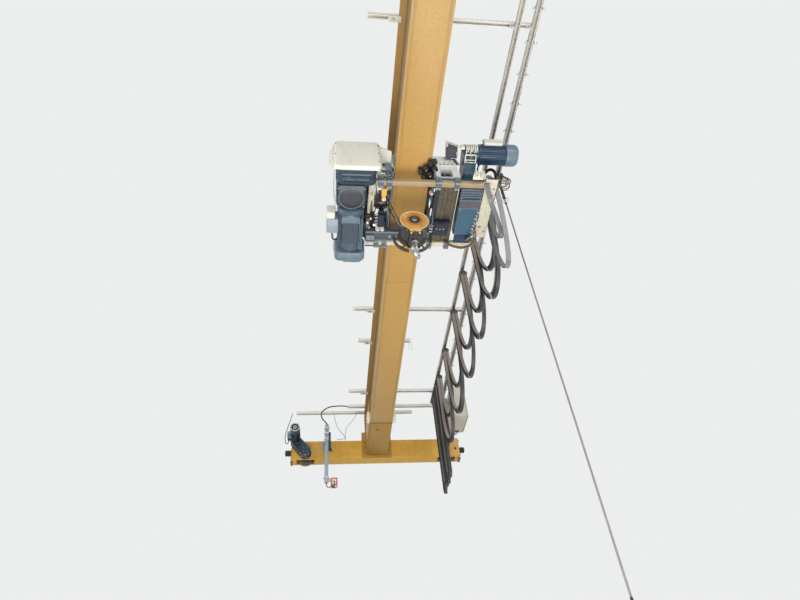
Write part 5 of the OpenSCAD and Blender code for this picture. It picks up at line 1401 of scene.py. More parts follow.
def makeBlockCovers(b):
    y, z, r = b["y"], b["z"], b["cover"]
    shells = []
    for side in (-1, 1):
        # dished cover: flat rim, soft step, shallow cone up to the hub
        profile = [(0.026, -0.012), (0.1145, -0.012), (0.1165, -0.024), (r - 0.001, -0.024), (r, -0.022),
                   (r, -0.007), (r - 0.002, -0.0025),
                   (r - 0.007, -0.001), (r - 0.014, -0.003), (r - 0.018, -0.0055), (r - 0.03, -0.006),
                   (0.06, -0.0035), (0.05, -0.0005),
                   (0.044, 0.0), (0.026, 0.0)]
        shells.append(lathe(profile, (0, y + side * b["half"], z), (0, side, 0), 120))
    piece("blockFrontCover", [shells[0]], "blockOrange", "hook_block",
          replaces="block_covers", angle=40)
    # the rear cover gets the darker orange as painted shade
    piece("blockRearCover", [shells[1]], "blockShade", "hook_block", angle=40)
    # a rim worn pale, and a darker band round the hub
    front = (0, y - b["half"], z)
    worn = [(r - 0.0022, -0.0021), (r - 0.007, -0.0005), (r - 0.0125, -0.0021), (r - 0.0125, -0.007),
            (r - 0.0022, -0.007)]
    piece("blockRim", [ringLathe(worn, front, (0, -1, 0), 120)], "rimWorn", "hook_block",
          angle=60)
    band = [(0.049, -0.004), (0.049, 0.0003), (0.06, -0.003), (0.068, -0.0036), (0.068, -0.008)]
    piece("blockHubBand", [ringLathe(band, front, (0, -1, 0), 120)], "bandOrange", "hook_block",
          angle=60)
    hubs, pins = [], []
    for side in (-1, 1):
        base = (0, y + side * (b["half"] - 0.001), z)
        hubs.append(lathe([(0.03, 0), (0.046, 0.001), (0.047, 0.004), (0.044, 0.0075), (0.038, 0.008),
                           (0.035, 0.0045), (0.0225, 0.004), (0.0225, 0.0)],
                          base, (0, side, 0), 72))
        pins.append(lathe([(0.0218, 0), (0.0218, 0.013), (0.019, 0.0155), (0.006, 0.0155), (0.005, 0.012),
                           (tip, 0.012)], base, (0, side, 0), 48))
    piece("blockHubRings", hubs, "blockBlack", "hook_block", angle=40)
    piece("blockPinEnds", pins, "latchZinc", "hook_block", angle=40)
    keeper = [block((-0.017, y - 0.117, z + 0.004), (0.017, y - 0.1145, z + 0.0095)),
              block((-0.017, y - 0.117, z - 0.0095), (0.017, y - 0.1145, z - 0.004))]
    piece("blockKeepers", keeper, "blockBlack", "hook_block", bevel=0.0008)
    # black guard straps down the front's sides, rim strips, and wider guards at the rear
    strap = [(-0.157, -0.222), (-0.159, -0.25), (-0.157, -0.3), (-0.152, -0.345), (-0.142, -0.38),
             (-0.122, -0.412), (-0.098, -0.436)]
    line = smoothPath([(x, y - 0.09, z0) for x, z0 in strap], 8)
    flat = [(-0.003, -0.012), (0.003, -0.012), (0.003, 0.012), (-0.003, 0.012)]
    straps = sweep(line, flat, (0, 1, 0))
    # a thin pale-grey round strip along each strap's front edge is a painted glint
    edge = sweep(line + (0.0, -0.0125, 0.0), circle(0.0022, 8), (0, 1, 0))
    guard = [straps, flipped(straps, 0)]
    for drop, inner, outer, y0, y1, start, end in ((0, r + 0.0005, r + 0.006, y - 0.098, y - 0.07, 196,
                                                    246),
                                                   (0.012, 0.152, 0.162, y + 0.078, y + 0.11, 172, 256),
                                                   (0, 0.1125, 0.1175, y - 0.075, y + 0.075, 190, 246)):
        for a0, a1 in ((start, end), (540 - end, 540 - start)):
            guard.append(arcBand((0, z - drop), inner, outer, y0, y1, a0, a1))
    for a in (184, 232, 308, 356):
        # stays from the rear cover out to its guard
        c, s = cos(radians(a)), sin(radians(a))
        guard.append(rod((0.118 * c, y + 0.092, z - 0.006 + 0.118 * s),
                         (0.154 * c, y + 0.092, z - 0.012 + 0.154 * s), 0.006, 12))
        guard.append(rod((0.122 * c * 0.98, y - 0.09, z + 0.122 * s * 0.98),
                         (0.145 * c, y - 0.09, z + 0.145 * s), 0.004, 12))
    piece("blockGuards", guard, "blockBlack", "hook_block", bevel=0.0012)
    piece("blockGuardGlints", [edge, flipped(edge, 0)], "terminalGrey", "hook_block",
          angle=60)
    skirt = [arcBand((0, z), r - 0.003, r + 0.0045, y - 0.1, y - 0.045, 250, 290)]
    piece("blockSkirt", skirt, "blockOrange", "hook_block", bevel=0.0015)
    rim = []
    for a in (160, 200, 238, 302, 340, 378):
        c, s = cos(radians(a)), sin(radians(a))
        rim += [screw(((r + 0.0058) * c, y - 0.084, z + (r + 0.0058) * s), (c, 0, s), 0.005, 0.0035)]
        rim += [screw(((r - 0.011) * c, y - 0.1, z + (r - 0.011) * s), (0, -1, 0), 0.004, 0.002)]
    piece("blockRimScrews", rim, "boltZinc", "hook_block")


def makeBlockFrame(b):
    dressed("block_sheaves", "drumSteel", 0, angle=30)
    y, z = b["y"], b["z"]
    shells = []
    for side in (-1, 1):
        # cheek plates: waisted outline drawn in towards the crosshead
        half = np.array([(0.055, 0.04), (0.055, -0.06), (0.05, -0.1), (0.052, -0.118), (0.052, -0.15),
                         (0.047, -0.155)])
        outline = np.concatenate([half, half[::-1] * (-1, 1)])
        shells.append(slab(outline + (0, z), 1, y + side * 0.062 - 0.007, y + side * 0.062 + 0.007))
    bar = drawnIn((-0.05, y - 0.056), (0.05, y + 0.056), 0.02, (0.004, 0, 0, 0.004),
                  (z - 0.153, z - 0.15, z - 0.14, z - 0.137), axis=2)
    pin = lathe([(0.025, -0.1), (0.025, 0.1)], (0, y, z), (0, 1, 0), 40)
    trunnions = [lathe([(0.02, 0), (0.02, 0.016), (0.014, 0.02)], (0, y + side * 0.069, z - 0.145),
                       (0, side, 0), 36) for side in (-1, 1)]
    piece("blockFrame", shells, "blockBlack", "hook_block", bevel=0.0025,
          replaces="block_frame")
    piece("blockCrosshead", [bar, pin, trunnions], "blockBlack", "hook_block", angle=40)
    bearing = lathe([(0.02, 0), (0.04, 0), (0.041, 0.002), (0.041, 0.006), (0.036, 0.007), (0.02, 0.007)],
                    (0, y, z - 0.1375), (0, 0, 1), 48)
    piece("blockBearing", [bearing], "drumSteel", "hook_block", angle=40)
    nuts = []
    for side in (-1, 1):
        for x in (-0.034, 0.034):
            nuts += bolt((x, y + side * 0.069, z - 0.13), (0, side, 0), 0.014, 0.009)
            nuts += bolt((x, y + side * 0.069, z - 0.02), (0, side, 0), 0.014, 0.009)
    piece("blockBolts", nuts, "boltZinc", "hook_block")


def turnedHook(shell, b):
    # the hook stands turned about its shank
    points, faces = shell
    c, s = cos(radians(b["hookTurn"])), sin(radians(b["hookTurn"]))
    x, y = points[:, 0], points[:, 1] - b["y"]
    return np.stack([x * c + y * s, b["y"] - x * s + y * c, points[:, 2]], axis=1), faces


def makeHook(b):
    y, z = b["y"], b["z"] - b["hookDrop"]
    # centre line: a spiral about the bowl, radius = bowl + 0.075 e^(-(a - 90) / 22)
    s = np.linspace(0, 1, 150)
    a = 90 + 300 * s
    r = b["bowl"] + 0.8 * b["girth"] + 0.075 * np.exp(-(a - 90) / 22)
    line = np.stack([np.zeros_like(s), y + r * np.cos(np.radians(a)), z + r * np.sin(np.radians(a))],
                    axis=1)
    girth = b["girth"] * (0.62 + 0.38 * np.sin(pi * np.minimum(1, s * 1.3)) - 0.3 * s ** 4)
    girth[-5:] *= np.array([0.96, 0.88, 0.74, 0.52, 0.2])
    # section: a trapezoid with full corners, broad towards the bowl
    t = np.arange(36) * 2 * pi / 36
    broad = 1 + 0.14 * np.sin(t)
    sect = np.stack([0.82 * np.sign(np.cos(t)) * np.abs(np.cos(t)) ** 0.8 * broad,
                     np.sign(np.sin(t)) * np.abs(np.sin(t)) ** 0.85], axis=1)
    hookShell = sweep(line, sect, (1, 0, 0), girth=girth)
    shank = lathe([(0.0175, 0.112), (0.018, 0.13), (0.018, 0.16), (0.0165, 0.163), (0.0165, 0.166)],
                  (0, y, z), (0, 0, 1), 48)
    collar = lathe([(0.015, 0.108), (0.0255, 0.112), (0.027, 0.117), (0.0255, 0.122), (0.018, 0.125)],
                   (0, y, z), (0, 0, 1), 48)
    nut = lathe([(0.018, -0.1347), (0.034, -0.1347), (0.034, -0.117), (0.031, -0.1135), (0.018, -0.113),
                 (0.012, -0.1095), (tip, -0.1095)],
                (0, y, b["z"]), (0, 0, 1), 6)
    neck = lathe([(0.0165, 0.16), (0.0165, 0.17)], (0, y, z), (0, 0, 1), 24)
    lug = [block((-0.006, y - 0.012, z + 0.09), (0.006, y + 0.01, z + 0.104), axis=0, radius=0.004)]
    piece("hook", [turnedHook(hookShell, b), shank, collar, neck], "hookSteel", "hook",
          replaces="hook", angle=70)
    piece("hookNut", [turnedHook(nut, b)], "hookSteel", "hook", bevel=0.001)
    piece("hookLug", [turnedHook(shell, b) for shell in lug], "hookSteel", "hook",
          bevel=0.001)
    dressed("hook_latch", "latchZinc", 0.0006)
    ly, lz = y + b["latch"][0], z + b["latch"][1]
    coil = np.linspace(0, 5 * 2 * pi, 120)
    spring = np.stack([-0.006 + 0.012 * coil / coil[-1], ly + 0.0052 * np.cos(coil),
                       lz + 0.0052 * np.sin(coil)], axis=1)
    piece("latchSpring", [turnedHook(sweep(spring, circle(0.0007, 6), (1, 0, 0)), b)], "latchZinc", "latch",
          angle=80)


def makeRopeFalls(b):
    # six strands laid round a core: the radius swells six times around and the lobes turn as they run down
    start = np.array([b["upperX"] - b["upperR"] + 0.008 - b["rope"] / 2 - 0.0003, 0, b["upperZ"]])
    end = np.array([b["sheave"] - 0.01 + b["rope"] / 2 + 0.0003, 0, b["z"]])
    s = np.linspace(0, 1, 121)
    t = np.arange(48) * 2 * pi / 48
    way = (end - start) / np.linalg.norm(end - start)
    across = np.array([0, 1.0, 0])
    other = np.cross(way, across)
    turn = s * np.linalg.norm(end - start) / 0.07 * 2 * pi
    r = b["rope"] / 2 * (0.86 + 0.14 * np.abs(np.cos(3 * (t[None, :] - turn[:, None]))))
    line = start + s[:, None] * (end - start)
    ring = np.cos(t)[:, None] * across + np.sin(t)[:, None] * other
    points = line[:, None, :] + r[:, :, None] * ring
    shells = []
    lanes = (b["y"] - 0.03, b["y"] + 0.03)
    for y in lanes:
        fall = points + (0, y, 0)
        shells.append(surface(fall, wrapV=True, capU=True))
        shells.append(surface((fall * (-1, 1, 1))[::-1], wrapV=True, capU=True))
    ropes = piece("ropeFalls", shells, "wireRope", None, replaces="rope_falls", angle=80,
                  merge=False)
    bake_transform(ropes)
    # rope lying in the sheaves' grooves
    wraps = []
    for y in lanes:
        a = np.radians(np.linspace(180, 360, 60))
        rr = b["sheave"] - 0.0045
        low = np.stack([rr * np.cos(a), np.full(60, y), b["z"] + rr * np.sin(a)], axis=1)
        wraps.append(sweep(low, circle(b["rope"] / 2, 12), (0, 1, 0)))
    piece("blockRope", wraps, "wireRope", "hook_block", angle=80)
    tops = []
    for sign in (-1, 1):
        for y in lanes:
            a = np.radians(np.linspace(180, 360 if sign > 0 else 390, 50) - 180)
            rr = b["upperR"] - 0.003
            top = np.stack([sign * (b["upperX"] - rr * np.cos(a)), np.full(50, y),
                            b["upperZ"] + rr * np.sin(a)], axis=1)
            tops.append(sweep(top, circle(b["rope"] / 2, 12), (0, 1, 0)))
    piece("sheaveRope", tops, "wireRope", "trolley", angle=80)


for maker in (makeBlockCovers, makeBlockFrame, makeHook, makeRopeFalls):
    maker(hookBlock)
print("hook block made")

# Bridge: girder with its welds, end carriages, travel drives, arms and rails, panel, mast and collector
bridge = {
    "half": 6.0, "girderEnd": 5.9, "boxStart": 5.06, "upperEnd": 6.05, "flange": 0.15, "underside": 0.06,
    "flangeTop": 0.08,
    "web": 0.087, "webTop": 0.815, "top": 0.83, "headTop": 0.43, "headBolts": (0.185, (0.08, 0.17, 0.27)),
    "butt": 2.47,
    "face": 5.92, "outerFace": 6.08, "carriageLow": 0.03, "carriageTop": 0.31, "carriageEnd": 1.185,
    "capEnd": 1.197,
    "wheelX": 1.0, "wheelZ": 0.1, "bar": 0.041, "arms": [0.21 + 1.75 * k for k in range(-3, 4)],
    "shortArm": 4.3225, "festoonX": 0.84, "controlX": 0.98, "railZ": 0.8095, "railEnd": 5.7,
}


def makeGirder(b):
    for node, finish, bevel in (("girder_bottom_flange", "flangeYellow", 0.002),
                                ("girder_top_flange", "girderYellow", 0.002),
                                ("girder_webs", "webShadeYellow", 0.001),
                                ("girder_end_boxes", "boxYellow", 0.002),
                                ("head_plates", "boxYellow", 0.002)):
        dressed(node, finish, bevel)
    w, reach = b["web"] + 0.001, b["girderEnd"]
    beads = []
    for side in (-1, 1):
        beads.append(weldBead((side * w, -reach, b["flangeTop"]), (side * w, reach, b["flangeTop"]), 0.005,
                              (0, 0, 1), 0.016))
        beads.append(weldBead((side * w, -b["upperEnd"], b["webTop"]),
                              (side * w, b["upperEnd"], b["webTop"]), 0.005, (0, 0, 1), 0.016))
        for y in (-b["butt"], b["butt"]):
            beads.append(weldBead((side * b["web"], y, b["flangeTop"]), (side * b["web"], y, b["webTop"]),
                                  0.0028, (0, 1, 0)))
    for y in (-b["butt"], b["butt"]):
        beads.append(weldBead((-b["flange"] + 0.004, y, b["underside"] + 0.001),
                              (b["flange"] - 0.004, y, b["underside"] + 0.001), 0.0026, (0, 0, 1)))
    for sign in (-1, 1):
        y = sign * b["boxStart"]
        for x in (-b["flange"], b["flange"]):
            beads.append(weldBead((x, y, b["flangeTop"]), (x, y, b["headTop"]), 0.003, (0, 1, 0)))
            beads.append(weldBead((x, y, b["flangeTop"] - 0.001),
                                  (x, sign * b["girderEnd"], b["flangeTop"] - 0.001), 0.003, (0, 0, 1)))
    piece("girderWelds", beads, "webShadeYellow", "bridge", angle=60)
    # a dark weld bead across the underside where each end box starts; its dark colour is painted shadow along
    # the step
    joint = [weldBead((-b["flange"], b["boxStart"], b["underside"]),
                      (b["flange"], b["boxStart"], b["underside"]), 0.007, (0, 0, 1))]
    piece("boxJoints", bothEnds(joint), "panDark", "bridge", angle=60)
    # a black disc at each drain hole: the hole's dark inside as painted shade
    drain = [lathe([(tip, 0), (0.011, 0), (0.011, 0.0012), (tip, 0.0012)], (-0.039, 5.229, 0.0601),
                   (0, 0, -1), 24)]
    piece("drainHoles", bothEnds(drain), "cableBlack", "bridge")
    bolts = []
    across, heights = b["headBolts"]
    for x in (-across, across):
        for z in heights:
            bolts += bolt((x, b["girderEnd"], z), (0, -1, 0), 0.03, 0.014)
            bolts += bolt((x, b["face"] + 0.008, z), (0, 1, 0), 0.03, 0.018)
    piece("headBolts", bothEnds(bolts), "boxYellow", "bridge")
    # curved stops: a quarter hollow between two flats, pale where the wheels would meet it
    dressed("trolley_end_stops", "stopPale", 0.002)
    lugs = []
    for side in (-1, 1):
        low, high = sorted((side * (b["flange"] - 0.001), side * (b["flange"] + 0.038)))
        lugs.append(block((low, b["boxStart"] - 0.1, b["underside"] - 0.004),
                          (high, b["boxStart"] - 0.004, b["flangeTop"] + 0.09), axis=1, radius=0.012))
    piece("stopLugs", bothEnds(lugs), "stopPale", "bridge", bevel=0.001)


def makeCarriages(b):
    dressed("far_end_carriage", "carriageYellow", 0.002)
    dressed("near_end_carriage", "carriageYellow", 0.002)
    x1, xc, z0, z1 = b["carriageEnd"], b["capEnd"], b["carriageLow"], b["carriageTop"]
    bolts, nuts = [], []
    # bearing plate on the box's inner face, with its one large bolt
    plates = [block((x1 - 0.115, b["face"] - 0.012, z0 + 0.004), (x1 - 0.002, b["face"], z1 + 0.004),
                    axis=1, radius=0.012)]
    plugs = bolt((x1 - 0.045, b["face"] - 0.012, 0.15), (0, -1, 0), 0.02, 0.012)
    piece("endPlateBolts", bothEnds(plugs), "panDark", "bridge")
    for side in (-1, 1):
        for z in (z0 + 0.03, z1 - 0.03):
            for y in (b["face"] + 0.015, b["outerFace"] - 0.015):
                bolts += bolt((side * xc, y, z), (side, 0, 0), 0.024, 0.012)
        for face, way, caps in ((b["outerFace"] + 0.014, 1, True), (b["face"] - 0.014, -1, side > 0)):
            if caps:
                for k in range(6):
                    a = radians(30 + 60 * k)
                    nuts += bolt((side * b["wheelX"] + 0.049 * cos(a), face, b["wheelZ"] + 0.049 * sin(a)),
                                 (0, way, 0), 0.013, 0.008, washer=False)
                nuts += bolt((side * b["wheelX"], face + way * 0.012, b["wheelZ"]), (0, way, 0), 0.036,
                             0.012, washer=False)
    piece("carriageEndPlates", bothEnds(plates), "capYellow", "bridge", bevel=0.002)
    piece("carriageBolts", bothEnds(bolts + nuts), "boltZinc", "bridge")
    # foot guards that sweep the rail ahead of each wheel
    scrapers = []
    for side in (-1, 1):
        scrapers.append(slab([(side * xc, 0.03), (side * (xc + 0.008), 0.03), (side * (xc + 0.008), 0.008),
                              (side * (xc - 0.01), 0.004), (side * (xc - 0.018), 0.006),
                              (side * xc, 0.014)],
                             1, b["half"] - 0.05, b["half"] + 0.05))
    piece("railSweeps", bothEnds(scrapers), "panDark", "bridge", bevel=0.001)
    # runway wheels: turned treads with a hub ring and a dished web
    wheels = []
    profile = [(tip, -0.072), (0.025, -0.072), (0.025, -0.044), (0.04, -0.042), (0.045, -0.032),
               (0.088, -0.03), (0.094, -0.042), (0.1135, -0.042),
               (0.115, -0.04), (0.115, -0.034), (0.111, -0.031), (0.1, -0.028), (0.1, 0.028),
               (0.111, 0.031), (0.115, 0.034), (0.115, 0.04), (0.1135, 0.042),
               (0.094, 0.042), (0.088, 0.03), (0.045, 0.032), (0.04, 0.042), (0.025, 0.044), (0.025, 0.072),
               (tip, 0.072)]
    for x in (-b["wheelX"], b["wheelX"]):
        wheels.append(lathe(profile, (x, b["half"], b["wheelZ"]), (0, 1, 0), 80))
    piece("runwayWheels", bothEnds(wheels), "wheelSteel", "bridge",
          replaces="carriage_wheels", angle=30)
    # cellular buffers: soft waists between three ribs, on a steel base
    buffers, bases = [], []
    s = np.linspace(0, 1, 25)
    skin = 0.041 + 0.0035 * np.cos(s * 2 * pi * 2.5)
    skin[-3:] -= np.array([0.001, 0.004, 0.011])
    for side in (-1, 1):
        z = (z0 + z1) / 2
        rows = [(tip, 0.008)] + list(zip(skin.tolist(), (0.008 + s * 0.082).tolist())) + [(tip, 0.09)]
        buffers.append(lathe(rows, (side * xc, b["half"], z), (side, 0, 0), 56))
        bases.append(lathe([(0.049, 0), (0.051, 0.002), (0.051, 0.007), (0.048, 0.009), (0.03, 0.009)],
                           (side * xc, b["half"], z), (side, 0, 0), 56))
    piece("buffers", bothEnds(buffers), "bufferRubber", "bridge",
          replaces="carriage_buffers", angle=40)
    piece("bufferBases", bothEnds(bases), "deepBlue", "bridge", angle=40)


travelDrive = {"axle": (-1.0, 0.1), "motor": (-1.137, 0.266), "back": 5.908, "front": 5.79,
               "radius": 0.0675, "length": 0.33}


def makeTravelDrives(t, b):
    outline = linkOutline(t["axle"], 0.08, t["motor"], 0.0735)
    y0, y1 = t["front"], t["back"]
    casing = linkBody(outline, 1, (0.018, 0.005, 0, 0, 0.004, 0.013, 0.013, 0.004, 0, 0, 0.004),
                      (y0, y0 + 0.006, y0 + 0.012, y0 + 0.034, y0 + 0.037, y0 + 0.044, y0 + 0.078,
                       y0 + 0.086, y0 + 0.09, y1 - 0.003, y1))
    (ax, az), (mx, mz) = t["axle"], t["motor"]
    boss = lathe([(0.05, 0), (0.07, 0), (0.07, b["face"] - y1 + 0.0004), (0.05, b["face"] - y1 + 0.0004)],
                 (ax, y1, az), (0, 1, 0), 56)
    cap = lathe([(0.02, 0), (0.048, 0), (0.048, 0.01), (0.044, 0.014), (0.018, 0.0145), (0.016, 0.012),
                 (tip, 0.012)], (ax, y0, az), (0, -1, 0), 56)
    shells = [casing, boss, cap]
    piece("travelGearboxes", bothEnds(shells), "travelBlue", "bridge",
          replaces="travel_gearboxes", angle=40)
    middle = outline.mean(axis=0)
    bolts = []
    for k in range(0, 56, 7):
        p = middle + (outline[k] - middle) * 0.93
        bolts += bolt((p[0], y0 + 0.008, p[1]), (0, -1, 0), 0.013, 0.008, washer=False)
    for k in range(4):
        a = pi / 4 + k * pi / 2
        bolts += bolt((ax + 0.036 * cos(a), y0 - 0.014, az + 0.036 * sin(a)), (0, -1, 0), 0.01, 0.006,
                      washer=False)
    bolts.append(lathe([(0.012, 0), (0.012, 0.006), (0.008, 0.008), (0.008, 0.016)],
                       (ax - 0.045, y0 + 0.06, az - 0.055), (-0.4, 0, -1), 6))
    piece("travelGearboxBolts", bothEnds(bolts), "boltZinc", "bridge")
    # motor: end flange, finned body and fan cover, its open end ringed round a spoked hub
    r, length = t["radius"], t["length"]
    finned = 0.235
    angle = np.linspace(0, 2 * pi, 361)[:-1]
    at = np.array([0.014, 0.018, 0.024, finned - 0.01, finned - 0.004, finned])
    rise = np.array([0.1, 0.8, 1, 1, 0.8, 0.1])
    rr = r - 0.012 + 0.0115 * rise[:, None] * (np.cos(angle * 30) > 0.15)[None, :]
    flange = lathe([(0.05, 0), (r, 0), (r + 0.002, 0.002), (r + 0.002, 0.011), (r - 0.004, 0.014),
                    (0.05, 0.018)], (mx, y0, mz), (0, -1, 0), 64)
    piece("travelMotors", bothEnds([flange, ridged(rr, y0 - at, (mx, mz), 1)]), "travelBlue", "bridge",
          replaces="travel_motors", angle=30)
    end = y0 - length
    cowl = [ringLathe([(r - 0.008, 0), (r, 0.002), (r, 0.078), (r - 0.0015, 0.086), (r - 0.005, 0.091),
                       (r - 0.012, 0.0925), (r - 0.016, 0.09), (r - 0.017, 0.0)],
                  (mx, y0 - finned - 0.002, mz), (0, -1, 0), 72)]
    piece("travelFanCovers", bothEnds(cowl), "travelBlue", "bridge", angle=45)
    ring = [ringLathe([(r - 0.0155, 0), (r - 0.004, 0), (r - 0.002, 0.0015), (r - 0.004, 0.003),
                       (r - 0.0145, 0.003), (r - 0.016, 0.0015)], (mx, end - 0.0005, mz), (0, -1, 0), 72),
            ringLathe([(0.015, -0.01), (0.023, -0.01), (0.024, 0), (0.022, 0.002), (0.015, 0.001)],
                      (mx, end, mz), (0, -1, 0), 48)]
    for k in range(3):
        a = radians(90 + 120 * k)
        ring.append(rod((mx + 0.006 * cos(a), end + 0.003, mz + 0.006 * sin(a)),
                        (mx + 0.02 * cos(a), end + 0.003, mz + 0.02 * sin(a)), 0.003, 10))
    piece("travelFanRims", bothEnds(ring), "fanRim", "bridge", angle=50)
    # a black disc inside each fan cover's open end: its dark inside as painted shade
    dark = [lathe([(tip, 0), (r - 0.015, 0), (r - 0.015, 0.004), (tip, 0.004)], (mx, end + 0.012, mz),
                  (0, -1, 0), 48)]
    piece("travelFanWells", bothEnds(dark), "blockBlack", "bridge", angle=50)
    x0, x1 = mx - 0.1095, mx - 0.0515
    case = drawnIn((x0, mz - 0.045), (x1, mz + 0.045), 0.008, (0.003, 0, 0, 0.003),
                   (y0 - 0.144, y0 - 0.141, y0 - 0.043, y0 - 0.04))
    lid = drawnIn((x0 - 0.003, y0 - 0.146), (x1 - 0.012, y0 - 0.038), 0.008, (0.004, 0, 0),
                  (mz + 0.008, mz + 0.012, mz + 0.048), axis=2)
    piece("travelTerminalBoxes", bothEnds([case]), "fanBlue", "bridge", angle=45)
    piece("travelTerminalLids", bothEnds([lid]), "terminalGrey", "bridge", angle=45)
    glands = [lathe([(0.012, 0), (0.012, 0.01), (0.008, 0.012), (0.006, 0.022)],
                    (x0 + 0.02 + 0.022 * k, y0 - 0.09, mz - 0.044), (0, 0, -1), 12) for k in range(2)]
    piece("travelGlands", bothEnds(glands), "cableBlack", "bridge")
    lead = [tube([(x0 + 0.02, y0 - 0.09, mz - 0.06), (x0 + 0.015, y0 - 0.088, mz - 0.1),
                  (x0 - 0.02, y0 - 0.08, mz - 0.1), (x0 - 0.035, y0 - 0.06, mz + 0.02),
                  (x0 - 0.02, y0 + 0.04, mz + 0.2), (x0 + 0.01, y0 + 0.16, mz + 0.42),
                  (x0 + 0.03, y0 + 0.225, 0.835)], 0.005, 10)]
    piece("travelLeads", bothEnds(lead), "cableBlack", "bridge", angle=60)


def makeArmsAndRails(b):
    for node, finish in (("support_arms", "armPale"), ("festoon_rail", "railSteel"),
                         ("control_rail", "railSteel")):
        dressed(node, finish, 0.0007)
    conduit = [rod((b["controlX"] + b["bar"] / 2 + 0.0073, -b["railEnd"], b["railZ"]),
                   (b["controlX"] + b["bar"] / 2 + 0.0073, b["railEnd"], b["railZ"]), 0.007, 20)]
    half = b["bar"] / 2
    couplers = []
    for y in np.arange(-4.9, 5.0, 1.4):
        couplers.append(lathe([(0.007, -0.03), (0.0092, -0.029), (0.0092, 0.029), (0.007, 0.03)],
                              (b["controlX"] + half + 0.0073, y, b["railZ"]), (0, 1, 0), 20))
    piece("railConduit", conduit, "galvanised", "bridge", replaces="rail_conduit", angle=60)
    piece("conduitCouplers", couplers, "latchZinc", "bridge", angle=50)
    lugs, bolts, clips = [], [], []
    dressed("arm_clamps", "armPale", 0.001)
    for y in b["arms"] + [b["shortArm"]]:
        for side in (-1, 1):
            # a lug under the flange's edge holds the arm, its outer end rounded
            t = np.linspace(pi / 2, 3 * pi / 2, 15) if side < 0 else np.linspace(-pi / 2, pi / 2, 15)
            roundEnd = np.stack([side * 0.212 + 0.024 * np.cos(t), y + 0.024 * np.sin(t)], axis=1)
            square = [(side * 0.13, y - 0.024),
                      (side * 0.13, y + 0.024)] if side < 0 else [(side * 0.13, y + 0.024),
                                                                  (side * 0.13, y - 0.024)]
            lugs.append(slab(np.concatenate([roundEnd, square]), 2, b["top"] - 0.024, b["top"] - 0.0165))
            lugs.append(block((min(side * 0.152, side * 0.168), y - 0.024, b["top"] - 0.0165),
                              (max(side * 0.152, side * 0.168), y + 0.024, b["top"] + 0.0)))
            bolts += bolt((side * 0.198, y, b["top"] - 0.024), (0, 0, -1), 0.016, 0.01)
            bolts.append(rod((side * 0.198, y, b["top"] - 0.0165), (side * 0.198, y, b["top"] + 0.012),
                             0.005, 16))
            bolts.append(lathe([(0.012, 0), (0.012, 0.007), (0.005, 0.007)],
                               (side * 0.198, y, b["top"] + 0.006), (0, 0, 1), 6))
    for y in b["arms"]:
        for x in (b["festoonX"], b["controlX"]):
            # angle clips hang each rail from its arm
            clips.append(block((x - half - 0.04, y - 0.018, b["top"] - 0.0045),
                               (x - half, y + 0.018, b["top"])))
            clips.append(block((x - half - 0.0045, y - 0.018, b["railZ"] - half + 0.004),
                               (x - half, y + 0.018, b["top"])))
            bolts += bolt((x - half - 0.024, y, b["top"] - 0.0045), (0, 0, -1), 0.013, 0.008)
            bolts += bolt((x - half - 0.0045, y, b["railZ"] - 0.002), (-1, 0, 0), 0.011, 0.007,
                          washer=False)
    # two-knob clips gird the control rail and its conduit
    knobs = []
    left, right = b["controlX"] - half, b["controlX"] + half + 0.0145
    for k in range(40):
        y = -5.55 + 0.28 * k
        if min(abs(y - arm) for arm in b["arms"]) < 0.05:
            y += 0.06
        clips += [block((left - 0.0025, y - 0.011, b["railZ"] - 0.012),
                        (left, y + 0.011, b["railZ"] + half + 0.0025)),
                  block((left - 0.0025, y - 0.011, b["railZ"] + half),
                        (right + 0.0025, y + 0.011, b["railZ"] + half + 0.0025)),
                  block((right, y - 0.011, b["railZ"] - 0.012),
                        (right + 0.0025, y + 0.011, b["railZ"] + half + 0.0025))]
        for place, way in (((left - 0.0025, y, b["railZ"] - 0.004), -1),
                           ((right + 0.0025, y, b["railZ"] - 0.004), 1)):
            knobs.append(lathe([(0.0075, 0), (0.0075, 0.004), (0.0045, 0.005), (0.0045, 0.014),
                                (0.0078, 0.015), (0.0088, 0.019), (0.0078, 0.023), (0.004, 0.0245)],
                               place, (way, 0, 0), 16))
    piece("armLugs", lugs, "armPale", "bridge", bevel=0.0012)
    piece("armBolts", bolts, "boltZinc", "bridge")
    piece("railClips", clips, "latchZinc", "bridge", bevel=0.0006, segments=1)
    piece("conduitKnobs", knobs, "latchZinc", "bridge", angle=45)
    # splice sleeves over the rails' joints, and plugs in their ends
    sleeves, plugs = [], []
    for x in (b["festoonX"], b["controlX"]):
        for y in (-4.05, -1.05, 2.0, 4.95):
            for side in (-1, 1):
                low, high = sorted((x + side * half, x + side * (half + 0.003)))
                sleeves.append(block((low, y - 0.09, b["railZ"] - 0.016),
                                     (high, y + 0.09, b["railZ"] + 0.017), axis=0, radius=0.004))
        for side in (-1, 1):
            plugs.append(block((x - half - 0.002, side * b["railEnd"] - 0.004, b["railZ"] - half - 0.002),
                               (x + half + 0.002, side * b["railEnd"] + 0.006, b["railZ"] + half + 0.0),
                               axis=1, radius=0.005))
    piece("railSleeves", sleeves, "galvanised", "bridge", bevel=0.0008)
    piece("railPlugs", plugs, "cableBlack", "bridge", bevel=0.001)
    # a bent wire hangs from the short arm's right end
    y, x = b["shortArm"], 0.352
    wire = [(x, y, b["top"] + 0.004), (x, y - 0.004, b["top"] - 0.05),
            (x - 0.002, y - 0.012, b["top"] - 0.13), (x + 0.004, y - 0.014, b["top"] - 0.139),
            (x + 0.034, y - 0.012, b["top"] - 0.139), (x + 0.04, y - 0.01, b["top"] - 0.13),
            (x + 0.04, y - 0.004, b["top"] - 0.04), (x + 0.038, y, b["top"] + 0.004)]
    piece("hangingWire", [tube(wire, 0.0025, 8)], "latchZinc", "bridge", angle=60)


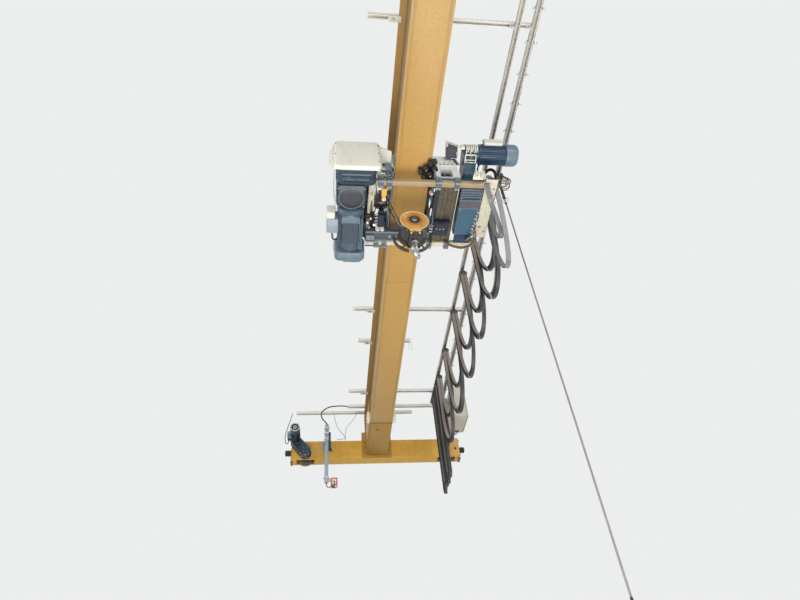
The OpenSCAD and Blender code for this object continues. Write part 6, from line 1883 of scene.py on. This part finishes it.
panel = {"x": (1.1, 1.318), "y": (5.53, 5.96), "z": (0.44, 0.95), "door": 1.296}


def makePanel(p):
    dressed("electrical_panel", "panelBeige", 0.003)
    (x0, x1), (y0, y1), (z0, z1) = p["x"], p["y"], p["z"]
    # the door's gasket gap, hinges and two locks; an opening lid seam on the near side
    seams = [block((p["door"], y0 - 0.0006, z0 + 0.002), (p["door"] + 0.0045, y1 + 0.0006, z1 - 0.002))]
    piece("panelGasket", seams, "cableBlack", "bridge")
    hardware = []
    for z in (z0 + 0.08, (z0 + z1) / 2, z1 - 0.08):
        hardware.append(rod((1.308, y1 + 0.006, z - 0.028), (1.308, y1 + 0.006, z + 0.028), 0.0065, 20))
        hardware.append(block((1.29, y1 - 0.001, z - 0.02), (1.308, y1 + 0.003, z + 0.02)))
    for z in (z0 + 0.13, z1 - 0.13):
        hardware.append(lathe([(0.013, 0), (0.013, 0.004), (0.011, 0.006), (0.006, 0.006), (0.005, 0.003),
                               (tip, 0.003)], (x1, y0 + 0.035, z), (1, 0, 0), 28))
    for sy in (y0 + 0.05, y1 - 0.05):
        hardware.append(block((x0 - 0.006, sy - 0.02, z1 - 0.045), (x0 + 0.001, sy + 0.02, z1 + 0.03),
                              axis=0, radius=0.006))
        hardware += bolt((x0 - 0.006, sy, z1 + 0.012), (-1, 0, 0), 0.013, 0.008)
    piece("panelHardware", hardware, "latchZinc", "bridge", bevel=0.0006)
    lip = [block((x0 + 0.004, y0 - 0.0035, z0 + 0.004), (1.29, y0, z0 + 0.02)),
           block((x0 + 0.004, y0 - 0.0035, z1 - 0.02), (1.29, y0, z1 - 0.004)),
           block((x0 + 0.03, y0 + 0.08, z0 - 0.004), (1.27, y1 - 0.06, z0), axis=2, radius=0.012)]
    piece("panelTrim", lip, "panelBeige", "bridge", bevel=0.001)
    glands, leads = [], []
    for k in range(4):
        gx, gy = 1.13 + 0.03 * k, y1 - 0.05
        glands.append(lathe([(0.013, 0), (0.013, 0.01), (0.0105, 0.012), (0.0105, 0.018), (0.007, 0.024)],
                            (gx, gy, z0 - 0.004), (0, 0, -1), 6 if k % 2 else 20))
        drop = 0.045 + 0.006 * (k % 3)
        leads.append(tube([(gx, gy, z0 - 0.02), (gx, gy, z0 - drop * 0.8), (gx - 0.02, gy, z0 - drop),
                           (1.095 - 0.004 * k, gy, z0 - drop * 0.7),
                           (1.075 - 0.003 * k, gy - 0.01, z0 + 0.06), (1.06, gy - 0.04, z0 + 0.2),
                           (1.05, 5.7 + 0.012 * k, 0.74), (1.04, 5.6 + 0.012 * k, 0.805)], 0.0055, 10))
    piece("panelGlands", glands, "cableBlack", "bridge", angle=40)
    piece("panelLeads", leads[::2], "cableBlack", "bridge", angle=60)
    piece("panelPaleLeads", leads[1::2], "cablePale", "bridge", angle=60)


mast = {"x": -0.706, "y": 5.72, "half": 0.025, "low": -0.43, "top": 0.45}


def makeMast(m, b):
    x, y, half, low, top = (m[key] for key in ("x", "y", "half", "low", "top"))
    post = drawnIn((x - half, y - half), (x + half, y + half), 0.011, (0.003, 0, 0, 0.003),
                   (low, low + 0.003, top - 0.003, top), axis=2)
    bracket = [block((x - 0.02, y + half, 0.2), (x + 0.02, b["face"], 0.24), axis=1, radius=0.006),
               block((x - 0.06, b["face"] - 0.008, 0.15), (x + 0.06, b["face"], 0.29), axis=1,
                     radius=0.008)]
    piece("mast", [post], "mastPaint", "bridge", replaces="collector_mast", angle=50)
    piece("mastBracket", bracket, "mastPaint", "bridge", bevel=0.002)
    clamps, bolts = [], []
    for z in (0.395, 0.31, 0.22, -0.36):
        clamps.append(block((x - half - 0.005, y - half - 0.005, z - 0.014),
                            (x + half + 0.005, y + half + 0.005, z + 0.014), axis=2, radius=0.013))
        bolts += bolt((x + half + 0.005, y, z), (1, 0, 0), 0.013, 0.008)
        bolts += bolt((x - half - 0.005, y, z), (-1, 0, 0), 0.013, 0.008)
    for dx in (-0.042, 0.042):
        for z in (0.172, 0.268):
            bolts += bolt((x + dx, b["face"] - 0.008, z), (0, -1, 0), 0.018, 0.011)
    piece("mastClamps", clamps, "fanRim", "bridge", bevel=0.0015)
    # limit switch bar beside the mast, with its arm and roller
    switch = drawnIn((x + half + 0.003, y - 0.016), (x + half + 0.03, y + 0.016), 0.005,
                     (0.004, 0, 0, 0.004), (0.06, 0.064, 0.326, 0.33), axis=2)
    foot = [block((x + half, y - 0.012, 0.045), (x + half + 0.045, y + 0.012, 0.062)),
            block((x + half + 0.03, y - 0.01, 0.03), (x + half + 0.046, y + 0.01, 0.075))]
    piece("mastSwitch", [switch], "brakeNavy", "bridge", angle=45)
    piece("mastSwitchFoot", foot, "blockBlack", "bridge", bevel=0.002)
    piece("mastBolts", bolts, "boltZinc", "bridge")
    gland = lathe([(0.018, -0.004), (0.018, 0.004), (0.012, 0.006), (0.01, 0.016)], (x, y, top), (0, 0, 1),
                  20)
    piece("mastGland", [gland], "cableBlack", "bridge", angle=40)
    # black cable from the arm's open left end down into the mast
    arc = [(-0.36, 5.859, 0.85), (-0.4, 5.859, 0.851), (-0.47, 5.855, 0.858), (-0.57, 5.845, 0.85),
           (-0.68, 5.82, 0.815), (-0.76, 5.79, 0.74), (-0.79, 5.765, 0.66),
           (-0.775, 5.745, 0.58), (-0.735, 5.728, 0.51), (-0.708, 5.72, 0.47), (-0.706, 5.72, 0.45)]
    piece("mastCable", [tube(arc, 0.0085, 14)], "cableBlack", "bridge", angle=60)
    wires = [tube([(-0.6, 6.02, 0.83), (-0.6, 6.0, 0.78), (-0.59, 5.94, 0.68), (-0.575, 5.915, 0.6),
                   (-0.54, 5.91, 0.5), (-0.47, 5.905, 0.4), (-0.44, 5.905, 0.35), (-0.46, 5.908, 0.335),
                   (-0.56, 5.912, 0.33)], 0.0032, 8),
             tube([(-0.15, 5.9, 0.79), (-0.19, 5.9, 0.765), (-0.23, 5.9, 0.775), (-0.27, 5.9, 0.765),
                   (-0.3, 5.9, 0.68), (-0.36, 5.9, 0.6), (-0.42, 5.905, 0.52), (-0.44, 5.91, 0.44),
                   (-0.445, 5.912, 0.315)], 0.0028, 8)]
    piece("thinWires", wires, "cableBlack", "bridge", angle=60)


def makeCollector(m):
    x, y = m["x"], m["y"]
    arm = [block((x + 0.025, y - 0.018, -0.41), (x + 0.06, y + 0.018, -0.38), axis=0, radius=0.004)]
    piece("collectorArm", arm, "latchZinc", "bridge", bevel=0.001)
    low, high = (x + 0.058, -0.488), (x + 0.148, -0.375)
    body = drawnIn((low[0] + 0.004, low[1] + 0.004), (high[0] - 0.004, high[1] - 0.004), 0.01,
                   (0.005, 0, 0, 0.005), (y - 0.037, y - 0.032, y + 0.032, y + 0.037))
    rims = []
    for side in (-1, 1):
        outer = roundedOutline((low[0], low[1]), (high[0], high[1]), 0.014, 6)
        inner = roundedOutline((low[0] + 0.018, low[1] + 0.018), (high[0] - 0.018, high[1] - 0.018), 0.01,
                               6)
        loops = [(0.03, outer), (0.04, outer), (0.04, inner), (0.03, inner)]
        rings = np.stack([np.insert(line, 1, y + side * d, axis=1) for d, line in loops])
        rims.append(surface(rings[::-1] if side > 0 else rings, wrapU=True, wrapV=True))
    piece("collectorBody", [body], "coverWhite", "bridge", replaces="current_collector",
          angle=45)
    piece("collectorRims", rims, "collectorRed", "bridge", bevel=0.0015)
    shoe = [lathe([(0.014, 0), (0.014, 0.02), (0.018, 0.022), (0.018, 0.03), (0.01, 0.034)],
                  (x + 0.095, y, -0.47), (0, 0, -1), 28)]
    piece("collectorShoe", shoe, "blockBlack", "bridge", angle=45)
    bits = bolt((x + 0.095, y - 0.037, -0.425), (0, -1, 0), 0.014,
                0.008) + bolt((x + 0.095, y + 0.037, -0.425), (0, 1, 0), 0.014, 0.008)
    piece("collectorBolts", bits, "boltZinc", "bridge")
    lead = [(x, y, -0.43), (x + 0.002, y, -0.46), (x + 0.02, y - 0.02, -0.5), (x + 0.06, y - 0.05, -0.51),
            (x + 0.1, y - 0.055, -0.48), (x + 0.11, y - 0.045, -0.44), (x + 0.11, y - 0.035, -0.435)]
    piece("collectorLead", [tube(lead, 0.0055, 12)], "cableBlack", "bridge", angle=60)


makeGirder(bridge)
makeCarriages(bridge)
makeTravelDrives(travelDrive, bridge)
makeArmsAndRails(bridge)
makePanel(panel)
makeMast(mast, bridge)
makeCollector(mast)
print("bridge made")


# Festoon: flat cables in layers between the carriers, the gathered bundle and the control cable's carrier
festoon = {
    "x": 0.84, "top": 0.733, "rows": (1.75, 2.40, 2.97, 3.63, 4.38, 4.97), "gap": 0.013, "drop": 1.15,
    "stacks": ((0.802, 0.837, 1.0), (0.843, 0.878, 0.68)), "bundlePitch": 0.09, "bundleCount": 7,
    "bundleShare": 1.24,
    "roller": 0.8018, "pendantX": 0.98, "pendantY": 1.67,
    "rollerPair": ((tip, -0.0155), (0.0085, -0.0155), (0.01, -0.0145), (0.01, -0.006), (0.005, -0.005),
                   (0.005, 0.005),
                   (0.01, 0.006), (0.01, 0.0145), (0.0085, 0.0155), (tip, 0.0155)),
    "firstLoops": (
        ((0.629, 1.14, 0.013), (0.69, 1.2, 0.045), (0.742, 1.28, 0.0), (0.778, 1.4, -0.247),
         (0.786, 1.5, -0.515), (0.778, 1.555, -0.622), (0.765, 1.6, -0.624),
         (0.758, 1.645, -0.496), (0.755, 1.68, -0.303), (0.764, 1.7, -0.104), (0.786, 1.71, 0.2),
         (0.803, 1.713, 0.5), (0.805, 1.713, 0.688)),
        ((0.6, 1.13, -0.112), (0.628, 1.2, -0.116), (0.67, 1.3, -0.125), (0.735, 1.42, -0.216),
         (0.773, 1.515, -0.3), (0.77, 1.575, -0.27), (0.769, 1.63, -0.089),
         (0.795, 1.668, 0.148), (0.842, 1.7, 0.42), (0.848, 1.713, 0.688)),
    ),
}


def loopLine(y0, y1, top, drop):
    # two straight legs joined by half an ellipse
    a = (y1 - y0) / 2
    b = min(0.9 * drop, 1.7 * a)
    low = top - drop + b
    t = np.linspace(0, pi, 29)
    leg = np.linspace(top, low, 8)[:-1]
    return (np.concatenate([np.full(7, y0), y0 + a - a * np.cos(t), np.full(7, y1)]),
            np.concatenate([leg, low - b * np.sin(t), leg[::-1]]))


def flatCableRun(y, z, x0, x1, lift, sway, half=0.0013):
    # ribbed ribbon: thickness swells over each of five cores, and layers part a little towards the bottom
    dy, dz = np.gradient(y), np.gradient(z)
    size = np.hypot(dy, dz)
    s = np.linspace(0, 1, len(y))
    out = lift * (1 + 0.8 * np.sin(pi * s))
    across = np.linspace(0, 1, 11)
    thick = half * (0.55 + 0.45 * np.abs(np.sin(5 * pi * across)))
    w = np.concatenate([across, across[::-1]])
    t = np.concatenate([thick, -thick[::-1]])
    off = out[:, None] + t[None, :]
    x = x0 + (x1 - x0) * w[None, :] + sway * np.sin(pi * s)[:, None]
    return surface(np.stack([x, y[:, None] + dz[:, None] / size[:, None] * off,
                             z[:, None] - dy[:, None] / size[:, None] * off], axis=-1),
                   wrapV=True, capU=True)


def loopLayers(f, y0, y1, drop, turn, layers=4):
    # the inmost layer of each stack, and the layers outside it
    inner, outer = [], []
    for x0, x1, share in f["stacks"]:
        for k in range(layers):
            spread = 1 + 0.014 * (k - (layers - 1) / 2) + 0.01 * sin(2.4 * turn + 9 * share)
            y, z = loopLine(y0, y1, f["top"], drop * share * spread)
            run = flatCableRun(y, z, x0, x1, (k - (layers - 1) / 2) * 0.0125 / layers,
                               0.005 * sin(1.7 * turn + 1.3 * k + 5 * share))
            (outer if k else inner).append(run)
    return inner, outer


def carrierShells(f, y):
    # a stem with four rollers inside the rail, a cross bar, a saddle with clamp plates, and rubber bumpers
    x, r = f["x"], f["roller"]
    frame = [block((x - 0.003, y - 0.02, 0.753), (x + 0.003, y + 0.02, r + 0.004)),
             block((x - 0.0265, y - 0.025, 0.741), (x + 0.0265, y + 0.025, 0.753), axis=2, radius=0.004),
             slab(roundedOutline((y - 0.021, 0.724), (y + 0.021, 0.741), 0.008), 0, x - 0.044, x + 0.044)]
    for side in (-1, 1):
        low, high = sorted((y + side * 0.0208, y + side * 0.0228))
        frame.append(block((x - 0.042, low, 0.699), (x + 0.042, high, 0.741), axis=1, radius=0.005))
        frame.append(lathe(f["rollerPair"], (x, y + side * 0.012, r), (1, 0, 0), 20))
    rubber = [lathe([(0.0065, 0), (0.0065, 0.0025), (0.005, 0.0037)], (x + dx, y + side * 0.0247, 0.747),
                    (0, side, 0), 16)
              for dx in (-0.016, 0.016) for side in (-1, 1)]
    bolts = [lathe([(0.0045, 0), (0.0045, 0.003), (0.0036, 0.004)], (x + dx, y + side * 0.0226, 0.711),
                   (0, side, 0), 6)
             for dx in (-0.0355, 0, 0.0355) for side in (-1, 1)]
    return frame, rubber, bolts


def makeFestoon(f):
    rows = f["rows"]
    for i in range(5):
        body = f"carrier_{i + 1}"
        frame, rubber, bolts = carrierShells(f, rows[i])
        piece(f"carrier{i + 1}Frame", frame, "carrierSteel", body, bevel=0.0008,
              replaces=f"festoon_carrier_{i + 1}", segments=1)
        piece(f"carrier{i + 1}Bumpers", rubber, "cableBlack", body, angle=50)
        piece(f"carrier{i + 1}Bolts", bolts, "boltZinc", body)
        y0, y1 = rows[i] + f["gap"], rows[i + 1] - f["gap"]
        inner, outer = loopLayers(f, y0, y1, f["drop"], i)
        # the inmost layer takes the pale ribbon as a painted highlight on the loop's inner face
        for name, shells, finish, stands in (("Cables", outer, "flatCable", f"festoon_loop_{i + 1}"),
                                             ("InnerCables", inner, "cableInnerSheen", "")):
            thing = piece(f"loop{i + 1}{name}", shells, finish, None, replaces=stands,
                          angle=70, merge=False)
            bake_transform(thing)
    frame, rubber, bolts, inner, outer = [], [], [], [], []
    for k in range(f["bundleCount"]):
        y = rows[-1] + k * f["bundlePitch"]
        one = carrierShells(f, y)
        frame.append(one[0])
        rubber.append(one[1])
        bolts.append(one[2])
        if k < f["bundleCount"] - 1:
            pair = loopLayers(f, y + f["gap"], y + f["bundlePitch"] - f["gap"],
                              f["drop"] * f["bundleShare"], 5 + k)
            # in the bundle only every third inmost layer is painted pale as highlight
            (inner if k % 3 == 1 else outer).append(pair[0])
            outer.append(pair[1])
    piece("bundleCables", outer, "flatCable", "bridge", replaces="festoon_bundle", angle=70,
          merge=False)
    piece("bundleInnerCables", inner, "cableInnerSheen", "bridge", angle=70, merge=False)
    piece("bundleFrames", frame, "carrierSteel", "bridge", bevel=0.0008, segments=1)
    piece("bundleBumpers", rubber, "cableBlack", "bridge", angle=50)
    piece("bundleBolts", bolts, "boltZinc", "bridge")


def makeFirstLoops(f):
    # two ribbons leave the trolley's near corner, hang in a loop each and rise to the tow finger
    dark, pale = [], []
    across = np.linspace(-0.02, 0.02, 11)
    thick = 0.0014 * (0.55 + 0.45 * np.abs(np.sin(np.arange(11) * pi / 2)))
    for path in f["firstLoops"]:
        line = smoothPath(path, 8)
        for k in range(4):
            lift = 0.0031 * (k - 1.5)
            section = list(zip(lift + thick, across)) + list(zip(lift - thick[::-1], across[::-1]))
            # the outer two layers are paler grey as a painted highlight, the middle two dark
            (dark if k in (1, 2) else pale).append(sweep(line, section, (1, 0, 0)))
    piece("firstLoopCables", dark, "flatCable", "trolley", angle=70, merge=False)
    piece("firstLoopRibbons", pale, "ribbonSheenGrey", "trolley", angle=70, merge=False)
    clamps = [block((0.60, 1.128, -0.002), (0.66, 1.15, 0.006), axis=2, radius=0.003),
              block((0.575, 1.13, -0.104), (0.64, 1.15, -0.098), axis=2, radius=0.003)]
    clamps += [block((x - 0.024, 1.698, 0.655), (x + 0.024, 1.7045, 0.688), axis=1, radius=0.003)
               for x in (0.805, 0.848)]
    piece("firstLoopClamps", clamps, "latchZinc", "trolley", bevel=0.0006)


def makePendantCarrier(f):
    x, y, r = f["pendantX"], f["pendantY"], f["roller"]
    shells = [block((x - 0.003, y - 0.034, 0.759), (x + 0.003, y + 0.034, r + 0.004)),
              block((x - 0.026, y - 0.038, 0.699), (x + 0.026, y + 0.038, 0.759), axis=0, radius=0.012),
              lathe([(0.014, 0), (0.014, 0.24), (0.018, 0.242), (0.02, 0.25), (0.02, 0.279)], (x, y, 0.42),
                    (0, 0, 1), 32)]
    for side in (-1, 1):
        shells.append(lathe(f["rollerPair"], (x, y + side * 0.022, r), (1, 0, 0), 24))
    piece("pendantCarrierFrame", shells, "carrierSteel", "pendant", bevel=0.001,
          replaces="pendant_carrier")
    bolts = []
    for side in (-1, 1):
        for dy in (-0.022, 0.022):
            bolts += bolt((x + side * 0.026, y + dy, 0.73), (side, 0, 0), 0.011, 0.007)
    piece("pendantCarrierBolts", bolts, "boltZinc", "pendant")
    # strain wire from the rod's foot to the cable's grip
    wire = [(x - 0.016, y, 0.437), (x - 0.034, y, 0.42), (x - 0.03, y, 0.39), (x - 0.006, y, 0.34),
            (x + 0.006, y, 0.34), (x + 0.03, y, 0.39), (x + 0.034, y, 0.42), (x + 0.016, y, 0.437)]
    piece("pendantStrainWire", [tube(wire, 0.003, 8)], "latchZinc", "pendant", angle=60)
    grip = lathe([(0.0085, 0), (0.0105, 0.002), (0.0105, 0.018), (0.0085, 0.02)], (x, y, 0.334), (0, 0, 1),
                 24)
    piece("pendantGrip", [grip], "cableBlack", "pendant", angle=50)
    # a coil of spare control cable tied at the carrier's near side
    turns, paleTurns = [], []
    for k in range(9):
        t = np.linspace(0, 2 * pi, 33)
        size = 0.042 + 0.004 * (k * 5 % 7)
        lean = 0.35 * sin(2.1 * k)
        ring = np.stack([x + 0.012 * sin(1.7 * k) + size * np.cos(t),
                         y - 0.075 + 0.022 * cos(2.3 * k) + lean * size * np.sin(t),
                         0.625 - size * 1.35 + 1.35 * size * (np.sin(t) + 0.6)], axis=-1)
        (paleTurns if k % 3 == 0 else turns).append(sweep(ring, circle(0.0042, 8), (0, 1, 0.1)))
    piece("pendantCoil", turns, "cableBrown", "pendant", angle=60)
    piece("pendantCoilPale", paleTurns, "cablePale", "pendant", angle=60)
    tie = [block((x - 0.014, y - 0.1, 0.655), (x + 0.014, y - 0.03, 0.7), axis=1, radius=0.005)]
    piece("pendantCoilTie", tie, "cableBlack", "pendant", bevel=0.001)


makeFestoon(festoon)
makeFirstLoops(festoon)
makePendantCarrier(festoon)
print("festoon made")


# Floor, lamps and background
stage = {"floor": -5.76, "span": 60.0, "floorColour": (226, 226, 222), "background": (236, 238, 238),
         "worldLight": 0.42, "floorLift": 0.4}
lamps = {
    "sideSky": {"place": (-7.5, -3.0, 1.5), "aim": (0, 1.5, 0.1), "width": 6.0, "power": 300,
                "colour": (255, 250, 242)},
    "frontSky": {"place": (2.5, -8.0, -0.5), "aim": (0.2, 1.5, 0.0), "width": 6.0, "power": 330,
                 "colour": (255, 250, 242)},
    "floorGlow": {"place": (-0.3, 0.8, -5.2), "aim": (-0.3, 0.8, 0.0), "width": 5.0, "power": 260,
                  "colour": (255, 248, 236)},
    "rightSky": {"place": (7.0, 3.0, 2.5), "aim": (0.3, 2.0, 0.2), "width": 5.0, "power": 180,
                 "colour": (246, 250, 255)},
}


def seenRay(tree):
    ray = addNode(tree, "ShaderNodeLightPath").outputs
    return maths(tree, "MAXIMUM", ray["Is Camera Ray"],
                 maths(tree, "MAXIMUM", ray["Is Glossy Ray"], ray["Is Transmission Ray"]))


def makeStage(s):
    half = s["span"] / 2
    mesh = bpy.data.meshes.new("floor")
    corners = [(-half, -half, s["floor"]), (half, -half, s["floor"]), (half, half, s["floor"]),
               (-half, half, s["floor"])]
    mesh.from_pydata(corners, [], [(0, 1, 2, 3)])
    floor = bpy.data.objects.new("floor", mesh)
    bpy.context.scene.collection.objects.link(floor)
    material = bpy.data.materials.new("floorPale")
    material.use_nodes = True
    tree = material.node_tree
    coords = objectCoords(tree)
    cloud = noiseOf(tree, coords, 0.35, 3.0)
    pale = linear(s["floorColour"])
    shade = mixed(tree, times(tree, cloud, 0.1), pale, tuple(v * 0.8 for v in pale[:3]) + (1.0,))
    shader = tree.nodes["Principled BSDF"]
    tree.links.new(shade, shader.inputs["Base Color"])
    shader.inputs["Roughness"].default_value = 0.8
    # what the camera, mirrors and glass see of the floor is lifted towards white
    shader.inputs["Emission Color"].default_value = pale
    tree.links.new(times(tree, seenRay(tree), s["floorLift"]), shader.inputs["Emission Strength"])
    mesh.materials.append(material)

    # the camera, mirrors and glass see a pale sky at strength 1; everything else is lit by a dimmer one
    world = bpy.data.worlds.new("paleSky")
    bpy.context.scene.world = world
    world.use_nodes = True
    tree = world.node_tree
    sky = tree.nodes["Background"]
    sky.inputs["Color"].default_value = linear(s["background"])
    amount = addNode(tree, "ShaderNodeMapRange",
                     {"Value": seenRay(tree), "To Min": s["worldLight"], "To Max": 1.0})
    tree.links.new(amount.outputs["Result"], sky.inputs["Strength"])


def addLamp(name, lamp):
    data = bpy.data.lights.new(name, "AREA")
    data.shape = "DISK"
    data.size = lamp["width"]
    data.energy = lamp["power"]
    data.color = linear(lamp["colour"])[:3]
    thing = bpy.data.objects.new(name, data)
    bpy.context.scene.collection.objects.link(thing)
    place = Vector(lamp["place"])
    thing.location = place
    thing.rotation_euler = (Vector(lamp["aim"]) - place).to_track_quat("-Z", "Y").to_euler()
    thing.visible_camera = False


makeStage(stage)
for name, lamp in lamps.items():
    addLamp(name, lamp)
